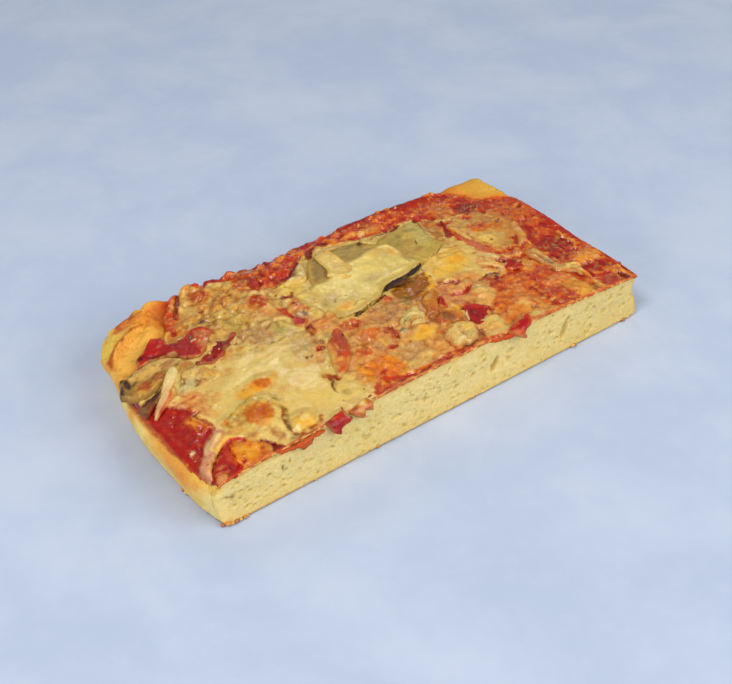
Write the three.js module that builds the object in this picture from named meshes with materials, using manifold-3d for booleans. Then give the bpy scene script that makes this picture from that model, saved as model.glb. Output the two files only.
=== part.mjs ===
// A rectangular slice of thick tray pizza, cut from the corner of the tray.
// Millimetres, +Z up, resting on its flat underside at z = 0.
//
// Two sides (left and far) are the baked crust that leaned on the sloping tray wall, and two sides (near and
// right) are knife cuts that show the crumb. A tomato layer and a melted cheese layer lie on the dough and run
// through to the cuts. Aubergine slices, pepper strips, onion and artichoke pieces are sunk into the cheese.
import * as THREE from 'three';
import { mergeVertices } from 'three/addons/utils/BufferGeometryUtils.js';
import Module from 'manifold-3d';

const wasm = await Module();
wasm.setup();

// ---- driving dimensions, mm ----
const SHIFT_X = 1.25; // moves the slice so that its box is centred over the origin
const SHIFT_Y = 0.8;
const HALF_W = 51; // half of the slice's width between its long sides
const MID_H = 23.8; // height of the topping's surface at mid length
const END_SAG = 4.66; // how much lower it is 100 mm away from the middle
const END_TILT = 0.15; // the right end's extra height
const FAR_SAG = 3.0; // how much lower the far side is
const SAUCE_T = 1.2; // tomato layer
const CHEESE_T = 1.6; // melted cheese layer
const GAP = 0.3; // clearance between touching pieces
const CRUST_RISE = 2.6; // how far bare crust stands over the dough beneath the topping
const CRUST_RISE_RUN = 8; // over this distance from the sauce's edge
const LAYERS = SAUCE_T + CHEESE_T + 2 * GAP;
const SINK = 1.0; // how deep a topping lies in the cheese
const CHEESE_EDGE_T = 0.9; // the cheese's thickness at its melted rim
const CHEESE_EDGE_RUN = 7; // it reaches full thickness this far inside

// Where the cheese lies thicker: centre x and y, half length and half width, extra thickness.
const CHEESE_POOLS = [
  [-58, -18, 26, 22, 1.0], [-66, -32, 12, 11, 0.8], [-50, 22, 18, 20, 0.8], [42, -2, 14, 12, 1.0],
  [67, 8, 15, 17, 0.9], [-12, -26, 20, 16, 0.5], [-30, 12, 14, 14, 0.4],
];

// Side profiles, as [share of the height from the top down, outward offset].
const CRUST_PROFILE = [[0, 0], [0.09, 1.5], [0.26, 2.3], [0.55, 1.5], [0.84, 0.2], [0.95, -0.9], [1, -2.4]];
const NEAR_PROFILE = [[0, 0], [0.09, -0.2], [0.26, 0.1], [0.55, 0.1], [0.84, 0], [0.95, -0.2], [1, -0.8]];
const RIGHT_PROFILE = [[0, 0], [0.09, -1.2], [0.26, -2.6], [0.55, -0.5], [0.84, 0.6], [0.95, 0.2], [1, -1.4]];

// The top's four edges in plan, each as a few named points of a smooth curve.
const NEAR_EDGE = [[-97.5, -51], [-40, -51], [20, -51], [98, -51]];
const LEFT_EDGE = [[-97.5, -51], [-98.8, -46], [-100, -38], [-100.4, -25], [-100.3, -5], [-98.8, 12], [-96, 26], [-93, 35]];
const FAR_EDGE = [[-93, 35], [-88.5, 40], [-82.5, 43.5], [-73.5, 47.5], [-60, 49.3], [-30, 49.2], [0, 48.8], [40, 49.3], [98.5, 49]];
const RIGHT_EDGE = [[98, -51], [98.6, -43], [99, -33], [98.3, -18], [99.6, 0], [99.6, 15], [99, 30], [98.5, 49]];

// Where the tomato ends: bare crust lies outside, in the rounded corner, and at the far right corner.
const SAUCE_EDGE = [
  [-99, -54], [-103, -38], [-104, -12], [-102, 0], [-98.5, 9], [-91, 17], [-83, 23], [-75, 28], [-70, 32],
  [-67, 38], [-62, 43], [-57, 48], [-50, 54], [0, 54], [60, 54], [71, 53], [77, 46], [81, 38], [85, 32.5],
  [92, 30], [99, 24], [104, 22], [104, -54],
];
// Where the melted cheese ends.
const CHEESE_EDGE = [
  [-73, -54], [-80, -42], [-87, -31], [-84, -23], [-88, -13], [-91, -6], [-84, 3], [-73, 7], [-62, 14], [-66, 25],
  [-63, 36], [-57, 44], [-50, 51], [-41, 48], [-35, 40], [-29, 30], [-20, 31], [-10, 39], [4, 42], [30, 40],
  [52, 36], [66, 31], [78, 22], [84, 8], [80, -6], [73, -14], [79, -26], [86, -34], [78, -44], [66, -54],
];

// ---- surfaces ----
const clamp = (v, a, b) => Math.min(b, Math.max(a, v));
const smooth = (t) => { const s = clamp(t, 0, 1); return s * s * (3 - 2 * s); };

function curve(points) {
  return new THREE.CatmullRomCurve3(points.map((p) => new THREE.Vector3(p[0], p[1], p[2] ?? 0)), false, 'centripetal');
}

// Height of the finished top, before crust and toppings.
function topZ(x, y) {
  return MID_H + END_TILT * x / 100 - END_SAG * (x / 100) ** 2 - FAR_SAG * clamp(y / HALF_W, 0, 1) ** 2;
}

function distanceOutside(polygon, x, y) {
  let inside = false, best = Infinity;
  for (let i = 0, j = polygon.length - 1; i < polygon.length; j = i++) {
    const [ax, ay] = polygon[j], [bx, by] = polygon[i];
    const dx = bx - ax, dy = by - ay;
    const t = clamp(((x - ax) * dx + (y - ay) * dy) / (dx * dx + dy * dy), 0, 1);
    best = Math.min(best, Math.hypot(x - ax - t * dx, y - ay - t * dy));
    if (ay > y !== by > y && x < ax + (y - ay) * dx / dy) inside = !inside;
  }
  return inside ? -best : best;
}

function doughZ(x, y) {
  return topZ(x, y) - LAYERS + CRUST_RISE * smooth(distanceOutside(SAUCE_EDGE, x, y) / CRUST_RISE_RUN);
}

// ---- the grid over the slice's top: a Coons patch between the four edges ----
const knots = (n) => Array.from({ length: n + 1 }, (_, i) => i / n);
const U = knots(22);
const V = knots(11);
const edgeN = curve(NEAR_EDGE), edgeF = curve(FAR_EDGE), edgeL = curve(LEFT_EDGE), edgeR = curve(RIGHT_EDGE);

function plan(u, v) {
  const n = edgeN.getPointAt(u), f = edgeF.getPointAt(u), l = edgeL.getPointAt(v), r = edgeR.getPointAt(v);
  const a = edgeN.getPointAt(0), b = edgeN.getPointAt(1), d = edgeF.getPointAt(0), c = edgeF.getPointAt(1);
  const mix = (k) => (1 - v) * n[k] + v * f[k] + (1 - u) * l[k] + u * r[k]
    - ((1 - u) * (1 - v) * a[k] + u * (1 - v) * b[k] + (1 - u) * v * d[k] + u * v * c[k]);
  return [mix('x'), mix('y')];
}

// ---- closed solids from grids ----
// The faces are turned to point outwards, whichever way round the sections ran.
function geometry(positions, indices) {
  const g = new THREE.BufferGeometry();
  let volume = 0;
  const at = (k) => new THREE.Vector3(positions[3 * k], positions[3 * k + 1], positions[3 * k + 2]);
  for (let t = 0; t < indices.length; t += 3) {
    volume += at(indices[t]).dot(at(indices[t + 1]).cross(at(indices[t + 2])));
  }
  if (volume < 0) indices = indices.map((_, t) => indices[t % 3 === 0 ? t : t % 3 === 1 ? t + 1 : t - 1]);
  g.setAttribute('position', new THREE.Float32BufferAttribute(positions, 3));
  g.setIndex(indices);
  return g;
}

// A closed sheet: at(i, j) gives [x, y, zTop, zBottom] on an n by m grid, running left to right and near to far.
function sheet(n, m, at) {
  const pos = [], idx = [], layer = n * m;
  const points = [];
  for (let j = 0; j < m; j++) for (let i = 0; i < n; i++) points.push(at(i, j));
  for (const p of points) pos.push(p[0], p[1], p[2]);
  for (const p of points) pos.push(p[0], p[1], p[3]);
  for (let j = 0; j + 1 < m; j++) for (let i = 0; i + 1 < n; i++) {
    const a = j * n + i, b = a + 1, c = a + n + 1, d = a + n;
    idx.push(a, b, c, a, c, d);
    idx.push(layer + a, layer + c, layer + b, layer + a, layer + d, layer + c);
  }
  const ring = [];
  for (let i = 0; i < n; i++) ring.push(i);
  for (let j = 1; j < m; j++) ring.push(j * n + n - 1);
  for (let i = n - 2; i >= 0; i--) ring.push((m - 1) * n + i);
  for (let j = m - 2; j > 0; j--) ring.push(j * n);
  for (let k = 0; k < ring.length; k++) {
    const a = ring[k], b = ring[(k + 1) % ring.length];
    idx.push(a, layer + a, layer + b, a, layer + b, b);
  }
  return geometry(pos, idx);
}

const topGrid = V.map((v) => U.map((u) => plan(u, v)));

// A layer of the topping: the whole top's grid between two heights over the dough.
function layerOverDough(low, high) {
  return sheet(U.length, V.length, (i, j) => {
    const [x, y] = topGrid[j][i];
    const z = doughZ(x, y);
    return [x, y, z + high(x, y), z + low];
  });
}

// Height of the cheese over the dough: thin at its rim, thicker in its pools.
function cheeseHigh(x, y) {
  const inside = -distanceOutside(CHEESE_EDGE, x, y);
  let t = CHEESE_EDGE_T + (CHEESE_T - CHEESE_EDGE_T) * smooth(inside / CHEESE_EDGE_RUN);
  for (const [cx, cy, rx, ry, more] of CHEESE_POOLS) {
    t += more * smooth(1 - Math.hypot((x - cx) / rx, (y - cy) / ry));
  }
  return 2 * GAP + SAUCE_T + t;
}

// A straight column over a closed outline, for trimming a layer.
function column(outline) {
  const shape = new THREE.Shape(outline.map((p) => new THREE.Vector2(p[0], p[1])));
  return new THREE.ExtrudeGeometry(shape, { depth: 60, bevelEnabled: false, steps: 1 });
}

// The smooth outline of an edge list, in steps of about 5 mm.
function smoothOutline(points, steps) {
  const closed = new THREE.CatmullRomCurve3(points.map((p) => new THREE.Vector3(p[0], p[1], 0)), true, 'centripetal');
  return closed.getSpacedPoints(steps).slice(0, -1).map((p) => [p.x, p.y]);
}

// ---- booleans ----
function toSolid(g) {
  const h = g.clone();
  h.deleteAttribute('normal');
  h.deleteAttribute('uv');
  const m = mergeVertices(h, 1e-4);
  return new wasm.Manifold(new wasm.Mesh({
    numProp: 3,
    vertProperties: new Float32Array(m.attributes.position.array),
    triVerts: new Uint32Array(m.index.array),
  }));
}

// Back to a geometry. Only the largest connected piece is kept, so that no loose sliver is left by a cut.
function fromSolid(solid) {
  const mesh = solid.getMesh();
  const n = mesh.vertProperties.length / mesh.numProp, tri = mesh.triVerts;
  const root = Array.from({ length: n }, (_, i) => i);
  const find = (i) => { while (root[i] !== i) { root[i] = root[root[i]]; i = root[i]; } return i; };
  const place = (i) => new THREE.Vector3().fromArray(mesh.vertProperties, i * mesh.numProp);
  for (let t = 0; t < tri.length; t += 3) {
    root[find(tri[t])] = find(tri[t + 1]);
    root[find(tri[t + 1])] = find(tri[t + 2]);
  }
  const volume = new Map();
  for (let t = 0; t < tri.length; t += 3) {
    const [a, b, c] = [place(tri[t]), place(tri[t + 1]), place(tri[t + 2])];
    const r = find(tri[t]);
    volume.set(r, (volume.get(r) ?? 0) + a.dot(b.cross(c)) / 6);
  }
  const keep = [...volume.entries()].sort((p, q) => q[1] - p[1])[0][0];
  const pos = [], idx = [], renumber = new Map();
  for (let t = 0; t < tri.length; t++) {
    if (find(tri[t]) !== keep) continue;
    if (!renumber.has(tri[t])) { renumber.set(tri[t], pos.length / 3); pos.push(...place(tri[t]).toArray()); }
    idx.push(renumber.get(tri[t]));
  }
  return geometry(pos, idx);
}

// ---- the dough ----
function breadGeometry() {
  const n = U.length, m = V.length;
  const pos = [], idx = [];
  for (const row of topGrid) for (const [x, y] of row) pos.push(x, y, doughZ(x, y));
  for (let j = 0; j + 1 < m; j++) for (let i = 0; i + 1 < n; i++) {
    const a = j * n + i, b = a + 1, c = a + n + 1, d = a + n;
    idx.push(a, b, c, a, c, d);
  }
  const ring = [];
  for (let i = 0; i < n; i++) ring.push({ k: i, near: 1, left: i === 0 ? 1 : 0, right: i === n - 1 ? 1 : 0 });
  for (let j = 1; j < m; j++) ring.push({ k: j * n + n - 1, right: 1, far: j === m - 1 ? 1 : 0 });
  for (let i = n - 2; i >= 0; i--) ring.push({ k: (m - 1) * n + i, far: 1 });
  for (let j = m - 2; j > 0; j--) ring.push({ k: j * n, left: 1 });
  const at = (k) => new THREE.Vector2(pos[3 * k], pos[3 * k + 1]);
  ring.forEach((p, r) => {
    const a = at(ring[(r + ring.length - 1) % ring.length].k), b = at(ring[(r + 1) % ring.length].k);
    const t = b.clone().sub(a).normalize();
    p.normal = new THREE.Vector2(t.y, -t.x);
    if (p.near && p.left) p.normal.set(-1, 0);
    if (p.far && p.right) p.normal.set(0, 1);
  });
  const offset = (profile, s) => {
    let q = 1;
    while (q < profile.length - 1 && profile[q][0] < s) q++;
    const [s0, o0] = profile[q - 1], [s1, o1] = profile[q];
    return o0 + (o1 - o0) * (s - s0) / (s1 - s0);
  };
  const rows = CRUST_PROFILE.slice(1).map((p) => p[0]);
  const start = pos.length / 3;
  rows.forEach((s) => {
    for (const p of ring) {
      const x = pos[3 * p.k], y = pos[3 * p.k + 1], z = pos[3 * p.k + 2];
      let dx = 0, dy = 0;
      if (p.left || p.far) { const o = offset(CRUST_PROFILE, s); dx += p.normal.x * o; dy += p.normal.y * o; }
      if (p.near) dy -= offset(NEAR_PROFILE, s);
      if (p.right) dx += offset(RIGHT_PROFILE, s);
      pos.push(x + dx, y + dy, z * (1 - s));
    }
  });
  const L = ring.length;
  for (let r = 0; r < rows.length; r++) for (let k = 0; k < L; k++) {
    const k2 = (k + 1) % L;
    const up = r === 0 ? ring[k].k : start + (r - 1) * L + k;
    const up2 = r === 0 ? ring[k2].k : start + (r - 1) * L + k2;
    const lo = start + r * L + k, lo2 = start + r * L + k2;
    idx.push(up, lo, lo2, up, lo2, up2);
  }
  const bottom = ring.map((_, k) => start + (rows.length - 1) * L + k);
  const faces = THREE.ShapeUtils.triangulateShape(bottom.map((k) => at(k)), []);
  for (const [a, b, c] of faces) idx.push(bottom[a], bottom[c], bottom[b]);
  return geometry(pos, idx);
}

// ---- toppings ----
// A cut slice between a lower and an upper edge curve, flat beneath and slightly crowned, with a full-height rim.
function slice({ lower, upper, thick, crown = 0.5, sink = SINK, lift = () => 0, n = 14, m = 6 }, grow = 0) {
  const lo = curve(lower), up = curve(upper);
  return sheet(n, m, (i, j) => {
    const s = i / (n - 1), t = j / (m - 1);
    const a = lo.getPointAt(s), b = up.getPointAt(s);
    let x = a.x + (b.x - a.x) * t, y = a.y + (b.y - a.y) * t;
    if (grow) {
      const along = lo.getTangentAt(s);
      const side = t === 0 ? -1 : t === 1 ? 1 : 0, end = i === 0 ? -1 : i === n - 1 ? 1 : 0;
      const px = -along.y, py = along.x;
      x += 1.3 * grow * (px * side + along.x * end);
      y += 1.3 * grow * (py * side + along.y * end);
    }
    const z = topZ(x, y) - sink + lift(s, t);
    const bulge = crown * (1 - (2 * t - 1) ** 4) * (1 - (2 * s - 1) ** 8);
    return [x, y, z + thick + bulge + grow, z - grow];
  });
}

// A soft strip along a curve. Its section is a flattened ring, and it narrows to rounded ends.
function strip({ path, width, thick, sink = SINK, steps = 10, tip = 0.45, hang = false }, grow = 0) {
  const line = curve(path), M = 8;
  const pos = [], idx = [];
  for (let i = 0; i <= steps; i++) {
    const s = i / steps, p = line.getPointAt(s), t = line.getTangentAt(s);
    if (grow && i === 0) { p.x -= t.x * grow; p.y -= t.y * grow; p.z -= t.z * grow; }
    if (grow && i === steps) { p.x += t.x * grow; p.y += t.y * grow; p.z += t.z * grow; }
    const h = Math.hypot(t.x, t.y) || 1;
    const side = hang ? new THREE.Vector3(1, 0, 0) : new THREE.Vector3(-t.y / h, t.x / h, 0);
    const out = hang ? new THREE.Vector3(0, -t.z, t.y).normalize() : new THREE.Vector3(0, 0, 1);
    if (hang && out.z < 0) out.negate();
    if (hang && out.z < 0.3) out.set(0, -Math.abs(out.y), out.z).normalize();
    const w = width * (tip + (1 - tip) * Math.sin(Math.PI * clamp(s, 0.02, 0.98)) ** 0.5);
    const base = topZ(p.x, hang ? Math.max(p.y, -HALF_W) : p.y) + p.z - sink;
    for (let k = 0; k < M; k++) {
      const f = 2 * Math.PI * k / M + Math.PI / M;
      const across = Math.cos(f) * (w / 2 + grow), high = Math.sin(f) * (thick / 2 + grow) + thick / 2;
      pos.push(p.x + side.x * across + out.x * high, p.y + side.y * across + out.y * high,
        base + side.z * across + out.z * high);
    }
  }
  for (let i = 0; i < steps; i++) for (let k = 0; k < M; k++) {
    const a = i * M + k, b = i * M + (k + 1) % M, c = a + M, d = b + M;
    idx.push(a, c, b, b, c, d);
  }
  const centre = (i) => {
    const q = [0, 0, 0];
    for (let k = 0; k < M; k++) for (let c = 0; c < 3; c++) q[c] += pos[3 * (i * M + k) + c] / M;
    pos.push(...q);
    return pos.length / 3 - 1;
  };
  const c0 = centre(0), c1 = centre(steps);
  for (let k = 0; k < M; k++) {
    idx.push(c0, k, (k + 1) % M);
    idx.push(c1, steps * M + (k + 1) % M, steps * M + k);
  }
  return geometry(pos, idx);
}

// A lump with an uneven outline given by radii at equal angles, domed, with shallow folds running outwards.
function lump({ centre, radii, thick, sink = SINK, folds = 0, foldDepth = 0 }, grow = 0) {
  const around = new THREE.CatmullRomCurve3(radii.map((r, i) => {
    const a = 2 * Math.PI * i / radii.length;
    return new THREE.Vector3(r * Math.cos(a), r * Math.sin(a), 0);
  }), true, 'centripetal');
  const M = 12;
  const rings = [[0.45, 1], [0.8, 0.8], [1, 0.3], [1, 0], [0.6, -0.02]];
  const pos = [], idx = [];
  const base = topZ(centre[0], centre[1]) - sink;
  pos.push(centre[0], centre[1], base + thick * 1.04 + grow);
  rings.forEach(([r, h]) => {
    for (let k = 0; k < M; k++) {
      const p = around.getPoint(k / M), len = p.length();
      const fold = folds && h > 0 ? foldDepth * Math.cos(folds * 2 * Math.PI * k / M) * r : 0;
      const q = (r * len + grow) / len;
      pos.push(centre[0] + p.x * q, centre[1] + p.y * q, base + Math.max(0.1, thick * h + fold) * (h > 0 ? 1 : 0) + (h > 0.2 ? grow : h <= 0 ? -grow : 0));
    }
  });
  pos.push(centre[0], centre[1], base - grow);
  for (let k = 0; k < M; k++) {
    const k2 = (k + 1) % M;
    idx.push(0, 1 + k, 1 + k2);
    for (let r = 0; r + 1 < rings.length; r++) {
      const a = 1 + r * M + k, b = 1 + r * M + k2, c = a + M, d = b + M;
      idx.push(a, c, b, b, c, d);
    }
    idx.push(pos.length / 3 - 1, 1 + (rings.length - 1) * M + k2, 1 + (rings.length - 1) * M + k);
  }
  return geometry(pos, idx);
}

// ---- colours ----
const paint = (name, color, roughness) => {
  const m = new THREE.MeshStandardMaterial({ color, roughness, metalness: 0 });
  m.name = name;
  return m;
};
const crumbPaint = paint('crumb', 0xe2cf8e, 0.85);
const saucePaint = paint('sauce', 0xa83222, 0.45);
const cheesePaint = paint('cheese', 0xdec882, 0.4);
const auberginePaint = paint('aubergine', 0x9c9058, 0.55);
const pepperPaint = paint('pepper', 0xa8251c, 0.35);
const curlPaint = paint('roast_pepper', 0xc2602a, 0.4);
const onionPaint = paint('onion', 0xb8742c, 0.3);
const artichokePaint = paint('artichoke', 0xcdb069, 0.5);

// ---- every topping, from below upwards: an earlier one keeps its shape where two meet ----
const TOPPINGS = [
  ['aubergine_slice_main', auberginePaint, slice, {
    lower: [[-18, -8], [-8, -8.5], [5, -5], [20, -2], [34, 4], [48, 11], [56, 15]],
    upper: [[-20, 20], [-10, 28], [2, 32.5], [16, 33], [32, 30.5], [48, 31], [56, 24]],
    thick: 3.4, crown: 0.5, sink: 1.1, n: 17, m: 7,
    lift: (s, t) => 1.0 * (1 - t) * Math.sin(Math.PI * clamp((s - 0.15) / 0.6, 0, 1)) },
  ],
  ['aubergine_slice_corner', auberginePaint, slice, {
    lower: [[-102.5, 7], [-98, 2.5], [-91, 2.2], [-83, 7], [-76, 6]],
    upper: [[-102, 12], [-98, 16], [-89, 17.6], [-80, 15.5], [-73, 9.5]],
    thick: 2.8, crown: 0.4, sink: 0.2, n: 12, m: 6, lift: (s) => 0.9 * (1 - s) },
  ],
  ['aubergine_slice_under', auberginePaint, slice, {
    lower: [[-99.5, -4.5], [-95, -6], [-90, -4.5]],
    upper: [[-99, 1.2], [-93, 1.4], [-87.5, 3.5]],
    thick: 1.9, crown: 0.3, sink: 1.2, n: 8, m: 4 },
  ],
  ['pepper_piece_corner', pepperPaint, slice, {
    lower: [[-90, 18.9], [-82, 17.2], [-75, 12.8], [-69, 10.5], [-62, 12.5]],
    upper: [[-88, 22.5], [-79, 28.5], [-73, 22.6], [-68, 23], [-59, 26]],
    thick: 2.2, crown: 0.6, sink: 0.9, n: 12, m: 5 },
  ],
  ['pepper_strip_corner', pepperPaint, strip, { path: [[-71, 4.8], [-65, 4.6], [-59.5, 7], [-53, 11.5]], width: 5, thick: 1.9, sink: 0.9, steps: 8 }],
  ['cheese_string_corner', cheesePaint, strip, { path: [[-79.5, 6.5], [-84, 0.8], [-89.5, -6.5], [-95, -8.8]], width: 4.2, thick: 2.6, sink: 0.7, steps: 9, tip: 0.7 }],
  ['artichoke_piece_corner', artichokePaint, lump, { centre: [-74.5, -0.5], radii: [6, 4.6, 4.2, 4, 5.4, 4.6, 5, 5.6], thick: 2.6, folds: 4, foldDepth: 0.35 }],
  ['pepper_piece_near_left', pepperPaint, lump, { centre: [-92.5, -43.5], radii: [5.2, 5.4, 4.6, 4, 3.6, 4, 5.2, 5.6], thick: 1.7, sink: 1.5 }],
  ['pepper_strip_mid', curlPaint, strip, { path: [[-22.5, -11.8], [-23.5, -17], [-26.5, -23.5], [-33, -30]], width: 7, thick: 3.0, sink: 0.9, steps: 9 }],
  ['pepper_bit_mid', pepperPaint, lump, { centre: [-29.5, 1.5], radii: [2.8, 3.2, 3.4, 2.6, 3.2, 4.2, 3.4, 2.4], thick: 1.5, sink: 1.0 }],
  ['onion_strip', onionPaint, strip, { path: [[13, -15], [17, -21.5], [20, -28], [21, -36]], width: 8, thick: 2.4, sink: 1.0, steps: 9, tip: 0.55 }],
  ['artichoke_piece_mid', artichokePaint, lump, { centre: [6, -23.5], radii: [4.8, 3.6, 3.2, 4.2, 5.4, 4.2, 3.4, 3.8], thick: 2.4, folds: 5, foldDepth: 0.35 }],
  ['artichoke_piece_near', artichokePaint, lump, { centre: [14, -40.5], radii: [6, 6.2, 6.4, 6.6, 6.4, 5.6, 5.6, 6], thick: 3.2, folds: 3, foldDepth: 0.4 }],
  ['pepper_piece_near_mid', pepperPaint, lump, { centre: [27.5, -34.5], radii: [6, 5, 4.8, 4, 4.2, 4.6, 4.8, 4.6], thick: 2.2, sink: 1.0 }],
  ['pepper_strip_right', pepperPaint, strip, { path: [[59, 25.5], [57.6, 19.5], [55.4, 15.4]], width: 3.4, thick: 1.7, sink: 0.8, steps: 6 }],
  ['pepper_strip_right_long', pepperPaint, strip, { path: [[57.5, 11.5], [58, 4], [61, -7], [63.5, -13.5]], width: 3.8, thick: 1.8, sink: 0.8, steps: 9 }],
  ['pepper_piece_right', pepperPaint, lump, { centre: [61, -17], radii: [4.4, 2.6, 2.2, 3, 4.6, 3, 2.8, 3.2], thick: 1.8, sink: 1.1 }],
  ['pepper_piece_far', pepperPaint, lump, { centre: [-23, 34], radii: [9, 6.4, 5, 5.2, 8.4, 6, 5.4, 6.6], thick: 1.6, sink: 1.4, folds: 3, foldDepth: 0.2 }],
  ['pepper_piece_over_edge_left', pepperPaint, strip, { path: [[-50, -45, 0], [-50, -49.3, 0.3], [-50.2, -51.7, -0.9], [-50.5, -52, -4.4]], width: 9.5, thick: 1.5, sink: 0.6, steps: 9, tip: 0.75, hang: true }],
  ['onion_piece_over_edge', onionPaint, strip, { path: [[-39, -46, 0], [-39, -49.5, 0.2], [-39.1, -51.7, -0.8], [-39.2, -52, -3.2]], width: 8.5, thick: 1.4, sink: 0.6, steps: 9, tip: 0.75, hang: true }],
  ['pepper_piece_over_edge_right', pepperPaint, strip, { path: [[35.5, -46, 0], [35.5, -49.5, 0.3], [35.5, -51.7, -0.8], [35.4, -52, -3.4]], width: 10.5, thick: 1.5, sink: 0.6, steps: 9, tip: 0.75, hang: true }],
];

// ---- assembly ----
const slab = toSolid(breadGeometry());
let sauce = toSolid(layerOverDough(GAP, () => GAP + SAUCE_T)).intersect(toSolid(column(smoothOutline(SAUCE_EDGE, 72))));
let cheese = toSolid(layerOverDough(2 * GAP + SAUCE_T, cheeseHigh)).intersect(toSolid(column(smoothOutline(CHEESE_EDGE, 84))));

const placed = [];
const group = new THREE.Group();
group.position.set(SHIFT_X, SHIFT_Y, 0);

const add = (name, solid, material) => {
  const mesh = new THREE.Mesh(fromSolid(solid), material);
  mesh.name = name;
  group.add(mesh);
};

for (const [name, material, build, spec] of TOPPINGS) {
  let solid = toSolid(build(spec));
  const fat = toSolid(build(spec, GAP));
  for (const other of placed) solid = solid.subtract(other.fat);
  placed.push({ name, material, solid, fat });
}
const slabFat = slab;
for (const p of placed) {
  cheese = cheese.subtract(p.fat);
  sauce = sauce.subtract(p.fat);
}
add('dough_slab', slab, crumbPaint);
add('tomato_sauce', sauce, saucePaint);
add('melted_cheese', cheese, cheesePaint);
for (const p of placed) add(p.name, p.solid.subtract(slabFat), p.material);

export default group;
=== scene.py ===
# A rectangular corner slice of thick tray pizza: baked dough with two crust sides and two cut sides, tomato,
# melted browned cheese, grilled aubergine, red pepper, onion and artichoke.
import bpy, math
import numpy as np
from mathutils import Matrix, Vector


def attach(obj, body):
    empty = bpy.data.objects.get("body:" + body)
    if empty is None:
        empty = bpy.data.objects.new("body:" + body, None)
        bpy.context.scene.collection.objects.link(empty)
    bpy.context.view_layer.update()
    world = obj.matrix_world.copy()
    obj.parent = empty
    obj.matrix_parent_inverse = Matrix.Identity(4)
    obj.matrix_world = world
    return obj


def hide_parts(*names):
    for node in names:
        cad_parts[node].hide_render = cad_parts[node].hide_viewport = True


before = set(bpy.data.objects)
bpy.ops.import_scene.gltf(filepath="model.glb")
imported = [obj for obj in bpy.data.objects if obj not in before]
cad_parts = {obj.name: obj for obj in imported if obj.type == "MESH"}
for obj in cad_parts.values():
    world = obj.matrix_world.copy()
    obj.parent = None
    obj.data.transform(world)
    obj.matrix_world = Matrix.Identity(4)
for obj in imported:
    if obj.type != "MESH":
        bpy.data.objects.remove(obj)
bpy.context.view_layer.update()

# Everything below is worked out in millimetres in the slice's plan: x along the long sides from the crust end to
# the cut end, y from the near cut side to the far crust side. SHIFT moves that plan into the frame.
SHIFT = np.array([1.25, 0.8, 0.0])
HALF_W = 51.0
STEP = 0.5


# ------------------------------------------------------------------ numbers
def smooth(a, b, x):
    t = np.clip((x - a) / (b - a), 0, 1)
    return t * t * (3 - 2 * t)


def _hash(ix, iy, iz, seed):
    with np.errstate(over="ignore"):
        h = (ix.astype(np.int64) * 374761393 + iy.astype(np.int64) * 668265263 + iz.astype(np.int64) * 1274126177
             + seed * 974634777) & 0xFFFFFFFF
        h = ((h ^ (h >> 13)) * 1103515245) & 0xFFFFFFFF
        h = ((h ^ (h >> 15)) * 668265263) & 0xFFFFFFFF
        return h ^ (h >> 16)


def perlin(x, y, z=0.0, seed=0):
    x, y, z = np.broadcast_arrays(np.asarray(x, float), np.asarray(y, float), np.asarray(z, float))
    ix, iy, iz = np.floor(x), np.floor(y), np.floor(z)
    fx, fy, fz = x - ix, y - iy, z - iz
    u, v, w = [f * f * f * (f * (f * 6 - 15) + 10) for f in (fx, fy, fz)]
    total = 0.0
    for dx in (0, 1):
        for dy in (0, 1):
            for dz in (0, 1):
                h = _hash(ix + dx, iy + dy, iz + dz, seed)
                g = [((h >> s) & 1023) / 511.5 - 1 for s in (0, 10, 20)]
                dot = g[0] * (fx - dx) + g[1] * (fy - dy) + g[2] * (fz - dz)
                total = total + dot * (u if dx else 1 - u) * (v if dy else 1 - v) * (w if dz else 1 - w)
    return total * 1.5


def fbm(x, y, z=0.0, size=4.0, octaves=4, seed=0, gain=0.5):
    total, amp, k, norm = 0.0, 1.0, 1.0 / size, 0.0
    for o in range(octaves):
        total = total + amp * perlin(np.asarray(x) * k, np.asarray(y) * k, np.asarray(z) * k, seed + 17 * o)
        norm += amp
        amp *= gain
        k *= 2.03
    return total / norm


def cell_dist(x, y, size, seed):
    """Distances, in cell sizes, to the nearest two of points scattered about size apart."""
    x, y = x / size, y / size
    gx, gy = np.floor(x), np.floor(y)
    best, second = np.full(len(x), 9.0), np.full(len(x), 9.0)
    for ox in (-1, 0, 1):
        for oy in (-1, 0, 1):
            h = _hash(gx + ox, gy + oy, gx * 0, seed)
            d = np.hypot(x - gx - ox - (h & 1023) / 1023, y - gy - oy - ((h >> 10) & 1023) / 1023)
            second = np.where(d < best, best, np.minimum(second, d))
            best = np.minimum(best, d)
    return best, second


def spline(points, step=1.0):
    """A smooth curve through a few points, as points about step apart."""
    p = np.array(points, float)
    if len(p) == 2:
        n = max(2, int(np.linalg.norm(p[1] - p[0]) / step) + 1)
        return p[0] + (p[1] - p[0]) * np.linspace(0, 1, n)[:, None]
    ext = np.vstack([2 * p[0] - p[1], p, 2 * p[-1] - p[-2]])
    out = []
    for i in range(len(p) - 1):
        a, b, c, d = ext[i:i + 4]
        n = max(2, int(np.linalg.norm(c - b) / step) + 1)
        t = np.linspace(0, 1, n, endpoint=False)[:, None]
        out.append(0.5 * (2 * b + (c - a) * t + (2 * a - 5 * b + 4 * c - d) * t ** 2 + (3 * b - a - 3 * c + d) * t ** 3))
    return np.vstack(out + [p[-1:]])


def resample(points, n):
    q = spline(points, 0.5)
    s = np.concatenate([[0], np.cumsum(np.linalg.norm(np.diff(q, axis=0), axis=1))])
    t = np.linspace(0, s[-1], n)
    return np.stack([np.interp(t, s, q[:, k]) for k in range(q.shape[1])], 1)


def srgb(r, g, b):
    c = np.array([r, g, b], float) / 255
    return np.where(c <= 0.04045, c / 12.92, ((c + 0.055) / 1.055) ** 2.4)


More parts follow.
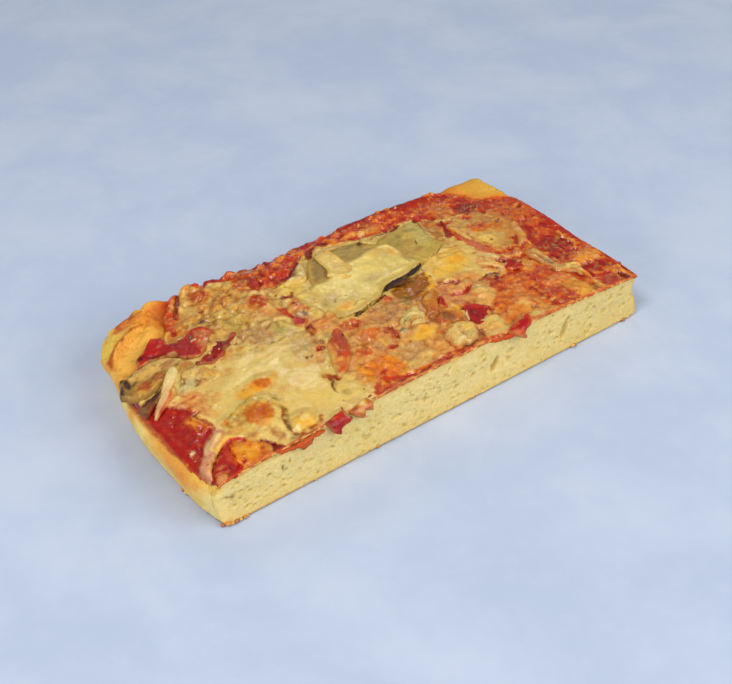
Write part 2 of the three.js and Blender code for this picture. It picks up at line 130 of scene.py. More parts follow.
# ------------------------------------------------------------------ marks: named areas in the plan
class Marks:
    """Areas in plan that a colour or a height is given to. Each is an ellipse, a line or an outline."""

    def __init__(self):
        self.items = []

    def e(self, what, cx, cy, rx, ry, deg=0, o=1.0, s=0.5, b=0.0, w=1.0):
        self.items.append(("e", what, (cx, cy, rx, ry, deg), o, s, b, w))

    def l(self, what, pts, width, o=1.0, s=0.5, b=0.0, w=1.0):
        self.items.append(("l", what, (pts, width), o, s, b, w))

    def z(self, what, pts, o=1.0, s=1.5, b=0.0, w=1.0):
        self.items.append(("z", what, (pts,), o, s, b, w))

    def each(self, X, Y, seed=5):
        """Yields (what, indices, mask) over flat arrays X, Y. The places are bent by noise, so no edge is even."""
        wx = 1.1 * fbm(X, Y, 3.1, 5.0, 3, seed) + 0.35 * fbm(X, Y, 8.0, 1.3, 2, seed + 3)
        wy = 1.1 * fbm(X, Y, 9.7, 5.0, 3, seed + 1) + 0.35 * fbm(X, Y, 2.0, 1.3, 2, seed + 4)
        br = fbm(X, Y, 5.5, 1.8, 3, seed + 2)
        for kind, what, a, o, s, b, w in self.items:
            if kind == "e":
                cx, cy, rx, ry, deg = a
                reach = max(rx, ry) * (1 + s) + 2.5
                i = np.nonzero((abs(X - cx) < reach) & (abs(Y - cy) < reach))[0]
                if not len(i):
                    continue
                x, y = X[i] + w * wx[i] - cx, Y[i] + w * wy[i] - cy
                c, sn = math.cos(math.radians(deg)), math.sin(math.radians(deg))
                d = np.sqrt(((x * c + y * sn) / rx) ** 2 + ((-x * sn + y * c) / ry) ** 2)
                m = 1 - smooth(1 - s, 1 + s, d)
            elif kind == "l":
                pts, width = a
                q = spline(pts, 1.0)
                lo, hi = q.min(0) - 2 * np.max(width) - 3, q.max(0) + 2 * np.max(width) + 3
                i = np.nonzero((X > lo[0]) & (X < hi[0]) & (Y > lo[1]) & (Y < hi[1]))[0]
                if not len(i):
                    continue
                x, y = X[i] + w * wx[i], Y[i] + w * wy[i]
                best, at = np.full(len(i), 1e9), np.zeros(len(i))
                for k in range(len(q) - 1):
                    d = q[k + 1] - q[k]
                    t = np.clip(((x - q[k][0]) * d[0] + (y - q[k][1]) * d[1]) / (d @ d + 1e-9), 0, 1)
                    dist = np.hypot(x - q[k][0] - t * d[0], y - q[k][1] - t * d[1])
                    closer = dist < best
                    best = np.where(closer, dist, best)
                    at = np.where(closer, (k + t) / (len(q) - 1), at)
                half = np.interp(at, np.linspace(0, 1, len(width)), width) / 2 if np.ndim(width) else width / 2
                m = 1 - smooth(1 - s, 1 + s, best / half)
            else:
                q = spline(list(a[0]) + [a[0][0]], 1.5)
                lo, hi = q.min(0) - 4, q.max(0) + 4
                i = np.nonzero((X > lo[0]) & (X < hi[0]) & (Y > lo[1]) & (Y < hi[1]))[0]
                if not len(i):
                    continue
                x, y = X[i] + w * wx[i], Y[i] + w * wy[i]
                m = 1 - smooth(-s, s, outside(q, x, y))
            if b:
                m = np.clip(m * (1 + b * 2.6 * br[i]), 0, 1)
            yield what, i, np.clip(m * o, 0, 1)


def outside(q, x, y):
    """Signed distance to a closed outline q, negative inside."""
    best, inside = np.full(len(x), 1e9), np.zeros(len(x), bool)
    for k in range(len(q)):
        (ax, ay), (bx, by) = q[k - 1], q[k]
        dx, dy = bx - ax, by - ay
        t = np.clip(((x - ax) * dx + (y - ay) * dy) / (dx * dx + dy * dy + 1e-12), 0, 1)
        best = np.minimum(best, np.hypot(x - ax - t * dx, y - ay - t * dy))
        cross = (ay > y) != (by > y)
        if dy:
            inside ^= cross & (x < ax + (y - ay) * dx / dy)
    return np.where(inside, -best, best)


# ------------------------------------------------------------------ the slice's surfaces, as in the CAD model
def top_z(x, y):
    return 23.8 + 0.15 * x / 100 - 4.66 * (x / 100) ** 2 - 3.0 * np.clip(y / HALF_W, 0, 1) ** 2


NEAR_EDGE = [(-97.5, -51), (-40, -51), (20, -51), (98, -51)]
LEFT_EDGE = [(-97.5, -51), (-98.8, -46), (-100, -38), (-100.4, -25), (-100.3, -5), (-98.8, 8), (-96.2, 18), (-94.2, 27), (-92.6, 35)]
FAR_EDGE = [(-92.6, 35), (-88.5, 40), (-82.5, 43.5), (-73.5, 47.5), (-60, 49.3), (-30, 49.2), (0, 48.8), (40, 49.3), (98.5, 49)]
RIGHT_EDGE = [(98, -51), (98.6, -43), (99, -33), (98.3, -18), (99.6, 0), (99.6, 15), (99, 30), (98.5, 49)]
SAUCE_EDGE = [
    (-99, -54), (-103, -38), (-104, -12), (-102, 0), (-98.5, 9), (-91, 17), (-83, 23), (-75.4, 27.6), (-72, 31.6),
    (-70, 37), (-65.8, 42.4), (-61, 48), (-55, 54), (0, 54), (60, 54), (72, 54), (78.6, 47.4), (82.6, 40.6), (84.6, 35.4),
    (88.4, 33), (92.6, 32), (96, 28), (100, 24.6), (104, 22.6), (104, -54),
]
SAUCE_OUTLINE = spline(SAUCE_EDGE + SAUCE_EDGE[:1], 2.0)
RIGHT_LINE = spline(RIGHT_EDGE, 1.0)
CRUST_OUTLINE = np.vstack([spline(LEFT_EDGE, 2.0), spline(FAR_EDGE, 2.0)[1:]])


def right_x(y):
    return np.interp(y, RIGHT_LINE[:, 1], RIGHT_LINE[:, 0])


def in_view(P):
    """Where a point falls in the plan map, which is drawn on the surface top_z along one slanting direction."""
    h = P[..., 2] - top_z(P[..., 0], P[..., 1])
    return P[..., 0] + 0.754 * h, P[..., 1] + 1.006 * h


def crust_gap(x, y):
    """Distance inwards from the crust sides' top edge (left and far), negative outside."""
    q = np.vstack([CRUST_OUTLINE, [[140, 49], [140, -140], [-97.5, -140]]])
    return -outside(q, x, y)


# ------------------------------------------------------------------ mesh making
def shade(me, smooth_faces=True):
    me.polygons.foreach_set("use_smooth", np.full(len(me.polygons), smooth_faces))


def make_object(name, verts, quads, tris, material, attrs=None, body="root", nodes=()):
    me = bpy.data.meshes.new(name)
    quads = np.asarray(quads, np.int32).reshape(-1, 4)
    tris = np.asarray(tris, np.int32).reshape(-1, 3)
    me.vertices.add(len(verts))
    me.vertices.foreach_set("co", ((verts + SHIFT) / 1000).astype(np.float32).ravel())
    loops = np.concatenate([quads.ravel(), tris.ravel()])
    me.loops.add(len(loops))
    me.loops.foreach_set("vertex_index", loops)
    me.polygons.add(len(quads) + len(tris))
    start = np.concatenate([np.arange(len(quads)) * 4, len(quads) * 4 + np.arange(len(tris)) * 3])
    total = np.concatenate([np.full(len(quads), 4), np.full(len(tris), 3)])
    me.polygons.foreach_set("loop_start", start.astype(np.int32))
    me.polygons.foreach_set("loop_total", total.astype(np.int32))
    me.update(calc_edges=True)
    me.validate()
    shade(me)
    for key, value in (attrs or {}).items():
        value = np.asarray(value, np.float32)
        if value.ndim == 2:
            a = me.attributes.new(key, "FLOAT_COLOR", "POINT")
            a.data.foreach_set("color", np.concatenate([value, np.ones((len(value), 1), np.float32)], 1).ravel())
        else:
            a = me.attributes.new(key, "FLOAT", "POINT")
            a.data.foreach_set("value", value.ravel())
    me.materials.append(material)
    ob = bpy.data.objects.new(name, me)
    bpy.context.scene.collection.objects.link(ob)
    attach(ob, body)
    if nodes:
        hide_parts(*nodes)
    return ob


def thin_out(ob, weight, ratio):
    """Fewer faces where weight is 1, which is where nothing shows."""
    group = ob.vertex_groups.new(name="hidden")
    for w in (1.0,):
        group.add([int(i) for i in np.nonzero(weight > 0.5)[0]], w, "REPLACE")
    m = ob.modifiers.new("fewer", "DECIMATE")
    m.ratio = ratio
    m.vertex_group = "hidden"
    m.vertex_group_factor = 1.0
    deps = bpy.context.evaluated_depsgraph_get()
    me = bpy.data.meshes.new_from_object(ob.evaluated_get(deps))
    old = ob.data
    ob.modifiers.clear()
    ob.data = me
    me.name = old.name
    bpy.data.meshes.remove(old)
    ob.vertex_groups.clear()
    shade(me)
    return ob


def closed_sheet(top, bottom, cells):
    """Vertices and quads of a closed sheet between two grids of points (rows, columns, 3), over the cells kept.
    Returns verts, quads and which vertices are on the bottom."""
    ny, nx = top.shape[:2]
    use = np.zeros((ny, nx), bool)
    j, i = np.nonzero(cells)
    for dj in (0, 1):
        for di in (0, 1):
            use[j + dj, i + di] = True
    index = np.full((ny, nx), -1)
    index[use] = np.arange(use.sum())
    n = use.sum()
    verts = np.vstack([top[use], bottom[use]])
    a, b, c, d = index[j, i], index[j, i + 1], index[j + 1, i + 1], index[j + 1, i]
    quads = [np.stack([a, b, c, d], 1), np.stack([a + n, d + n, c + n, b + n], 1)]
    pad = np.zeros((ny + 1, nx + 1), bool)
    pad[1:-1, 1:-1] = cells
    for dj, di, p, q in ((-1, 0, a, b), (0, 1, b, c), (1, 0, c, d), (0, -1, d, a)):
        edge = ~pad[j + 1 + dj, i + 1 + di]
        quads.append(np.stack([p[edge], p[edge] + n, q[edge] + n, q[edge]], 1))
    return verts, np.vstack(quads), np.arange(2 * n) >= n


def clean_cells(cells, passes=3):
    """Removes lone cells, corner contacts and small islands' fringes."""
    for _ in range(passes):
        p = np.pad(cells, 1)
        count = sum(p[1 + dj:p.shape[0] - 1 + dj, 1 + di:p.shape[1] - 1 + di].astype(int)
                    for dj in (-1, 0, 1) for di in (-1, 0, 1) if dj or di)
        cells = (cells & (count >= 3)) | (count >= 6)
        # two cells that touch only at a corner get joined
        for s in (1, -1):
            A, B = cells[:-1, :-1], cells[1:, 1:]
            C, D = cells[:-1, 1:], cells[1:, :-1]
            if s == 1:
                fix = A & B & ~C & ~D
                cells[:-1, 1:] |= fix
            else:
                fix = C & D & ~A & ~B
                cells[:-1, :-1] |= fix
    return cells


# ------------------------------------------------------------------ node helpers
class Nodes:
    def __init__(self, name):
        self.mat = bpy.data.materials.new(name)
        self.mat.use_nodes = True
        self.t = self.mat.node_tree
        self.t.nodes.clear()
        self.out = self.t.nodes.new("ShaderNodeOutputMaterial")
        self.bsdf = self.t.nodes.new("ShaderNodeBsdfPrincipled")
        self.t.links.new(self.bsdf.outputs[0], self.out.inputs[0])
        tc = self.t.nodes.new("ShaderNodeTexCoord")
        mm = self.t.nodes.new("ShaderNodeVectorMath")
        mm.operation = "SCALE"
        mm.inputs[3].default_value = 1000
        self.t.links.new(tc.outputs["Object"], mm.inputs[0])
        self.mm = mm.outputs[0]

    def put(self, socket, value):
        if isinstance(value, bpy.types.NodeSocket):
            self.t.links.new(value, socket)
        elif value is not None:
            socket.default_value = value

    def attr(self, name, colour=False):
        n = self.t.nodes.new("ShaderNodeAttribute")
        n.attribute_name = name
        return n.outputs["Color" if colour else "Fac"]

    def noise(self, size, detail=3.0, rough=0.55, distort=0.0, vector=None):
        n = self.t.nodes.new("ShaderNodeTexNoise")
        self.put(n.inputs["Vector"], vector or self.mm)
        n.inputs["Scale"].default_value = 1.0 / size
        n.inputs["Detail"].default_value = detail
        n.inputs["Roughness"].default_value = rough
        n.inputs["Distortion"].default_value = distort
        return n.outputs["Fac"]

    def voronoi(self, size, feature="F1", vector=None, out="Distance", random=1.0):
        n = self.t.nodes.new("ShaderNodeTexVoronoi")
        n.feature = feature
        self.put(n.inputs["Vector"], vector or self.mm)
        n.inputs["Scale"].default_value = 1.0 / size
        n.inputs["Randomness"].default_value = random
        return n.outputs[out]

    def math(self, op, a, b=None, clamp=False):
        n = self.t.nodes.new("ShaderNodeMath")
        n.operation = op
        n.use_clamp = clamp
        self.put(n.inputs[0], a)
        if b is not None:
            self.put(n.inputs[1], b)
        return n.outputs[0]

    def span(self, value, a, b, lo=0.0, hi=1.0):
        n = self.t.nodes.new("ShaderNodeMapRange")
        n.interpolation_type = "SMOOTHSTEP"
        self.put(n.inputs["Value"], value)
        n.inputs["From Min"].default_value = a
        n.inputs["From Max"].default_value = b
        n.inputs["To Min"].default_value = lo
        n.inputs["To Max"].default_value = hi
        return n.outputs[0]

    def mix(self, fac, a, b, blend="MIX"):
        n = self.t.nodes.new("ShaderNodeMix")
        n.data_type = "RGBA"
        n.blend_type = blend
        n.clamp_factor = True
        self.put(n.inputs[0], fac)
        for socket, v in ((n.inputs[6], a), (n.inputs[7], b)):
            self.put(socket, tuple(v) + (1.0,) if isinstance(v, (tuple, list, np.ndarray)) else v)
        return n.outputs[2]

    def bump(self, height, strength=0.5, distance=0.0003, normal=None):
        n = self.t.nodes.new("ShaderNodeBump")
        n.inputs["Strength"].default_value = strength
        n.inputs["Distance"].default_value = distance
        self.put(n.inputs["Height"], height)
        if normal is not None:
            self.put(n.inputs["Normal"], normal)
        return n.outputs[0]

    def set(self, **kw):
        for k, v in kw.items():
            self.put(self.bsdf.inputs[k.replace("_", " ")], v)
        return self.mat


# ------------------------------------------------------------------ palette, sRGB
PAL = dict(melt=(196, 170, 98), crust=(226, 126, 30), crustlt=(228, 158, 58), lip=(232, 208, 100), 
    cream=(226, 204, 134), creamlt=(238, 222, 154), creamgrey=(200, 184, 136), yellowcream=(232, 210, 122),
    pinkish=(218, 162, 106), pinkgrey=(194, 150, 110), peach=(224, 160, 88), tan=(206, 156, 92),
    orange=(228, 134, 46), orangelt=(238, 164, 66), orangebr=(204, 106, 44), brown=(176, 86, 34),
    dkbrown=(104, 54, 24), sauce=(172, 48, 22), saucedk=(128, 30, 16), red=(180, 32, 16), redbr=(208, 54, 24),
    redorange=(200, 76, 28), redpink=(204, 98, 66), olive=(176, 158, 98), olivedk=(122, 106, 56),
    black=(46, 38, 28), yellow=(236, 188, 84), green=(176, 172, 92), gold=(230, 178, 72), goldlt=(238, 200, 100),
    pale=(236, 222, 150), white=(238, 226, 190), grey=(150, 140, 116), amber=(190, 116, 36), amberdk=(150, 78, 24),
)
LIN = {k: srgb(*v) for k, v in PAL.items()}


# ------------------------------------------------------------------ the topping's colours, place by place
TOP = Marks()
T = TOP
# broad areas
T.z("tan", [(-66, 50), (-66, 8), (-30, 8), (-18, 20), (-30, 30), (-36, 48)], .45, 3, .5)
T.z("pinkish", [(-36, 14), (-18, 10), (-16, -8), (12, -10), (40, -14), (40, -34), (20, -48), (-30, -46), (-30, -10)], .75, 4, .3)
T.z("redorange", [(-38, 54), (-37, 33), (-28, 27), (-14, 27), (-8, 35), (-2, 38), (6, 40), (14, 36), (30, 32), (49, 33),
                  (55, 27), (66, 25), (80, 20), (92, 26), (101, 24), (101, 54)], .92, 1.5, .12)
T.z("redorange", [(80, 24), (84, 10), (82, 2), (78, -9), (78, -30), (74, -40), (78, -54), (104, -54), (104, 26), (90, 30)], .92, 2, .12)
T.z("peach", [(36, -20), (50, -22), (60, -19), (72, -16), (80, -30), (80, -54), (34, -54), (34, -36), (40, -28)], .9, 3, .25)
T.z("orangebr", [(46, -22), (62, -20), (74, -26), (76, -36), (60, -40), (44, -36)], .6, 3, .6)
T.z("orangelt", [(-30, -33), (-22, -34), (-14, -35), (-13, -42), (-16, -47), (-28, -47)], .9, 1.5, .25)
T.z("sauce", [(-103, 6), (-99.5, 3), (-98, -8), (-93, -8), (-90.5, -11.5), (-88, -17), (-86.5, -22), (-84.5, -24.5),
              (-85, -29.5), (-89, -31), (-93, -34), (-96.5, -41), (-99, -47), (-102.5, -42), (-103, -20)], 1, .7)
T.z("sauce", [(-100, -45), (-98, -51), (-89, -51), (-86, -45), (-84, -40), (-80, -38), (-82, -36), (-88, -37), (-93, -40)], .95, .8, .1)
# the left rim, where the tomato thins over the crust
T.l("redorange", [(-102.6, -8), (-102.6, -22), (-102.2, -36), (-101, -46)], 2.2, .9, .6, .4)
T.l("orange", [(-103.4, -8), (-103.4, -22), (-103, -36), (-101.8, -47)], 1.8, .8, .6, .3)
# corner by the crust end's cut
T.l("orange", [(-89.5, -14), (-89.5, -19), (-87.5, -23)], 2.4, .75, .6, .3)
T.l("redorange", [(-90, -11), (-88, -16), (-85.5, -22), (-84.6, -27)], 1.6, .8, .6, .4)
T.e("cream", -86.5, -32.5, 4.2, 2.2, 20, .8, .5, .2)
T.l("pinkish", [(-85, -31), (-90, -35), (-95, -41), (-99, -46)], (4, 3.2, 2.6, 2.4), .95, .4, .1)
T.l("redpink", [(-84, -29), (-88, -33), (-92, -36)], 1.4, .6, .6, .3)
T.e("white", -97, -33, .9, .9, 0, .95, .4)
T.e("orangelt", -82, -44, 5, 6.5, 0, .95, .35, .1)
T.e("orange", -79, -47, 4, 3.5, 0, .7, .5, .3)
T.l("redbr", [(-88, -37.5), (-84, -36), (-80.5, -38), (-80, -43), (-77, -46)], 2.0, .9, .5, .3)
T.l("redbr", [(-87, -40), (-88, -46), (-90, -50)], 2.2, .85, .5, .2)
T.e("pinkish", -94, -47, 3.2, 1.8, 20, .7, .5, .4)
T.e("pinkish", -91.5, -41, 2.2, 2, 0, .5, .5, .4)
T.l("red", [(-76, -43), (-74, -46), (-72, -50)], 2.2, .85, .5, .2)
T.e("cream", -74, -40, 3, 2.2, 0, .7, .5)
T.l("white", [(-74, -40.5), (-72, -42.5)], 1.4, .7, .5)
# big cheese pool
T.z("cream", [(-86, -10), (-80, -10), (-72, -6), (-56, -4), (-42, -4), (-30, -10), (-24, -12), (-32, -22), (-36, -30),
              (-34, -46), (-48, -48), (-66, -48), (-72, -44), (-76, -36), (-82, -30), (-84, -22), (-86, -16)], .92, 2.5)
T.e("yellowcream", -50, -30, 13, 14, 20, .35, .8)
T.e("creamlt", -72, -17, 9, 6, 0, .35, .7)
T.e("creamgrey", -58, 5, 9, 5, 10, .45, .7, .3)
T.e("creamgrey", -38, 1, 7, 8, 0, .45, .7, .4)
T.e("creamgrey", -78, -12, 3, 5, 20, .35, .6)
T.e("pinkgrey", -46, 8, 5, 5, 0, .35, .7, .4)
T.e("pinkish", -41, -17, 4, 3, 0, .35, .8)
T.e("gold", -67, -19.5, 4.5, 2.8, 0, .75, .6, .2)
T.e("orangelt", -61.5, -19, 5, 3.2, 0, .85, .5, .1)
T.e("orangebr", -59.5, -19, 2.7, 2.9, 30, .95, .5, .15)
T.e("gold", -54, -17, 3, 1.5, 10, .4, .6)
# painted highlight along the browned bubble's ridge
T.l("gold", [(-76, -30), (-75, -27), (-70, -24.8), (-66, -26), (-62, -31), (-61, -36)], 2.0, .6, .7, .2)
T.e("orangebr", -68.5, -31, 5.2, 5.4, 0, .95, .38, .08)
T.e("brown", -67, -33, 3.4, 2.8, 0, .55, .6, .3)
T.e("orange", -71, -29, 2.2, 2.2, 0, .5, .6, .2)
T.e("orangelt", -69, -36.5, 3, 2.4, 0, .6, .5, .3)
T.e("gold", -79.5, -29.5, 3, 3.2, 0, .5, .6, .4)
T.l("orangebr", [(-81, -27.5), (-78, -26), (-74, -25.5)], 1.0, .5, .6, .3)
T.e("yellowcream", -60, -45, 4.2, 4, 0, .8, .5)
T.e("gold", -59, -46, 2.6, 2.4, 0, .55, .6)
T.l("amber", [(-61.5, -34.5), (-64, -38.5), (-65.5, -42)], 1.1, .7, .6, .2)
T.l("amberdk", [(-65.2, -43), (-65.2, -47), (-61, -49.5), (-57, -49)], 1.5, .75, .6, .3)
T.e("creamlt", -68, -41, 3, 3.6, 10, .5, .6)
T.e("orangebr", -57.4, -40, .9, .6, 30, .8, .5)
T.l("brown", [(-41, -30), (-38.5, -32), (-38, -34)], 2.2, .85, .5, .4)
T.e("saucedk", -39.5, -32.5, 1.8, 1.3, 20, .8, .5, .3)
T.e("red", -37.5, -34, 1.6, .9, 0, .6, .5, .3)
T.l("dkbrown", [(-39.8, -34.5), (-41.3, -36.5), (-42, -39.5)], .9, .95, .5, .2)
T.l("brown", [(-40, -36), (-42, -38)], 2.2, .5, .6, .2)
T.e("olive", -39, -42, 2, 1.6, 0, .6, .6, .5)
T.e("redbr", -32.5, -16.5, 2.2, 1.5, 10, .85, .5, .3)
T.e("pinkish", -34, -16, 4, 3, 0, .5, .6)
T.e("gold", -54, -18, 1.6, .8, 0, .5, .6)
# upper left: cheese over the far side
T.z("cream", [(-56, 50), (-62, 38), (-58, 30), (-44, 34), (-36, 36), (-38, 44), (-46, 46)], .7, 2.5, .2)
T.e("peach", -50, 49.5, 4, 3.5, 0, .55, .6)
T.e("tan", -54, 46, 3, 3, 0, .5, .6, .3)
T.e("orangebr", -50, 41, 4.6, 4.2, 0, .9, .5, .1)
T.e("brown", -49, 43, 2.6, 2, 0, .4, .6, .3)
T.e("orangebr", -45, 31.5, 4.6, 2.6, 10, .55, .6, .3)
T.e("redpink", -37, 36, 3.5, 3, 0, .5, .6, .3)
T.e("dkbrown", -41, 36, .8, .7, 0, .8, .6, .3)
T.e("dkbrown", -55, 31, .8, .7, 0, .7, .6, .3)
T.e("creamlt", -58, 34, 2, 2.6, 0, .5, .5, .3)
T.e("creamlt", -54.5, 36, 1.6, 2.6, 20, .5, .5, .3)
T.e("tan", -62, 33, 4, 5, 0, .5, .6, .3)
T.e("brown", -60, 26.5, 3.2, 1.6, 0, .55, .6, .5)
T.e("amberdk", -62.5, 26.5, 1.6, .8, 0, .5, .6, .4)
T.e("yellowcream", -52, 23, 6, 8, 0, .6, .7, .2)
T.e("green", -53, 19, 3.5, 5, 0, .35, .7, .4)
T.e("gold", -45, 25, 4, 2.5, 10, .5, .6, .4)
T.e("green", -46, 14, 2, 2, 0, .3, .7, .4)
T.e("orangebr", -36, 22, 4, 4.8, 10, .92, .4, .12)
T.e("redorange", -33.5, 22.5, 1.8, 3, 10, .75, .5, .3)
T.e("brown", -37, 19.5, 2.4, 1.6, 0, .45, .6, .3)
T.e("orangelt", -41, 22.5, 2.6, 2, 0, .6, .6, .3)
T.e("pinkish", -40, 14, 5, 3, 0, .6, .6, .3)
T.e("grey", -44, 8, 6, 1.8, 25, .4, .6, .5)
T.e("tan", -52, 8, 3, 3, 0, .4, .6, .5)
T.e("brown", -48, 1, 2.4, 1.6, 0, .3, .6, .5)
T.e("pinkish", -62, 3, 4, 2.2, 0, .6, .6, .3)
T.e("orangebr", -57, 1.4, 1, .7, 0, .5, .6, .3)
# the strip of tomato and the dark rim along the far side
T.z("redbr", [(-48, 52), (-45, 52), (-43, 48), (-44, 44), (-47, 44), (-49, 48)], .95, .6)
T.z("red", [(-44, 49), (-40, 49.5), (-37, 46), (-38, 43.5), (-42, 43.5)], .95, .7, .1)
T.e("saucedk", -39.5, 48, 3, .8, 5, .6, .6, .3)
T.e("redpink", -33.2, 46.5, 2.6, 3.4, 10, .95, .4, .1)
T.e("pinkish", -33, 48.6, 1.4, 1.2, 0, .6, .6)
T.l("saucedk", [(-31, 46.4), (-27, 46.4), (-24, 45.5), (-19, 45.2), (-17, 43)], 1.3, .9, .6, .3)
T.e("saucedk", -18.5, 44.5, 1.6, 1.6, 0, .7, .6, .3)
T.e("peach", -27, 43.5, 3.4, 2, 0, .7, .5, .3)
T.e("tan", -32, 42.5, 4, 2.5, 0, .7, .5, .3)
T.l("red", [(-23, 44), (-22, 41), (-25, 39)], 2.4, .8, .5, .3)
T.l("saucedk", [(-15.5, 43), (-11, 43.5), (-7, 45), (-1, 45.4), (4, 46)], 1.6, .85, .6, .3)
T.l("red", [(-12, 41.5), (-7, 42.6), (0, 43.2), (6, 43.6)], 2.4, .8, .6, .35)
T.e("sauce", -30, 36, 4.4, 5, 20, .85, .5, .2)
T.e("saucedk", -30, 36.5, 1.6, 2, 0, .6, .6, .4)
T.l("sauce", [(-34, 31.4), (-31, 30.5), (-28, 30.5)], 1.4, .7, .6, .3)
T.e("redbr", -20, 32, 7, 4, 12, .8, .5, .3)
T.e("orange", -22, 36, 3, 2, 20, .5, .6, .5)
T.l("saucedk", [(-22, 28), (-17, 28.6), (-12.5, 31), (-9, 34.5)], 1.8, .85, .6, .3)
T.l("olive", [(-18.5, 26.6), (-14, 28.6), (-11, 30.5)], 1.6, .8, .6, .3)
T.e("cream", -13, 41, 3.2, 1.6, 0, .6, .6, .4)
T.e("sauce", -15, 38, 2.6, 3, 0, .6, .6, .4)
T.e("pinkish", -24, 36, 1.4, 1, 0, .8, .5, .3)
T.e("saucedk", -9, 37, 3, 2, 20, .5, .6, .4)
T.l("saucedk", [(-3, 33.5), (-1.5, 36.5), (1, 40)], 2.2, .85, .5, .3)
T.e("orange", -3, 41, 3, 2.4, 0, .7, .6, .3)
T.e("peach", 17, 39.5, 5, 3.5, 0, .8, .6, .3)
T.e("orangelt", 13, 37, 3, 2.6, 0, .6, .6, .4)
T.e("redbr", 9, 41.5, 3.2, 2.4, 20, .7, .5, .4)
T.e("sauce", 26, 45, 8, 3, 5, .8, .5, .3)
T.l("saucedk", [(20, 46.8), (26, 48.6), (34, 48.6), (44, 49.4), (54, 50)], 1.3, .6, .6, .4)
T.e("orange", 36, 41, 12, 3.6, 5, .75, .5, .4)
T.e("peach", 27, 38, 5, 2.5, 10, .6, .6, .5)
T.e("tan", 30, 36.5, 4, 1.5, 0, .5, .6, .4)
T.e("redbr", 38, 38.5, 2.6, 2.2, 0, .7, .5, .3)
T.l("saucedk", [(34, 31.4), (37, 30.6), (41, 32.5)], 2.0, .8, .6, .3)
T.e("red", 34.5, 33, 1.6, 1.6, 0, .7, .5, .3)
T.e("orangebr", 47, 38, 6, 5, 0, .55, .6, .4)
T.e("sauce", 52, 46.5, 7, 3.2, 0, .7, .6, .3)
T.e("white", 50.7, 47, .6, 1, -30, .8, .5)
T.e("sauce", 62, 45.5, 8, 3.4, 0, .75, .6, .3)
T.e("redpink", 66, 38.5, 4, 2, 20, .5, .6, .4)
T.e("sauce", 74, 42, 4, 3, -20, .75, .6, .3)
T.e("orange", 74.5, 38.5, 2.6, 1.6, 10, .6, .6, .3)
T.l("amberdk", [(62, 41), (60.5, 37)], 1.0, .6, .6, .2)
T.e("redpink", 68, 31, 4.5, 3, 0, .55, .6, .4)
T.e("orangebr", 60, 32, 5, 3, 0, .5, .6, .4)
T.e("sauce", 78, 35, 5, 2.4, 10, .6, .6, .4)
T.e("dkbrown", 75, 28.4, 5, 2.8, 8, .72, .5, .2)
T.e("saucedk", 73, 25.5, 3, 2, 0, .6, .6, .3)
T.e("dkbrown", 78, 31, 2, 1.4, 0, .5, .6, .4)
T.l("sauce", [(80, 30), (86, 28), (90, 31)], 2.6, .6, .6, .4)
T.e("grey", 82, 29, 1.5, 2, 0, .4, .6, .4)
# right of the aubergine
T.z("tan", [(58, 16), (60, 22), (68, 25), (80, 20), (86, 10), (82, 4), (80, -2), (74, -7), (66, -12), (60, -6), (60, 6)], .85, 2, .15)
T.z("cream", [(57, 17), (60, 21), (67, 22), (70, 15), (72, 6), (72, -2), (64, -4), (61, 2), (60, 10)], .7, 2.2, .15)
T.e("orangebr", 54, 22, 3, 6, 10, .7, .5, .3)
T.e("orange", 50, 17, 3, 4, 20, .5, .6, .3)
T.e("brown", 54, 25, 1.6, 2, 0, .4, .6, .4)
T.e("orangebr", 67, 10.6, 4.6, 2.4, 4, .85, .5, .3)
T.e("orange", 73, 12, 2.4, 3, 0, .6, .6, .3)
T.l("redbr", [(76, 15), (75.4, 9)], .8, .8, .5, .2)
T.l("redbr", [(68, 18), (71.5, 20.5)], 1.6, .7, .6, .3)
T.e("redpink", 70, 19, 3.2, 2, 30, .5, .6, .4)
T.e("orangebr", 76, -6, 4, 2.6, 30, .5, .6, .4)
T.e("redpink", 67, -9, 5, 4, 20, .75, .5, .2)
T.l("amberdk", [(70, -11.8), (75, -8), (79, -3)], 1.2, .6, .6, .2)
T.e("peach", 77, -1, 4, 5, 30, .4, .6, .3)
T.e("orangebr", 88, 16, 8, 8, 0, .6, .7, .3)
T.e("peach", 82, 17, 4, 4, 0, .4, .7, .3)
T.e("redpink", 91, 20, 5, 5, 0, .35, .7, .3)
T.e("sauce", 96, 24, 3.5, 5, 0, .5, .6, .4)
T.l("sauce", [(84.6, 9), (86, 4), (87, 0)], 2.2, .85, .5, .3)
T.l("redbr", [(90, 5), (94, 9), (98, 10)], 2.4, .65, .6, .4)
T.l("sauce", [(80, -8), (84, -3), (86, 2)], 3.2, .75, .5, .3)
T.e("sauce", 95, -1, 3.4, 3.4, 0, .8, .5, .3)
T.l("sauce", [(99, 8), (98, 0), (98, -8), (97.5, -16)], 2.6, .7, .6, .4)
T.e("orange", 90, 2, 2.2, 3, 30, .5, .6, .4)
T.e("peach", 84, -6, 2.4, 1.6, 30, .5, .6, .4)
T.z("sauce", [(78, -12), (82, -10), (88, -8.5), (92, -11), (94, -16), (91, -22), (86, -27), (82, -30), (79.5, -27), (78.5, -18)], .97, .9)
T.e("saucedk", 91, -12.5, 2.4, 2.6, 0, .5, .7)
T.l("orange", [(94, -6), (95.5, -13), (94, -19)], 1.6, .55, .6, .4)
T.e("orange", 90, -28.5, 6, 3.4, 8, .85, .5, .2)
T.e("orangelt", 93, -27, 3, 1.6, 20, .5, .6, .4)
T.l("saucedk", [(98.5, -26), (98.8, -31), (98, -35)], 1.8, .6, .6, .3)
T.e("tan", 93, -31.5, 2.4, 2, 0, .5, .6, .3)
T.z("sauce", [(82, -34), (88, -33), (96, -35), (98, -38), (92, -40), (86, -39)], .85, .9, .15)
T.l("saucedk", [(92, -37), (96, -38)], 1.4, .6, .6, .3)
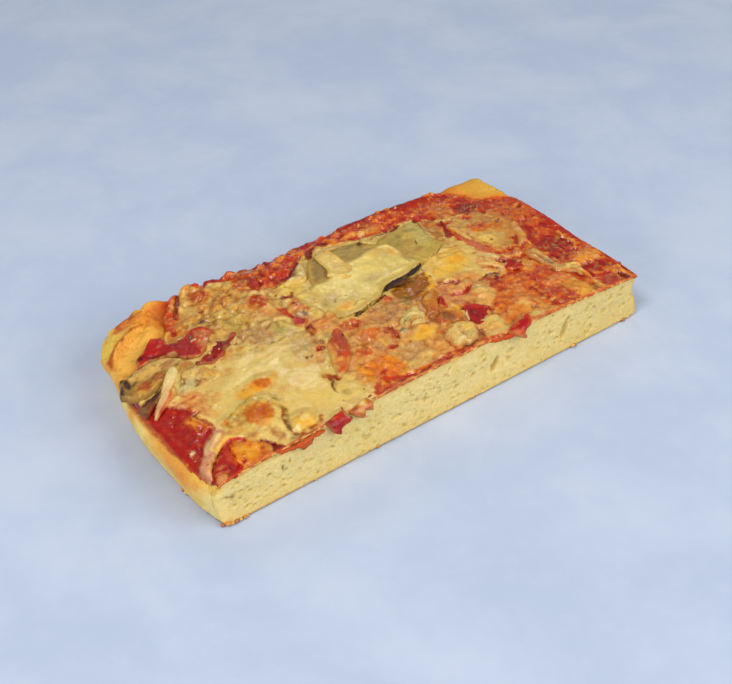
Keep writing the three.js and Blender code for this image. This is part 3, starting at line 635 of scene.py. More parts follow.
T.z("redbr", [(82, -41), (88, -39), (90, -42), (86, -47), (81, -48)], .7, 1, .3)
T.l("peach", [(85, -40), (91, -41.5), (94, -44)], 1.6, .7, .6, .3)
T.l("orangelt", [(92, -43), (90.5, -48), (91, -50.5)], 1.8, .85, .5, .2)
T.l("orangelt", [(97, -42), (95.6, -48), (95.5, -51)], 1.8, .85, .5, .2)
T.e("saucedk", 93.4, -47, 1.7, 3, 0, .85, .5, .3)
T.l("sauce", [(100, -39.5), (98, -42), (97.6, -48)], 1.6, .7, .6, .3)
T.z("sauce", [(76.5, -31), (79, -32), (80, -36), (78, -39), (76, -36)], .9, .7, .1)
T.l("saucedk", [(78, -31), (77, -34)], 1.4, .7, .6, .3)
# pale melted piece between the red pools
T.z("olive", [(70, -12), (76, -12), (77, -20), (78, -28), (82, -31), (82, -36), (79, -35), (76, -30), (72, -28), (71, -20)], .55, 1.2, .2)
T.l("cream", [(77, -13), (77.4, -20), (77, -27), (79, -30)], 2.2, .75, .5, .2)
T.l("cream", [(79, -29.5), (82, -30.5), (83, -33), (81, -36.5)], 2.0, .9, .4, .2)
T.l("creamgrey", [(71.5, -13), (72.5, -18), (74, -22)], 1.6, .8, .5, .2)
T.l("brown", [(72.6, -14), (74, -20), (74.6, -25)], 1.8, .6, .6, .3)
T.e("grey", 74.7, -23.8, 1.3, 2.4, 10, .8, .5, .2)
T.e("olivedk", 74.8, -26, 1.2, .8, 0, .7, .5, .2)
T.e("cream", 74.5, -29.5, 3, 1.4, 0, .7, .5, .2)
T.l("amberdk", [(72.8, -27), (71.6, -29.5)], 1.4, .8, .5, .2)
# warm cheese between
T.z("yellow", [(28, -8), (33, 0), (42, 5), (50, 8), (56, 8), (54, -2), (50, -8), (44, -14), (38, -14), (32, -12)], .6, 2.5)
T.z("cream", [(50, 12), (56, 8), (57, -4), (52, -10), (44, -14), (38, -16), (34, -12), (44, -6), (50, 0)], .6, 2.5, .1)
T.e("orangelt", 44, -2, 6, 4, 20, .5, .7)
T.e("yellow", 35, -5, 5, 4, 0, .55, .7)
T.e("orangelt", 38, -7, 3, 1.8, 10, .35, .7)
T.e("grey", 50, 5.4, 1, .8, 0, .6, .6, .3)
T.e("orangebr", 53.6, -3, 1.4, .9, 20, .7, .5, .3)
T.l("tan", [(48, 10), (52, 9), (56, 10)], 2.4, .5, .6, .3)
T.z("white", [(50, -7), (58, -6), (60, -12), (57, -18), (51, -17), (48, -12)], .55, 1.6, .5)
T.e("redpink", 52, -8, 3.4, 1.8, 30, .5, .6, .4)
T.e("redpink", 56, -11, 2, 3, 0, .45, .6, .5)
T.e("brown", 51, -12.5, 1.6, .6, 20, .5, .6, .4)
T.l("sauce", [(58, -12.5), (62, -16), (60, -20)], 3.4, .8, .5, .2)
T.e("pinkish", 63.6, -16.4, 1.5, .8, 20, .8, .5, .2)
T.l("redbr", [(64, -14), (67, -15), (69, -15)], 2.4, .75, .5, .3)
T.e("redpink", 54, -19, 5, 2, 0, .5, .6, .4)
T.l("dkbrown", [(42, -18.8), (46, -17.8), (49, -18)], .9, .75, .6, .2)
T.e("dkbrown", 50.4, -18.9, .9, 1.2, 30, .9, .5, .1)
T.e("pinkgrey", 46, -20.5, 5, 2, 5, .6, .6, .2)
T.e("redpink", 47, -23.5, 5, 2.4, 0, .6, .6, .4)
T.e("redbr", 44, -28, 3.5, 2, 20, .4, .7, .5)
T.e("redpink", 57, -27, 5, 3.6, 0, .45, .6, .4)
T.e("redorange", 64, -30, 6, 3.4, 0, .6, .6, .4)
T.e("orangebr", 67, -27, 4, 3, 0, .5, .6, .4)
T.e("cream", 65, -23.5, 5.5, 1.6, 0, .5, .7, .3)
T.e("gold", 69.5, -21.5, 2.2, 1.6, 0, .6, .6, .3)
T.e("peach", 72, -34, 3.6, 4, 0, .7, .6, .2)
T.e("redpink", 66, -35, 4, 2.6, 0, .45, .6, .4)
T.e("gold", 73, -40, 3, 3.6, 0, .5, .6, .3)
T.e("orange", 52, -33, 4, 3, 0, .45, .6, .4)
T.e("orangebr", 40, -35, 5, 4, 10, .85, .5, .2)
T.e("redorange", 37, -36, 2.4, 1.8, 0, .5, .6, .3)
T.e("tan", 48, -36, 4, 3, 0, .4, .6, .3)
T.e("cream", 46.5, -42.5, 2.6, 4, 0, .75, .5, .2)
T.e("cream", 51, -45, 2.4, 2.8, 0, .6, .6, .3)
T.e("orange", 56, -38.5, 2.4, 2.8, 0, .5, .6, .3)
T.l("redorange", [(56, -35), (56.4, -39), (57, -43)], 1.6, .75, .5, .3)
T.e("redorange", 62, -42, 4, 3.6, 0, .6, .6, .4)
T.e("redorange", 59, -47.5, 3.4, 2.6, 0, .7, .6, .4)
T.e("yellow", 71, -46.6, 4.4, 1.8, 0, .9, .5, .2)
T.e("olivedk", 76.4, -47, 2, 1.2, 30, .7, .5, .3)
T.e("redbr", 78, -42, 2.6, 3.6, 0, .6, .6, .3)
T.e("red", 65, -48, 2, 1.6, 0, .5, .6, .4)
T.l("redorange", [(58, -50), (66, -50), (76, -50), (88, -50)], 2, .65, .6, .5)
# below the aubergine
T.z("pinkgrey", [(-10, -9.5), (0, -8), (4, -7), (14, -8), (12, -13), (8, -17), (0, -18), (-4, -14)], .75, 1.6, .2)
T.e("creamgrey", -1.5, -14, 2.4, 4, 10, .5, .6, .2)
T.e("redpink", 4.8, -7.6, 1.7, 1.9, 0, .9, .5, .1)
T.e("redpink", 12.6, -6.4, 1.8, 1, 10, .8, .5, .2)
T.z("amberdk", [(9, -5), (26, -2), (27, -5), (24, -9), (16, -12), (10, -11)], .7, 1.3, .2)
T.e("olive", 12, -10.5, 3, 2, 20, .6, .6, .2)
T.e("dkbrown", 15.5, -7, 2.2, 1.4, 0, .65, .6, .3)
T.l("olivedk", [(7, -16.8), (11, -14.5), (14, -11)], 1.1, .7, .6, .2)
T.e("brown", 22, -6.5, 3, 2, 20, .5, .6, .3)
T.l("yellow", [(17, -12.8), (21, -12), (25, -8), (27, -3)], 2.4, .85, .5, .1)
T.e("gold", 23, -14, 3.6, 2.6, 20, .75, .5, .1)
T.e("orangelt", -11.5, -.8, 3.6, 3, 0, .85, .5, .1)
T.e("gold", -16.5, -2.5, 3.4, 2, 10, .6, .6, .2)
T.e("orangebr", -22, -4, 5, 2.6, 10, .85, .5, .25)
T.e("tan", -24, -7, 3, 1.6, 20, .5, .6, .3)
T.e("redbr", -16.4, -13, 1.7, 2.2, 0, .85, .5, .3)
T.e("redpink", -14.4, -10.6, 2.2, 1.8, 20, .7, .5, .3)
T.e("orangebr", -4.4, -11, 2.8, 2, 0, .75, .5, .2)
T.e("orangebr", -12.4, -21, 3.6, 2.8, 10, .9, .45, .1)
T.e("brown", -13, -20.4, 1.8, 1.3, 0, .5, .6, .2)
T.e("orangebr", -17, -22.5, 2.2, 1.2, 30, .5, .6, .3)
T.e("gold", -13, -27, 2.6, 2.6, 0, .6, .6, .2)
T.e("orangebr", -21.5, -28.2, 2.9, 2.4, 0, .95, .4, .1)
T.e("brown", -21.6, -27.6, 1.6, 1.2, 0, .5, .6, .2)
T.l("sauce", [(-7, -21.5), (-6, -25.5), (-6.6, -29)], (1.6, 3.4, 2), .85, .5, .3)
T.e("redpink", -8, -28.5, 1.6, 1.4, 0, .6, .6, .3)
T.e("grey", -1.6, -26, 1.6, 1.1, 20, .8, .5, .3)
T.l("olivedk", [(-3, -25.5), (-.5, -27.4)], .9, .7, .6, .3)
T.e("sauce", -10.8, -32.2, 1.8, 1.1, 0, .85, .5, .5)
T.e("redpink", -12.5, -32, 2.6, 1.3, 0, .6, .6, .4)
T.e("redpink", -4, -37.5, 1.8, 1, 20, .6, .6, .4)
T.e("redpink", -17, -33.6, 3, 1.4, 10, .5, .6, .3)
T.e("yellow", 4, -32, 4.4, 3.4, 10, .8, .5, .1)
T.e("yellow", -3, -33, 3, 2.2, 10, .6, .6, .2)
T.e("creamlt", 2, -30, 2, 1, 20, .5, .6, .2)
T.e("orangebr", 8.4, -36.4, 1.9, 1.6, 20, .8, .5, .2)
T.e("peach", 2.5, -38.5, 3.4, 1.8, 10, .55, .6, .2)
T.e("cream", -8, -44, 7, 2.6, 0, .65, .6, .2)
T.e("cream", -24, -47, 4, 2, 0, .35, .6, .2)
T.e("tan", -3, -41, 5, 1.6, 20, .5, .6, .3)
T.e("orangelt", 1, -44.5, 3, 1.6, 0, .5, .6, .3)
T.e("redbr", -24.6, -43, 3, 2, 25, .85, .5, .4)
T.e("orange", -19, -37, 3.4, 2, 0, .6, .6, .3)
T.e("red", -17.8, -37.2, .8, 1, 20, .6, .5, .2)
T.l("redorange", [(-30, -46.4), (-22, -47), (-14, -48), (-6, -48.6), (2, -49)], 2.6, .7, .6, .5)
T.e("redorange", 4, -48.4, 4, 2, 0, .8, .6, .3)
T.e("dkbrown", 10, -47, 1.8, .9, 0, .75, .6, .3)
T.e("brown", 14, -47.4, 5, 1.2, 0, .6, .6, .4)
T.e("redbr", 6.6, -44.6, 1.2, 1.6, 0, .6, .6, .3)
T.e("orangebr", 24, -49.6, 4, 1.4, 0, .6, .6, .3)
# around the deep red pepper near the cut
T.z("pinkish", [(23, -12), (27, -11), (32, -14), (40, -16), (42, -22), (42, -28), (36, -33), (32, -31), (24, -27), (22, -20)], .85, 1.2, .1)
T.e("pinkgrey", 25, -23, 2, 4, 0, .5, .6, .1)
T.e("cream", 37, -28, 4.4, 3.4, 20, .6, .6, .1)
T.e("redbr", 30.5, -14, 2.4, 1.5, 10, .9, .5, .2)
T.e("redbr", 36, -13.2, 1.8, 1.3, 0, .8, .5, .2)
T.l("redpink", [(25, -14), (26.5, -11.6), (29, -12)], 2.2, .8, .5, .2)
T.e("creamlt", 32, -12, 1.4, 1.8, 0, .8, .5, .2)
T.l("redbr", [(28.6, -21.4), (32, -22.6), (37, -20.6)], (2.2, 2.4, 1.6), .85, .5, .2)
T.e("cream", 27.5, -43, 4, 4, 0, .8, .5, .1)
T.e("tan", 24, -38, 1.6, 3, 0, .4, .6, .1)
T.e("orange", 36, -40, 4, 3, 0, .5, .6, .5)
T.e("redbr", 34, -44, 3.4, 1.8, 0, .45, .6, .5)
T.e("olive", 40, -46, 3, 1, 10, .5, .6, .3)
# painted highlight along the left edge of the deep red pepper
T.e("white", 22.6, -33, 1, 2, 10, .6, .5, .2)


# cheese thickness over the tomato in mm, wetness 0..1 and how far the tomato shows through in flecks, for each colour
KIND = dict(
    cream=(1.5, .5, .06), creamlt=(1.8, .5, .0), creamgrey=(1.2, .6, .1), yellowcream=(1.6, .5, .04), pinkish=(1.2, .5, .4),
    pinkgrey=(.9, .6, .3), peach=(1.0, .5, .5), tan=(1.1, .4, .3), orange=(.6, .6, .55), orangelt=(1.0, .5, .35),
    orangebr=(1.2, .5, .2), brown=(1.1, .45, .0), dkbrown=(.8, .4, .0), sauce=(-.7, .9, .0), saucedk=(-.8, .9, .0),
    red=(-.3, .9, .0), redbr=(-.1, .8, .2), redorange=(.35, .7, .9), redpink=(.6, .7, .5), olive=(1.0, .6, .1),
    olivedk=(.8, .6, .0), black=(.5, .5, .0), yellow=(1.5, .5, .05), green=(1.3, .5, .1), gold=(1.2, .5, .1),
    goldlt=(1.2, .4, .05), pale=(1.0, .4, .1), white=(1.6, .5, .0), grey=(1.0, .5, .1), amber=(.9, .8, .1), amberdk=(.6, .8, .0),
)


# how lumpy the melted cheese is: 0 smooth, 1 shreds and curds
POOL = Marks()
POOL.z(1.0, [(-84, -8), (-70, -3), (-60, -2), (-50, -4), (-40, -8), (-36, -20), (-40, -34), (-44, -46), (-56, -47), (-62, -38), (-62, -26), (-74, -20), (-84, -16)], 1, 4)
LUMPY = Marks()
C = LUMPY
C.z(.75, [(-66, 50), (-68, 8), (-60, 2), (-34, 3), (-18, 20), (-28, 34), (-36, 48)], 1, 3)
C.z(.45, [(-36, 14), (-16, 10), (-12, -8), (12, -10), (40, -14), (40, -34), (20, -48), (-30, -46), (-33, -10)], 1, 3)
C.z(.55, [(36, -12), (50, -16), (60, -12), (78, -8), (84, 10), (104, 26), (104, -54), (34, -54)], 1, 3)
C.z(.6, [(-38, 54), (-37, 33), (-28, 27), (6, 34), (30, 32), (55, 27), (80, 20), (101, 24), (101, 54)], 1, 3)
C.z(.35, [(-88, -2), (-70, 2), (-66, -6), (-80, -12), (-88, -10)], 1, 2)
C.z(.4, [(-84, -34), (-72, -38), (-50, -40), (-50, -52), (-86, -52)], 1, 2)

# ---- second pass: what runs between the big features
# upper left, by the crust end
T.z("tan", [(-66, 46), (-56, 48), (-46, 47), (-40, 40), (-36, 28), (-30, 18), (-34, 6), (-50, 4), (-58, 14), (-62, 26), (-68, 34)], .55, 2, .3)
T.l("redorange", [(-56, 50), (-59.5, 44), (-63, 38), (-66.5, 32), (-68, 28)], (3.0, 3.6, 3.4, 2.6), .8, .5, .3)
T.l("saucedk", [(-58, 46), (-61.5, 40), (-65.5, 33.5)], 1.3, .7, .6, .4)
T.e("yellowcream", -54, 44, 4, 3, 30, .5, .6, .2)
T.e("orangebr", -50, 40, 4, 4.4, 0, .85, .5, .2)
T.e("brown", -51, 41, 2, 2.2, 0, .5, .6, .3)
T.e("orangebr", -53.4, 33, 2.6, 2.2, 20, .55, .6, .4)
T.e("brown", -44.6, 32.4, 2.8, 1.8, 20, .75, .5, .4)
T.e("olivedk", -46.6, 30.6, 1.4, .9, 0, .7, .5, .4)
T.e("dkbrown", -42, 30.8, .8, .7, 0, .6, .5, .4)
T.e("creamlt", -39, 41, 3, 3.4, 0, .5, .6, .2)
T.e("yellowcream", -41, 36, 3, 2.4, 0, .6, .6, .2)
T.e("redpink", -35.6, 45, 2.6, 2, 0, .8, .5, .3)
T.e("redpink", -33, 48.4, 2.0, 1.6, 0, .8, .5, .3)
T.e("red", -38.6, 47.6, 2.4, 1.2, 0, .8, .5, .3)
T.e("red", -43.6, 47.8, 2.6, 1.4, 10, .8, .5, .3)
T.z("olivedk", [(-62, 27), (-56, 28), (-52.6, 24), (-54, 19), (-58, 21), (-62, 23)], .55, 1.4, .7)
T.e("dkbrown", -58, 25, 2.4, 1, 20, .7, .5, .7)
T.e("dkbrown", -64.6, 26.4, 1.6, .9, 0, .75, .5, .5)
T.e("brown", -55, 21.4, 1.8, 1.4, 0, .6, .5, .5)
T.e("green", -47.6, 22, 5, 3.4, -20, .6, .6, .3)
# these two white lines are painted highlights on the yellow-green fold
T.l("white", [(-50.4, 25), (-47.6, 23.4), (-45.6, 21)], .9, .7, .5, .4)
T.l("white", [(-46, 25.6), (-43.8, 23.4)], .7, .6, .5, .4)
T.e("orangebr", -36, 22, 4.6, 4.0, 30, .9, .45, .15)
T.e("brown", -35.4, 23, 2.4, 1.8, 20, .55, .6, .3)
T.e("peach", -41, 18, 3, 2.4, 0, .6, .6, .4)
T.e("pinkish", -29, 26, 3.4, 4, 0, .7, .6, .3)
T.l("sauce", [(-28.4, 20), (-26, 17.4), (-23.4, 16.4), (-21.6, 18.4)], 1.8, .85, .5, .3)
T.l("saucedk", [(-27, 18), (-24.6, 16.6)], 1.0, .8, .5, .3)
T.z("yellowcream", [(-27, 24), (-20, 26), (-16, 22), (-19, 10), (-20, 0), (-24, -2), (-24, 6), (-22.6, 16)], .75, 1.6, .2)
T.z("redpink", [(-27, 14), (-23, 14), (-21.6, 9), (-22.6, 4), (-26, 6), (-27.4, 10)], .65, 1.2, .5)
# painted glint
T.e("white", -24.8, 10.4, .9, .5, 30, .8, .5, .3)
T.e("red", -25.6, 12.4, 1.2, .8, 0, .8, .5, .4)
T.e("pinkish", -37, 13.6, 3.4, 3, 0, .8, .6, .3)
T.e("creamlt", -39.4, 11, 2.6, 1.4, -30, .5, .6, .3)
T.e("pinkish", -51.6, 14, 3, 3.6, 0, .55, .6, .4)
T.z("pinkgrey", [(-53, 9), (-46, 11), (-40, 8), (-39, 3), (-44, -2), (-51, 0)], .8, 2, .3)
T.e("olivedk", -46.6, 5.6, 4.4, 3, 20, .34, .7, .5)
T.e("creamlt", -45, 8.4, 2.2, .9, 20, .5, .6, .3)
T.e("green", -37.4, 3.4, 3.6, 4.4, 0, .6, .7, .2)
T.e("olive", -52, -2.4, 3, 2, 0, .6, .6, .5)
T.l("olivedk", [(-45.4, -2.4), (-42.6, -3.4), (-39.6, -2.8)], 1.1, .6, .5, .6)
T.e("tan", -62, 1, 3.6, 2.4, 0, .5, .6, .3)
T.e("creamlt", -61, -4, 4, 2.2, 10, .5, .7, .1)
T.e("tan", -66, -6, 3, 3, 0, .5, .7, .4)
# the smooth pool
T.e("creamlt", -66, -12, 8, 4, 10, .55, .8)
T.e("creamlt", -52, -12, 9, 4, 10, .5, .8)
T.e("yellowcream", -46, -36, 8, 8, 0, .5, .8)
T.e("pinkish", -77, -14, 4.4, 3.4, 20, .55, .7, .3)
T.e("pinkish", -82, -19, 2.6, 4, 10, .6, .7, .4)
T.e("redpink", -81, -9, 2.2, 1.2, 20, .7, .5, .5)
T.e("peach", -55, -26.6, 3.4, 2.4, 0, .45, .7, .2)
T.z("pinkish", [(-42, -10), (-33, -9), (-31, -16), (-36, -24), (-42, -22)], .6, 2, .3)
T.z("pinkgrey", [(-37, -4), (-30, -5), (-30, -12), (-35, -14), (-40, -10)], .75, 1.6, .3)
T.e("red", -33.6, -17.2, 1.7, 1.0, 20, .9, .5, .3)
T.e("saucedk", -36.2, -15.4, 1.2, .8, 0, .75, .5, .4)
T.e("sauce", -30.4, -14, 1.0, 1.4, 0, .8, .5, .3)
T.l("brown", [(-39.4, -31), (-38.2, -33.6)], 1.8, .7, .5, .4)
T.l("dkbrown", [(-41.6, -38), (-41.2, -36), (-40, -34)], .8, .85, .5, .3)
# red bits in the near left corner
T.e("redorange", -86, -44, 2.4, 5.6, 0, .7, .6, .6)
T.e("goldlt", -80.6, -46.4, 3.4, 2.2, 20, .5, .6, .3)
T.l("saucedk", [(-75, -44), (-73.6, -47), (-71, -49.6)], 1.6, .8, .5, .4)
T.e("pinkgrey", -70, -43.4, 1.6, 3.4, 0, .65, .6, .3)
T.l("saucedk", [(-72, -49.6), (-67, -50.4), (-62, -50.4), (-57, -49.8)], 2.2, .85, .5, .3)
T.e("olivedk", -58.6, -48.8, 2.4, 1.2, 0, .7, .6, .4)
T.l("olivedk", [(-63, -37), (-64.8, -41), (-65.4, -45)], 1.6, .5, .6, .3)
T.e("creamlt", -67.4, -46.4, 2.2, 2.6, 10, .6, .6, .2)
T.e("orangelt", -78.4, -33, 2.4, 1.6, 30, .6, .6, .3)
# the pinkish middle
T.e("redorange", -26, -6.6, 4.4, 2.6, 10, .85, .5, .3)
T.e("orangebr", -24, -5.4, 2.4, 1.6, 0, .6, .5, .3)
T.z("redpink", [(-20, -9), (-13, -9.6), (-11, -14), (-16, -16), (-20, -14)], .75, 1.4, .4)
# painted glint
T.e("white", -15.6, -11.6, .8, .5, 20, .85, .5)
T.e("red", -15, -13.6, 1.6, 1.2, 0, .7, .5, .4)
T.z("pinkgrey", [(-8, -10), (0, -8), (6, -10), (4, -16), (-4, -20), (-9, -16)], .75, 2, .3)
T.e("creamgrey", 1, -12, 3.4, 2.6, 0, .5, .7, .3)
T.e("orangebr", -13.6, -20.6, 3.6, 3.2, 0, .9, .45, .15)
T.e("red", -7.6, -23.6, 1.8, 1.6, 30, .85, .5, .3)
T.e("sauce", -5.6, -25.4, 1.4, 1.2, 0, .8, .5, .3)
T.e("redorange", -21.8, -28.6, 3.2, 2.6, 10, .95, .4, .1)
# painted glint on the blister
T.e("white", -22.8, -27.6, .5, .4, 0, .8, .5)
T.e("pinkgrey", -15, -28.6, 4, 3, 0, .55, .7, .3)
T.e("red", -12, -31.8, 1.3, .8, 20, .85, .5, .3)
T.e("red", -9.4, -30.4, .9, .6, 0, .7, .5, .3)
T.e("peach", -26, -22, 3, 3.4, 0, .6, .6, .4)
T.z("orange", [(-28, -36), (-24, -33.6), (-17, -34), (-12.6, -37), (-13.6, -42), (-18, -45), (-26, -44)], .85, 1.0, .3)
T.e("redorange", -21, -37, 3.4, 1.8, 20, .6, .6, .7)
T.z("redbr", [(-26, -43), (-22, -41.6), (-19, -43), (-20.6, -46.6), (-26, -47)], .9, .8, .3)
T.e("goldlt", -16.4, -37.6, 2.2, 2, 0, .5, .6, .3)
T.z("pinkgrey", [(-12, -34), (-4, -33), (0, -38), (-3, -44), (-10, -44), (-13, -39)], .65, 2, .3)
T.e("yellow", 1, -33, 4.6, 3.4, 0, .8, .6, .15)
T.e("orangelt", 3, -31.6, 2.2, 1.6, 0, .6, .6, .2)
T.e("cream", -5, -41.6, 3.4, 2.4, 0, .6, .7, .2)
T.e("peach", -1, -45, 3.4, 1.6, 0, .6, .6, .3)
# the run of tomato at the near cut
T.l("redorange", [(-32, -48.4), (-27, -48), (-20, -47.6), (-12, -48.2), (-4, -48), (4, -48), (12, -48.4)], (1.6, 2.8, 2.2, 2.0, 1.6, 2.2, 2.6), .92, .4, .25)
T.l("saucedk", [(-30, -49), (-24, -48.4), (-14, -48.8), (-2, -48.8), (6, -48.8), (14, -48.8)], .9, .75, .5, .5)
T.z("redorange", [(8, -46), (12, -47), (18, -46.4), (24, -49), (18, -50.6), (10, -50.4)], .85, .8, .4)
T.e("dkbrown", 10.4, -47, 1.0, .7, 0, .8, .5, .4)
T.e("dkbrown", 19.2, -46.4, .8, 1.4, 20, .7, .5, .3)
T.l("redbr", [(44, -49.2), (54, -49.6), (64, -49.8), (76, -50), (90, -50.2), (98, -50.4)], 1.1, .8, .5, .5)
# brown and amber below the big slice
T.z("amberdk", [(8, -5), (14, -3.6), (22, -3), (27, -2), (27.6, -6), (22, -11), (16, -13.4), (10, -12), (8, -9)], .9, 1.2, .2)
T.e("dkbrown", 17, -4.6, 4.6, 1.8, 10, .8, .6, .3)
T.e("olivedk", 11.6, -10.4, 3.4, 3, 0, .7, .6, .4)
T.e("olive", 9, -14, 2.4, 2, 0, .7, .6, .3)
T.e("amber", 22.6, -8.6, 2.6, 2.6, 0, .8, .6, .2)
T.l("gold", [(27.6, -3), (26.4, -7), (24, -11), (20, -14)], (1.4, 2.2, 2.2, 1.6), .85, .5, .2)
T.l("creamlt", [(28.2, -4), (27.4, -8), (25.4, -12)], 1.0, .7, .5, .3)
T.e("red", 12, -6.2, .9, .7, 0, .85, .5)
T.e("redpink", 3.6, -6.8, 2.2, 2, 0, .75, .6, .3)
T.e("tan", 1.6, -10, 2, 1.6, 0, .6, .6, .3)
# right of it: peppers under translucent cheese
T.z("pinkish", [(24, -14), (30, -10.6), (40, -11), (45, -15), (44, -24), (38, -30), (30, -28), (25, -22)], .7, 1.8, .25)
T.e("redpink", 26, -21, 1.6, 4, 20, .6, .6, .3)
T.e("red", 31, -13, 2.6, 1.2, -10, .9, .5, .4)
T.e("redbr", 34.6, -14.4, 1.6, 1.2, 0, .85, .5, .3)
T.e("creamlt", 31.4, -11.6, 2.4, .9, 0, .7, .5, .3)
T.l("redbr", [(26, -20.4), (30, -21.6), (34, -20.8), (37, -20)], (1.4, 2.2, 1.8, 1.0), .85, .45, .25)
T.e("cream", 38.4, -24.6, 4.2, 4, 0, .7, .7, .1)
T.e("pinkgrey", 26, -24, 2.4, 3, 0, .6, .7, .2)
T.l("black", [(42, -18.9), (45, -18.2), (49.4, -18.4), (50.6, -19.6)], .9, .9, .4, .2)
T.e("creamlt", 43.6, -10.6, 2, 1.2, -20, .6, .6, .3)
T.z("pinkish", [(49, -8), (54, -6), (57.6, -11), (57, -18), (51, -18), (48, -13)], .8, 1.4, .4)
T.l("creamlt", [(50, -9.6), (53, -12.6), (55.4, -16.6)], 1.2, .7, .5, .4)
T.l("creamlt", [(52.6, -8), (56, -11.6)], .9, .7, .5, .4)
T.e("redpink", 52, -14, 1.6, 1.4, 0, .7, .6, .4)
T.z("redorange", [(44, -22), (52, -20.6), (60, -21), (70, -22), (75, -30), (70, -36), (58, -38), (46, -33), (42, -27)], .8, 2, .2)
T.e("orangebr", 54, -25, 5, 3, 10, .5, .7, .3)
T.z("peach", [(41, -34), (50, -35), (55, -40), (53, -47), (44, -48), (40, -42)], .75, 1.8, .3)
T.e("cream", 47.6, -40, 4, 3.2, 20, .6, .7, .3)
T.e("creamlt", 45.6, -47.4, 2.8, 1.6, 0, .7, .5, .2)
T.e("cream", 27.4, -44, 4.4, 4, 0, .8, .6, .15)
T.e("creamgrey", 31, -42, 3, 2.4, 0, .5, .7, .2)
T.e("redorange", 37, -40, 2.6, 3.4, 10, .6, .6, .4)
T.e("pinkish", 41.4, -27, 2.6, 2, 0, .5, .6, .3)
T.l("saucedk", [(55.4, -34.6), (56, -38), (55.4, -41)], 1.6, .7, .5, .4)
T.z("redbr", [(56, -38), (62, -36), (68, -39), (69, -46), (60, -49), (54, -47)], .7, 1.8, .7)
T.e("orangelt", 61, -43, 2.4, 1.6, 0, .6, .6, .6)
T.e("gold", 71.6, -43.6, 3.2, 2.4, 20, .85, .5, .3)
T.e("yellow", 72.4, -45.6, 2.8, 1.4, 0, .7, .6, .3)
T.e("dkbrown", 75.6, -45.4, 1.8, .9, 20, .75, .5, .3)
T.e("peach", 66, -30, 3, 2, 0, .5, .7, .4)
T.e("redorange", 72, -33, 2.2, 3, 0, .6, .6, .4)
# the far right: tomato pools between pale seams
T.z("sauce", [(79, -11), (86, -10), (92, -11), (93.6, -17), (90, -24), (84, -29), (80, -26), (79, -18)], .92, 1.0, .12)
T.e("saucedk", 86, -17, 4.6, 5, 0, .5, .7, .4)
T.l("peach", [(80, -28.6), (85, -26.6), (91, -24.6), (96, -25)], 1.5, .8, .5, .3)
T.z("orange", [(85, -26), (97, -25), (97.6, -31), (90, -33), (84, -31)], .75, 1.0, .4)
T.z("sauce", [(82, -33), (88, -32.4), (95, -33.6), (96.4, -38), (90, -38.6), (84, -37)], .92, .8, .2)
T.l("peach", [(80.6, -36.6), (84.4, -40), (90, -41), (97, -41)], 1.4, .75, .5, .3)
T.z("redbr", [(84, -42), (91, -42), (92, -47), (86, -49), (82, -46)], .8, 1.2, .4)
T.e("saucedk", 92.6, -46.8, 2, 2.6, 20, .9, .5, .1)
T.l("peach", [(89.6, -44), (91, -47.6), (90.4, -49.4)], .9, .7, .5, .3)
T.e("saucedk", 78, -33.6, 1.5, 2.6, 10, .9, .5, .2)
T.l("cream", [(79, -38), (79.6, -42), (80.6, -47)], 1.6, .7, .5, .4)
T.l("peach", [(94.6, -8), (94, -14), (95.4, -20)], 1.3, .7, .5, .4)
T.l("orangelt", [(83, -2), (86, 4), (91, 9), (97, 13)], 1.2, .65, .5, .5)
T.l("sauce", [(80, -5), (84, 1), (89, 6), (96, 10)], 1.8, .7, .5, .4)
T.l("sauce", [(82, 12), (86, 16), (92, 19), (98, 20)], 2.0, .7, .5, .4)
T.l("orange", [(84, 9.6), (89, 12.4), (95, 15)], 1.2, .6, .5, .4)
T.z("saucedk", [(70, 32), (77, 32.6), (80, 29), (78, 25), (72, 25.4)], .75, 1.2, .4)
T.e("grey", 79.4, 28, 1.2, 2, 0, .5, .6, .3)
T.e("redpink", 74.6, 29, 1.6, 1.2, 0, .5, .6, .4)
# the pale round of cheese at the upper right
T.z("tan", [(56, 20), (62, 24), (72, 23), (80, 17), (83, 8), (81, -2), (75, -9), (66, -9), (62, -2), (59, 6)], .6, 2, .25)
T.e("yellowcream", 65, 3, 4.6, 6, 0, .55, .7, .1)
T.z("orangebr", [(62, 15), (68, 16), (76, 12), (77, 6), (70, 8), (64, 10)], .75, 1.2, .7)
T.e("redorange", 69, 12, 3.4, 1.2, 10, .7, .5, .6)
T.e("redorange", 75, -2.6, 2.6, 2, 0, .7, .6, .4)
T.l("brown", [(60, 14), (60.6, 5), (63.4, -3), (68, -8.6)], 1.0, .5, .6, .4)
T.l("orangebr", [(82, 14), (83.6, 6), (81, -3), (74, -10)], 1.3, .7, .5, .3)
T.l("redorange", [(60, -12), (64, -9), (70, -8), (75, -4)], 2.2, .65, .6, .4)
T.e("creamgrey", 72, 2.4, 2.6, 3, 0, .5, .6, .3)
# pale yellow lump in the middle right
T.z("goldlt", [(31, 2), (38, 5), (46, 3), (49, -3), (44, -8), (36, -9), (31, -5)], .75, 1.8, .15)
T.e("gold", 43, -2, 4.4, 3.4, 20, .7, .7, .15)
T.e("orangelt", 45, -2.6, 2.4, 2, 0, .5, .7, .2)
T.e("creamlt", 36, 1.6, 4, 2.6, 20, .4, .7, .1)
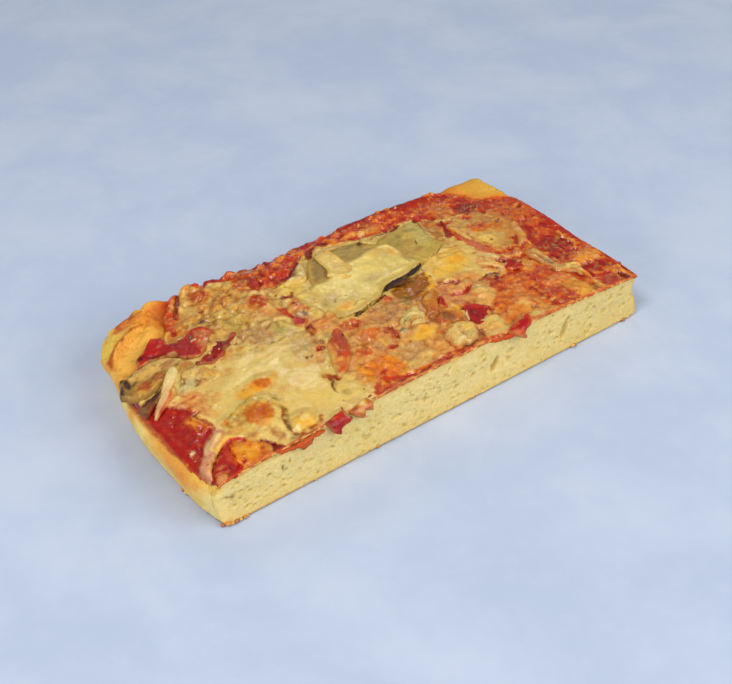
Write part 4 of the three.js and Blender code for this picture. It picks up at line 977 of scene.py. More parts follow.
# behind the big slice: tomato with thin pale skins
T.z("redorange", [(-2, 41), (14, 36), (30, 34), (46, 35), (50, 44), (30, 46), (8, 46)], .7, 1.6, .4)
T.e("orange", 12, 39.6, 3, 2.4, 0, .8, .5, .3)
T.e("peach", 20, 38, 4, 1.6, 10, .7, .6, .5)
T.e("saucedk", 31, 43, 5, 1.4, 10, .6, .6, .5)
T.e("orange", 34, 37.4, 5, 1.8, 0, .6, .6, .5)
T.l("saucedk", [(20, 45), (30, 46.6), (44, 47), (58, 48)], 1.8, .7, .6, .5)
T.e("sauce", 56, 45, 6, 3, 10, .7, .6, .4)
T.e("dkbrown", 49.4, 31.6, 1.2, 1.2, 0, .9, .5, .2)
T.l("dkbrown", [(28, 31), (34, 31.4), (42, 32.2)], .9, .8, .5, .6)
T.z("sauce", [(-36, 44), (-28, 44), (-20, 43), (-22, 36), (-28, 34), (-34, 38)], .7, 1.4, .5)
T.z("redorange", [(-30, 40), (-18, 44), (-4, 44), (-6, 38), (-14, 34), (-22, 33), (-28, 32)], .75, 1.4, .4)
T.e("saucedk", -29, 33.6, 2.2, 3, 10, .8, .5, .4)
T.e("saucedk", -16.6, 37, 2, 2.6, 0, .7, .5, .5)
T.e("sauce", -22.4, 31, 3.4, 1.6, 20, .8, .5, .3)
T.e("peach", -12, 42.4, 2.6, 1.4, 10, .7, .5, .4)
T.l("dkbrown", [(-26, 28.6), (-20, 27.6), (-14, 28.6)], .8, .6, .6, .6)
# third pass
T.z("creamgrey", [(-53, 22), (-44, 24), (-38, 16), (-36, 4), (-42, -2), (-52, 0), (-56, 8)], .45, 2.4, .4)
T.e("grey", -46, 11, 5, 4, 20, .3, .7, .5)
T.e("pinkgrey", -31, 37, 3.4, 3, 0, .6, .6, .5)
T.e("pinkish", -24, 41, 4, 2.2, 10, .6, .6, .5)
T.e("pinkish", -15, 38.6, 3, 2.2, 10, .55, .6, .5)
T.e("cream", -34, 33, 3, 4, 0, .5, .6, .4)
T.l("saucedk", [(0, 38.6), (4, 40.6), (9, 40.8)], 2.2, .8, .5, .3)
T.z("peach", [(18, 39), (24, 40), (33, 38.6), (33, 34.6), (24, 34.6)], .75, 1.2, .4)
T.e("cream", 26, 37, 4, 1.6, 5, .5, .6, .4)
T.e("peach", 64, -24, 4, 3, 0, .7, .6, .4)
T.e("pinkish", 49, -30.6, 3.6, 2.4, 0, .7, .6, .4)
T.e("cream", -27.4, -9.4, 3, 2, 0, .6, .6, .3)
T.z("redorange", [(54.6, 24), (57.4, 24.6), (57.6, 16), (58.6, 8), (61, 0), (63, -8), (61, -10), (57.6, -4), (55, 4), (54.2, 12)], .8, 1.0, .3)
T.e("redbr", 60, 22, 3, 1.6, 20, .7, .6, .5)
T.e("redorange", 70, 21.6, 4, 2, 0, .75, .6, .5)
T.z("redorange", [(70, -8), (77, -8), (79, -14), (79, -30), (81, -42), (77, -44), (73, -34), (70, -26), (69, -16)], .75, 1.4, .3)
T.e("sauce", 79, -36, 1.8, 5, 5, .85, .5, .3)
T.l("pinkish", [(74, -12), (75.4, -18), (76, -26), (79, -30)], 1.2, .6, .5, .5)
T.z("sauce", [(-100, -2), (-95, -3), (-90, -5), (-86, -8), (-83, -13), (-84, -20), (-92, -16), (-100, -12)], .9, .9, .15)
T.e("redorange", -84, -11, 2, 2.4, 10, .7, .5, .4)
T.e("red", -86.4, -15, 1.8, 2.2, 0, .8, .5, .3)
# painted shadow under the corner aubergine slice
T.e("dkbrown", -97, -1.4, 2.6, 1.2, 10, .8, .5, .4)
T.e("olivedk", -66, -49, 4, 2, 0, .6, .6, .5)
T.e("olivedk", -78, -28.6, 4.4, 1.8, 20, .5, .6, .4)
T.e("orange", 18, -17, 3.4, 3, 0, .6, .6, .3)
T.e("orange", 17, -29, 3, 2.4, 0, .6, .6, .3)
T.z("amberdk", [(6, -44), (12, -48), (20, -47), (21, -43), (14, -46.4)], .8, .9, .3)
T.e("dkbrown", 11, -47.6, 3, 1.0, -5, .7, .5, .4)
T.e("redorange", 27, -28.6, 2.4, 1.6, 0, .8, .5, .3)
T.l("redorange", [(92, 12), (96, 4), (97, -4)], 2.6, .5, .6, .5)
T.z("redbr", [(84, 30), (92, 27), (98, 24), (98, 30), (90, 32)], .7, 1, .4)
T.e("orangebr", -14, -5, 3, 1.6, 10, .5, .6, .3)
T.e("olivedk", -16.4, -4.6, 2.2, 1.6, 20, .6, .6, .4)
T.e("olive", -19, 2, 1.6, 3, 0, .5, .6, .3)
# folds and creases round the browned bubble: the dark lines in the creases are painted shade, the pale gold line along
# the ridge a painted highlight
T.l("olivedk", [(-81, -30), (-78, -26.4), (-72, -23.8), (-66, -24), (-61.6, -27), (-60.4, -31)], 1.2, .45, .6, .5)
T.l("goldlt", [(-79, -28.8), (-75, -25.6), (-69, -24.8), (-63.6, -26.6)], 1.4, .6, .6, .2)
T.z("tan", [(-84, -34), (-79, -36), (-75, -33), (-74, -29), (-78, -28), (-82, -30)], .5, 1.4, .5)
T.e("orangebr", -81, -28, 2.2, 1.6, 30, .5, .6, .4)
T.l("olivedk", [(-61.6, -32), (-61.4, -36), (-63.6, -40.4), (-64.8, -44)], 1.7, .6, .6, .3)
T.l("brown", [(-62.6, -36), (-64.6, -41)], 1.4, .5, .6, .3)
T.e("yellow", -58.6, -43.6, 4.0, 3.6, 0, .75, .6, .2)
T.e("creamlt", -57.6, -42.6, 2.2, 1.8, 0, .6, .6, .1)
T.l("brown", [(-64, -48), (-60, -47.6), (-56, -47.6), (-53, -46)], 1.4, .7, .5, .4)
T.e("olive", -70, -30.4, 8.4, 6.6, 10, .45, .7, .2)
T.e(srgb(208, 138, 62), -69, -30.6, 5.6, 5.2, 10, .9, .5, .15)
T.e(srgb(184, 96, 40), -67.6, -30, 3.4, 3.0, 10, .7, .6, .2)
T.e(srgb(206, 128, 56), -70.6, -34.4, 3.0, 1.8, 10, .6, .6, .2)
T.e("creamlt", -72, -37, 3.4, 1.8, 10, .6, .6, .2)
T.e("pinkish", -76, -39, 3, 1.6, 10, .6, .6, .5)
# cream and brown at the upper left
T.z("cream", [(-63, 40), (-57, 42), (-54, 37), (-57, 31), (-63, 34)], .5, 1.4, .5)
T.l("brown", [(-47, 38), (-46, 35), (-43, 33), (-39.6, 33)], 1.1, .6, .5, .5)
T.l("creamlt", [(-44, 44), (-40, 43.4), (-36.6, 41)], 2.2, .65, .6, .4)
T.l("brown", [(-57, 38), (-54, 36), (-51, 36.6)], .9, .6, .5, .6)
T.l("creamlt", [(-52, 24.4), (-47, 26), (-42, 25.6), (-39, 28)], 2.0, .6, .6, .4)
T.l("brown", [(-52, 19.4), (-48, 17.8), (-43, 18.6)], 1.0, .5, .6, .6)
T.l("creamlt", [(-34, 28), (-30, 24), (-27.6, 19.6)], 2.2, .7, .6, .4)
T.l("brown", [(-40, 28), (-37, 27.4), (-33.6, 26)], 1.0, .6, .5, .5)
T.l("creamgrey", [(-56, 10), (-50, 13), (-44, 14)], 2.4, .6, .6, .4)
T.l("olivedk", [(-57, 7), (-52, 7.8), (-48, 6)], .9, .5, .6, .6)
T.l("creamlt", [(-41, 8), (-37, 8.6), (-33, 6), (-32, 1)], 2.2, .6, .6, .4)
T.l("brown", [(-36, 0), (-33.6, -4), (-33, -8)], .9, .5, .6, .5)
# the corner by the string: pinkish cheese over the tomato
T.z("sauce", [(-101, -8), (-97, -8.6), (-94, -8.4), (-91, -10), (-88.4, -13), (-87, -17), (-86.4, -20), (-85, -25), (-88, -30), (-94, -24), (-101, -20)], .9, .8, .15)
T.z("pinkish", [(-93, -6), (-88, -2), (-82, -5), (-79, -12), (-82, -20), (-84, -24), (-85.4, -20), (-86.4, -16), (-88, -12.6), (-90.6, -9.4)], .85, 1.2, .3)
T.e("creamlt", -88, -7, 3.0, 1.8, 30, .5, .6, .3)
T.e("redpink", -83, -9.6, 1.4, 1.0, 20, .8, .5, .4)
T.l("redpink", [(-86.8, -13.4), (-86, -17), (-85, -21)], 1.4, .7, .5, .5)
T.z("orange", [(-92, -18), (-88.4, -17.4), (-86, -22), (-84.6, -26.6), (-87.6, -25), (-90.6, -22)], .75, 1.0, .4)
T.l("creamlt", [(-85.4, -18), (-83.6, -24), (-84.6, -30)], 1.8, .7, .6, .3)
T.l(srgb(214, 160, 140), [(-85, -30), (-89, -32.6), (-93, -36.6), (-96.6, -41), (-99, -45)], 3.6, .85, .6, .3)
T.l(srgb(220, 190, 160), [(-86, -30.4), (-90, -33), (-93, -36)], 1.6, .8, .6, .3)
T.l("creamlt", [(-85, -31), (-89, -33.6), (-91, -36)], 1.4, .6, .6, .3)
T.l("goldlt", [(-83, -34), (-86.6, -35), (-90, -37)], 2.0, .7, .6, .3)
T.z("orange", [(-85, -38), (-81, -39), (-77, -44), (-76, -49), (-85, -50), (-87, -45)], .85, 1.0, .3)
T.e("yellow", -81.4, -44, 3.4, 3.6, 0, .6, .6, .3)
T.l("redbr", [(-86, -37), (-83, -36.4), (-80, -39.6)], 1.6, .8, .5, .4)
T.e("pinkish", -95, -48, 2.6, 1.4, 10, .7, .5, .5)
T.l("saucedk", [(-76, -43), (-74, -46), (-74.6, -49)], 1.6, .8, .5, .3)
T.z("redorange", [(-74, -49), (-66, -50.4), (-58, -50), (-55, -52), (-60, -54), (-68, -56), (-75, -52)], .8, .8, .4)
T.e("pinkgrey", -69.6, -44, 2.0, 4.0, 0, .55, .6, .3)
T.z(srgb(206, 138, 66), [(-78, 20), (-75, 28), (-70, 33), (-65, 33), (-64, 26), (-69, 22)], .85, 1.2, .3)
T.l("redbr", [(-71, 25), (-69.6, 29), (-69, 33)], 2.2, .8, .5, .4)
T.l("goldlt", [(-76, 22), (-73.6, 26), (-71.6, 28)], 1.4, .7, .5, .3)
T.l(srgb(196, 72, 40), [(-56.6, 51), (-60.6, 47), (-64, 42), (-67, 37), (-69.6, 31)], 5.4, .85, .6, .5)
T.l("pinkish", [(-59, 46), (-61.6, 42), (-64, 38.6)], 1.4, .6, .6, .6)
T.l("saucedk", [(-55, 49.4), (-58.4, 44), (-61, 40), (-63.6, 36)], 1.2, .75, .5, .4)
T.e("white", -62.6, 43, .5, .4, 0, .7, .5)
T.e("white", -65.6, 39, .5, .4, 0, .6, .5)
# the pool's own soft tones
T.e("gold", -66.6, -20, 3.4, 2.4, 10, .7, .6, .2)
T.e(srgb(196, 112, 48), -59.4, -18.4, 2.8, 1.6, 10, .85, .5, .3)
T.e(srgb(196, 112, 48), -58.4, -21.6, 1.6, 1.8, 0, .7, .5, .3)
T.e("gold", -54, -19, 3.0, 1.8, 0, .5, .6, .2)
T.e("olive", -60, -2, 3, 1.6, 20, .4, .6, .5)
T.e("tan", -78, -12.6, 2.4, 3.4, 0, .5, .7, .3)
# upper left
T.e(srgb(196, 122, 60), -51, 40.6, 4.6, 5.0, 0, .85, .5, .3)
T.z("green", [(-53, 24), (-49, 25), (-44.6, 19), (-46, 14), (-50, 11), (-53, 15)], .8, 2, .2)
T.e("creamlt", -49, 19, 3.4, 4.4, 20, .5, .7, .2)
T.e("gold", -42.8, 24, 2.2, 1.6, 0, .7, .6, .3)
T.e("gold", -44, 14, 2.6, 2, 20, .55, .6, .3)
T.e(srgb(182, 92, 46), -35.6, 21.6, 3.8, 3.6, 20, .9, .45, .15)
T.e(srgb(164, 66, 38), -33.4, 23.4, 2.0, 1.4, 20, .7, .5, .2)
T.e(srgb(176, 112, 60), -45.4, 31.6, 3.4, 2.6, 20, .7, .5, .3)
T.e("grey", -44.6, 34.6, 2.4, 1.6, 20, .4, .6, .3)
T.l("redbr", [(-32, 12.6), (-31, 9), (-30.6, 5)], 1.8, .8, .5, .3)
T.e("pinkish", -26, 9, 2.4, 3, 0, .6, .6, .4)
T.e("green", -38, 3, 3.4, 4, 0, .5, .7, .2)
T.e("olivedk", -49, 28.6, .6, .4, 0, .6, .5)
# middle
T.z("orange", [(-28, -36), (-20, -35), (-14, -38), (-14, -43), (-20, -45.6), (-26, -42)], .6, 1.4, .3)
T.l("redorange", [(-29, -46.4), (-26, -44), (-22.4, -41)], 3.0, .85, .6, .5)
T.e(srgb(206, 116, 56), -13, -21.4, 3.4, 3.0, 20, .8, .5, .15)
T.e("red", -32.6, -17, 1.8, 1.2, 20, .9, .5, .3)
T.l("goldlt", [(-13, -29.6), (-12.6, -26)], 1.6, .5, .6, .3)
# amber folds below the slice
T.z(srgb(166, 112, 50), [(8, -9), (15, -12), (22, -12), (25, -7), (26, -3), (18, -2), (10, -3.6)], .7, 1.4, .3)
T.z(srgb(120, 82, 44), [(9, -3), (14, -5.6), (20, -5.6), (24, -2), (16, -1)], .7, 1.4, .3)
T.z(srgb(176, 112, 40), [(12, -13), (20, -12), (24, -16), (21, -20), (16, -26), (12, -22)], .7, 1.4, .4)
T.z(srgb(158, 86, 34), [(10, -24), (20, -26), (23, -30), (21, -35), (14, -35), (9, -30)], .75, 1.2, .4)
T.l("gold", [(22.6, -24), (22.8, -30), (22.4, -34)], 1.4, .8, .5, .3)
# upper right: thin cheese over tomato
T.z(srgb(206, 138, 74), [(57, 27), (62, 34), (67, 40), (70, 34), (67, 27), (62, 24)], .7, 1.8, .5)
T.e("redpink", 61.6, 36, 1.4, 1.0, 30, .7, .5, .4)
T.z(srgb(196, 118, 62), [(82, 8), (86, 20), (94, 20), (97, 10), (92, 4), (86, 2)], .5, 2, .6)
T.z(srgb(176, 122, 58), [(47, 14), (48, 24), (51, 29), (55, 27), (53, 19), (51, 13)], .8, 1.2, .4)
T.e("orangebr", 52, 25, 2.4, 3, -20, .6, .6, .4)
T.l("olivedk", [(46.4, 11), (50, 12.6), (53, 12)], 1.0, .6, .5, .4)
T.e("pinkgrey", 50, 10.6, 2.4, 1.2, 20, .5, .6, .3)
# the red corner by the right end
T.z(srgb(214, 108, 56), [(50, -22), (60, -24), (72, -28), (74, -38), (66, -44), (56, -46), (50, -40)], .45, 2.0, .8)
T.z(srgb(200, 66, 36), [(56, -40), (66, -40), (70, -48), (58, -50)], .5, 2.0, .8)
T.z(srgb(190, 52, 26), [(79, -18), (88, -17), (91, -25), (86, -28), (80, -29)], .7, 2.0, .8)
T.z(srgb(180, 58, 34), [(83, -41), (90, -41), (91, -48), (82, -49)], .7, 2.0, .8)
T.z(srgb(160, 46, 26), [(84, -33), (92, -33), (98, -36), (96, -40), (86, -39)], .6, 2.0, .8)
T.l("redorange", [(84, -40.4), (89, -39.8), (94, -40.6)], 1.2, .6, .5, .6)
T.l("redorange", [(92, -32.6), (95, -35), (97, -38)], 1.6, .6, .5, .6)
T.l("saucedk", [(79, -20), (79.6, -25), (81, -29), (86, -28)], .9, .6, .5, .6)
T.l("saucedk", [(83, -36), (87, -34), (90, -36.4), (95, -37)], .8, .6, .5, .6)
T.e("saucedk", 90, -13.4, 2.4, 1.8, 10, .7, .5, .3)
T.l("redorange", [(82, -12), (84, -16), (88, -17)], 1.0, .5, .6, .6)
T.e("orange", 84, -23.4, 1.2, .8, 20, .5, .5)
T.e("pinkish", 82, -21, .9, .6, 20, .5, .5)
T.l("peach", [(91, -48), (92.6, -43.6), (95.6, -42.6), (97.6, -46)], .9, .6, .5, .3)
T.z(srgb(222, 138, 58), [(68, -41), (74, -40), (77, -46), (72, -49), (68, -47)], .6, 2.0, .8)
T.l("saucedk", [(76.6, -45.6), (79, -45), (81, -45.6)], .8, .5, .5, .4)
# the corner by the crust's pale lip, a thin string and a green-grey fold
T.z(srgb(200, 176, 104), [(-53, 11), (-46, 11), (-42, 18), (-46, 25), (-53, 22)], .6, 1.6, .4)
T.z(srgb(236, 166, 62), [(-92, -17), (-86, -17), (-85, -26), (-91, -25)], .5, 2.0, .8)
T.z(srgb(238, 164, 58), [(-87, -39), (-77, -40), (-76, -48), (-86, -49)], .5, 2.0, .8)
T.e("redorange", -83, -44, 1.2, .9, 20, .7, .5, .4)
T.e("redorange", -79.4, -42, .9, .7, 20, .7, .5, .4)
T.e("redbr", -85, -46.4, 1.2, .8, 20, .7, .5, .4)
# front right, smooth melted tones
T.z(srgb(214, 112, 52), [(48, -24), (56, -22), (60, -30), (58, -38), (54, -44), (48, -44), (46, -34)], .7, 2.6, .9)
T.z(srgb(170, 58, 40), [(42, -18), (49, -19), (50, -24), (46, -27), (43, -25)], .75, 2.6, .9)
T.e(srgb(206, 150, 118), 51, -32, 3, 2.2, 10, .5, .6, .3)
T.e(srgb(220, 160, 104), 66, -22, 3.4, 1.4, 0, .6, .6, .3)
T.z(srgb(196, 74, 38), [(60, -25), (66, -26), (71, -25), (72, -30), (66, -32), (60, -31)], .8, 2.6, .9)
T.z(srgb(224, 134, 90), [(62, -33), (68, -32), (74, -33), (75, -38), (68, -39), (62, -37)], .8, 2.6, .9)
T.z(srgb(228, 150, 64), [(66, -39), (74, -39), (76, -45), (68, -46)], .75, 2.6, .9)
T.z(srgb(190, 66, 36), [(56, -40), (64, -38), (67, -44), (62, -49), (57, -48)], .75, 2.6, .9)
T.l("red", [(55.4, -34), (56, -38), (55.6, -43)], 1.2, .7, .5, .3)
T.z(srgb(162, 46, 30), [(78, -10), (88, -10), (92, -17), (90, -25), (80, -28)], .8, 2.6, .9)
T.z(srgb(194, 66, 30), [(81, -20), (89, -19), (91, -25), (84, -28), (80, -26)], .6, 2.6, .9)
T.e(srgb(128, 32, 40), 90.5, -13.5, 1.8, 2.2, 0, .7, .5, .2)
T.z(srgb(228, 162, 90), [(84, -27), (91, -25), (97, -27), (97, -33), (90, -34), (84, -32)], .65, 2.6, .9)
T.e(srgb(230, 186, 126), 94, -31, 2.4, 1.6, 0, .6, .6, .2)
# round the ring and the near artichoke
T.l(srgb(202, 138, 112), [(27, -14), (24.6, -18), (24.4, -23), (27, -27)], 3.2, .65, .6, .2)
T.e(srgb(224, 178, 112), 36, -29, 5, 3.6, 10, .8, .6)
T.e(srgb(222, 174, 106), 25, -44.6, 4.2, 3.6, 0, .6, .6)
T.z(srgb(222, 134, 68), [(31, -39), (40, -38), (45, -42), (42, -47), (33, -47)], .65, 1.4, .4)
T.z(srgb(208, 102, 44), [(38, -31), (44, -29), (48, -33), (44, -38), (38, -37)], .6, 1.4, .3)
T.l("saucedk", [(31, -14.6), (33, -15.6), (35, -14.4)], 1.0, .6, .5)
# centre
T.z(srgb(208, 184, 128), [(-40, -1), (-33, -2), (-32, -10), (-37, -19), (-43, -18), (-42, -8)], .75, 1.6, .2)
T.e("redbr", -33.2, -16.6, 1.5, 1.3, 20, .85, .5, .2)
T.e("pinkish", -35.4, -15, 2.2, 1.6, 20, .35, .7)
T.z(srgb(216, 164, 110), [(-27, -3), (-20, -2.4), (-17, -3), (-18, -7), (-24, -8.6), (-28, -8)], .7, 1.4, .4)
T.l(srgb(196, 112, 62), [(-24, -5), (-20, -4), (-16, -4)], 1.5, .6, .6, .4)
T.e(srgb(190, 94, 50), -22, -28.2, 3, 2.6, 0, .85, .5)
# painted highlight below the blister
T.e(srgb(228, 172, 122), -22.6, -30.8, 1.8, 1, 0, .7, .5)
T.e(srgb(202, 114, 60), -13.6, -20.6, 3.6, 2.6, 10, .7, .6)
T.l(srgb(190, 86, 68), [(-7.4, -22), (-6.6, -25), (-4.4, -26.4)], 2.2, .8, .6, .2)
T.z(srgb(208, 166, 110), [(-14, -34), (-3, -34), (0, -40), (-8, -43), (-15, -40)], .7, 1.8, .3)
# the blister and the sauce left of it
T.e(srgb(204, 108, 44), -69.5, -30.4, 4.8, 4.8, 0, .75, .7, .15)
T.e(srgb(182, 84, 34), -67.6, -31.6, 2.6, 2.8, 0, .55, .7, .3)
T.e(srgb(218, 144, 78), -71, -36, 2.6, 2, 0, .6, .7, .2)
T.e(srgb(190, 80, 44), -88.4, -24.4, 2.6, 2.4, 0, .65, .5, .5)
T.l("pinkish", [(-88.6, -17), (-87.4, -20), (-86, -23)], 1.0, .5, .5, .5)
T.l(srgb(196, 82, 40), [(-99, -12), (-98.4, -22), (-97.4, -32), (-98, -40)], 2.2, .35, .9, .8)
T.l(srgb(118, 34, 22), [(-95.4, -16), (-93.4, -21), (-92.4, -27), (-94, -33)], 2.2, .45, .8, .8)
T.l(srgb(190, 74, 40), [(-92, -9), (-91.4, -14), (-90.6, -18)], 1.8, .45, .7, .7)
T.l(srgb(112, 32, 24), [(-88.4, -13), (-87.8, -17), (-86.4, -21), (-85.2, -26)], .8, .6, .5, .5)
# sauce at the left: pulp and thin brown-orange mottling
for n, (px, py) in enumerate([(-97, -13), (-94.6, -15), (-92.6, -12.6), (-96.4, -18), (-93.2, -19.6), (-91.4, -22.4), (-97.6, -23), (-94.4, -25), (-91, -27.6), (-96, -28.6), (-93, -31), (-97.2, -35), (-94.6, -36), (-98, -39), (-95.4, -40)]):
    T.e(srgb(188, 84, 48) if n % 3 else srgb(120, 36, 24), px, py, 1.3 + .3 * (n % 4), .7 + .2 * (n % 3), 25 * n, .5, .7, .7)
# the two lit red pools on the right
for n, (px, py) in enumerate([(80, -13), (83, -15.6), (86.4, -12), (88.6, -17), (81.6, -18.6), (85, -20), (88.4, -22.4), (82.4, -24), (85.6, -26), (80.6, -27), (86, -36), (90, -35), (94, -37.6), (84, -44), (88, -43), (85.4, -47), (89.6, -46)]):
    T.e(srgb(206, 92, 52) if n % 2 else srgb(126, 34, 24), px, py, 1.1 + .3 * (n % 3), .6 + .2 * (n % 4), 35 * n, .45, .6, .7)
T.l(srgb(222, 150, 110), [(79, -14.6), (81.6, -14), (84, -15)], .7, .4, .5, .5)
T.e(srgb(138, 28, 14), 84.4, -16, 4.6, 4.0, 20, .5, .8, .3)
T.e(srgb(150, 34, 18), 84, -24, 4.6, 3.2, 10, .5, .8, .3)
T.e(srgb(146, 34, 20), 90, -36.6, 4.6, 2.0, 10, .4, .8, .4)
T.e(srgb(150, 44, 30), 87, -44.4, 3.6, 2.6, 10, .35, .8, .4)
# the aubergine's edge where it leaves the melted gold
T.l(srgb(88, 60, 38), [(36.6, 4.6), (40, 6), (43, 7.6), (46.4, 9.8)], .8, .8, .4, .2)
# strings and glints over the front right
T.l(srgb(232, 186, 130), [(52, -27), (56, -29), (60, -28.6)], 1.0, .5, .5, .5)
T.l(srgb(234, 176, 130), [(63, -35.4), (67, -34.4), (71, -35.6)], 1.4, .5, .6, .4)
T.l(srgb(150, 44, 26), [(55, -34), (56, -38), (55.4, -43)], .9, .7, .4, .4)
T.l(srgb(150, 40, 26), [(57, -48), (61, -47.4), (66, -48.6)], 1.0, .6, .5, .6)
T.e(srgb(238, 186, 96), 71.4, -47, 2.6, 1.2, 10, .7, .5, .5)
T.e(srgb(132, 60, 30), 76.6, -48.6, 1.6, .8, 0, .7, .4, .5)
T.e(srgb(158, 48, 28), 78, -34.4, 1.4, 2.2, 10, .7, .4, .4)
T.e(srgb(216, 120, 92), 63.4, -17.4, 1.2, .6, 20, .5, .5, .3)
# stronger contrast in the upper left and the centre
T.l(srgb(150, 88, 52), [(-56, 31), (-54.6, 30.6)], 1.0, .8, .4)
T.e("brown", -40.4, 35.6, .8, .6, 20, .8, .4)
T.l(srgb(150, 104, 62), [(-47, 5), (-44, 7), (-42, 9)], 1.0, .6, .5, .4)
T.l(srgb(226, 206, 150), [(-52, 24), (-47, 26), (-43, 27)], 1.4, .6, .5, .3)
T.l(srgb(228, 206, 158), [(-48, 9), (-44, 11), (-40, 14)], 1.6, .6, .6, .3)
T.l(srgb(230, 210, 160), [(-38, 29), (-33, 28.4), (-28, 26)], 1.4, .6, .5, .4)
T.l(srgb(140, 46, 32), [(-31, 27.6), (-26, 25.6), (-22, 25.2)], .8, .6, .4, .5)
# upper left, larger melted tones
T.z(srgb(214, 184, 130), [(-44, 24), (-40, 28), (-32, 28), (-27, 24), (-28, 14), (-36, 12), (-44, 18)], .4, 2.8, .7)
T.z(srgb(204, 182, 112), [(-54, 14), (-46, 13), (-43, 18), (-47, 26), (-53, 26)], .7, 2.4, .7)
T.z(srgb(206, 162, 90), [(-46, 36), (-40, 34), (-34, 36), (-36, 42), (-42, 44), (-47, 42)], .6, 2.4, .7)
T.e(srgb(192, 92, 44), -51, 41.4, 4.6, 3.6, 0, .85, .7, .2)
T.e(srgb(188, 126, 88), -47, 33, 3.2, 2.2, 20, .6, .7, .2)
T.z(srgb(180, 76, 42), [(-39, 22), (-36, 26), (-31, 24), (-32, 20), (-35, 17)], .95, .8, .2)
T.e(srgb(204, 106, 54), -34.6, 35.4, 3.4, 3.2, 0, .7, .7, .2)
T.e(srgb(198, 92, 46), -27.6, 41.6, 4, 2.6, 10, .7, .7, .2)
T.z(srgb(196, 172, 126), [(-52, 10), (-44, 12), (-36, 10), (-36, 4), (-46, 2), (-52, 4)], .55, 2.4, .7)
T.e(srgb(204, 192, 150), -28, 15, 2.6, 2.2, 0, .7, .6, .2)
T.l(srgb(150, 42, 30), [(-27, 17.6), (-24.6, 16.6), (-21.6, 18.4)], 1.2, .8, .4, .3)
T.e(srgb(212, 150, 140), -25.4, 10, 2.4, 2.4, 0, .5, .6, .2)
T.e(srgb(176, 54, 40), -31, 10, 1.8, 2.2, 0, .75, .5, .4)
T.e(srgb(170, 46, 44), -29.5, 1.8, 3.0, 2.4, 0, .8, .5, .4)
T.z(srgb(200, 84, 50), [(-27, 26), (-18, 28), (-12, 34), (-14, 40), (-22, 40), (-28, 34)], .5, 1.4, .6)
T.l(srgb(148, 42, 30), [(-31, 30), (-29.6, 34), (-29, 38)], 2.0, .6, .7, .5)
# upper right, larger melted tones
T.z(srgb(140, 62, 48), [(71, 24), (76, 22), (82, 24), (84, 28), (80, 31), (74, 32), (70, 28)], .6, 2.2, .7)
T.z(srgb(198, 88, 48), [(86, 8), (92, 6), (98, 8), (98, 22), (92, 26), (84, 22), (84, 14)], .6, 2.4, .7)
T.z(srgb(206, 118, 58), [(77, 8), (84, 10), (84, 20), (80, 22), (76, 18)], .5, 2.4, .7)
T.z(srgb(206, 128, 68), [(72, 2), (80, 2), (84, 8), (80, 13), (74, 10)], .5, 2.2, .7)
T.z(srgb(200, 122, 78), [(58, 28), (66, 26), (71, 32), (70, 39), (63, 40), (58, 34)], .5, 2.4, .7)
# the skin's thin line left of the thick one
T.l(srgb(44, 30, 18), [(-11, -9.2), (-8, -8.6), (-4, -7.6), (0, -7), (5, -5.4)], (1.4, 1.2, .9, .9, 1.2), .9, .3, .1)
# the near rim, broken into paler and darker stretches
T.e(srgb(226, 170, 96), -18, -49.2, 2.6, 1.0, 0, .8, .5, .5)
T.e(srgb(226, 166, 92), -6, -49.0, 2.0, .9, 0, .7, .5, .5)
T.e(srgb(222, 150, 70), 4, -49.4, 2.2, .9, 0, .7, .5, .5)
T.e(srgb(226, 168, 84), 15, -48.8, 3.0, 1.0, 0, .8, .5, .5)
T.e(srgb(224, 170, 100), 46.6, -49.2, 2.6, 1.0, 0, .8, .5, .5)
T.e(srgb(222, 150, 80), 61, -49.4, 2.0, .8, 0, .7, .5, .5)
T.l(srgb(206, 106, 52), [(-30, -48.4), (-26, -49), (-22, -48.6)], 1.2, .6, .6, .5)
T.l(srgb(206, 106, 52), [(-14, -49), (-10, -49.4), (-1, -48.8)], 1.0, .6, .6, .5)
# dark herbs and seared specks
rng = np.random.RandomState(9)
for _ in range(120):
    px, py = -70 + 165 * rng.rand(), -46 + 90 * rng.rand()
    if -60 < px < -40 and -44 < py < -8 and rng.rand() < .8:
        continue
    r = .25 + .35 * rng.rand()
    T.e(("dkbrown", "olivedk", "saucedk", "brown")[rng.randint(4)], px, py, r * (1 + rng.rand()), r, 180 * rng.rand(), .5 + .4 * rng.rand(), .5)

# strands and dashes strewn over the tomato side
rng = np.random.RandomState(4)
for _ in range(95):
    if rng.rand() < .62:
        px, py = 44 + 54 * rng.rand(), -50 + 74 * rng.rand()
    else:
        px, py = -30 + 126 * rng.rand(), 30 + 18 * rng.rand()
    a, turn, long_ = rng.rand() * 6.28, (rng.rand() - .5) * 1.6, 1.6 + 3.4 * rng.rand() ** 2
    pts = [(px + long_ * k / 2 * math.cos(a + turn * k / 2), py + long_ * k / 2 * math.sin(a + turn * k / 2)) for k in range(3)]
    pick = rng.rand()
    if 36 < px < 78 and -14 < py < 24:
        continue
    if pick < .42:
        TOP.l("pinkish" if rng.rand() < .5 else "peach", pts, .7 + .8 * rng.rand(), .5 + .35 * rng.rand(), .5, .3)
    elif pick < .72:
        TOP.l("saucedk" if rng.rand() < .6 else "red", pts, .6 + 1.0 * rng.rand(), .5 + .4 * rng.rand(), .5, .3)
    elif pick < .88:
        TOP.e("orangelt", px, py, .8 + 1.2 * rng.rand(), .6 + rng.rand(), 60 * rng.rand(), .6, .5, .3)
    else:
        TOP.e("cream", px, py, .6 + 1.0 * rng.rand(), .5 + .5 * rng.rand(), 60 * rng.rand(), .6, .5, .3)


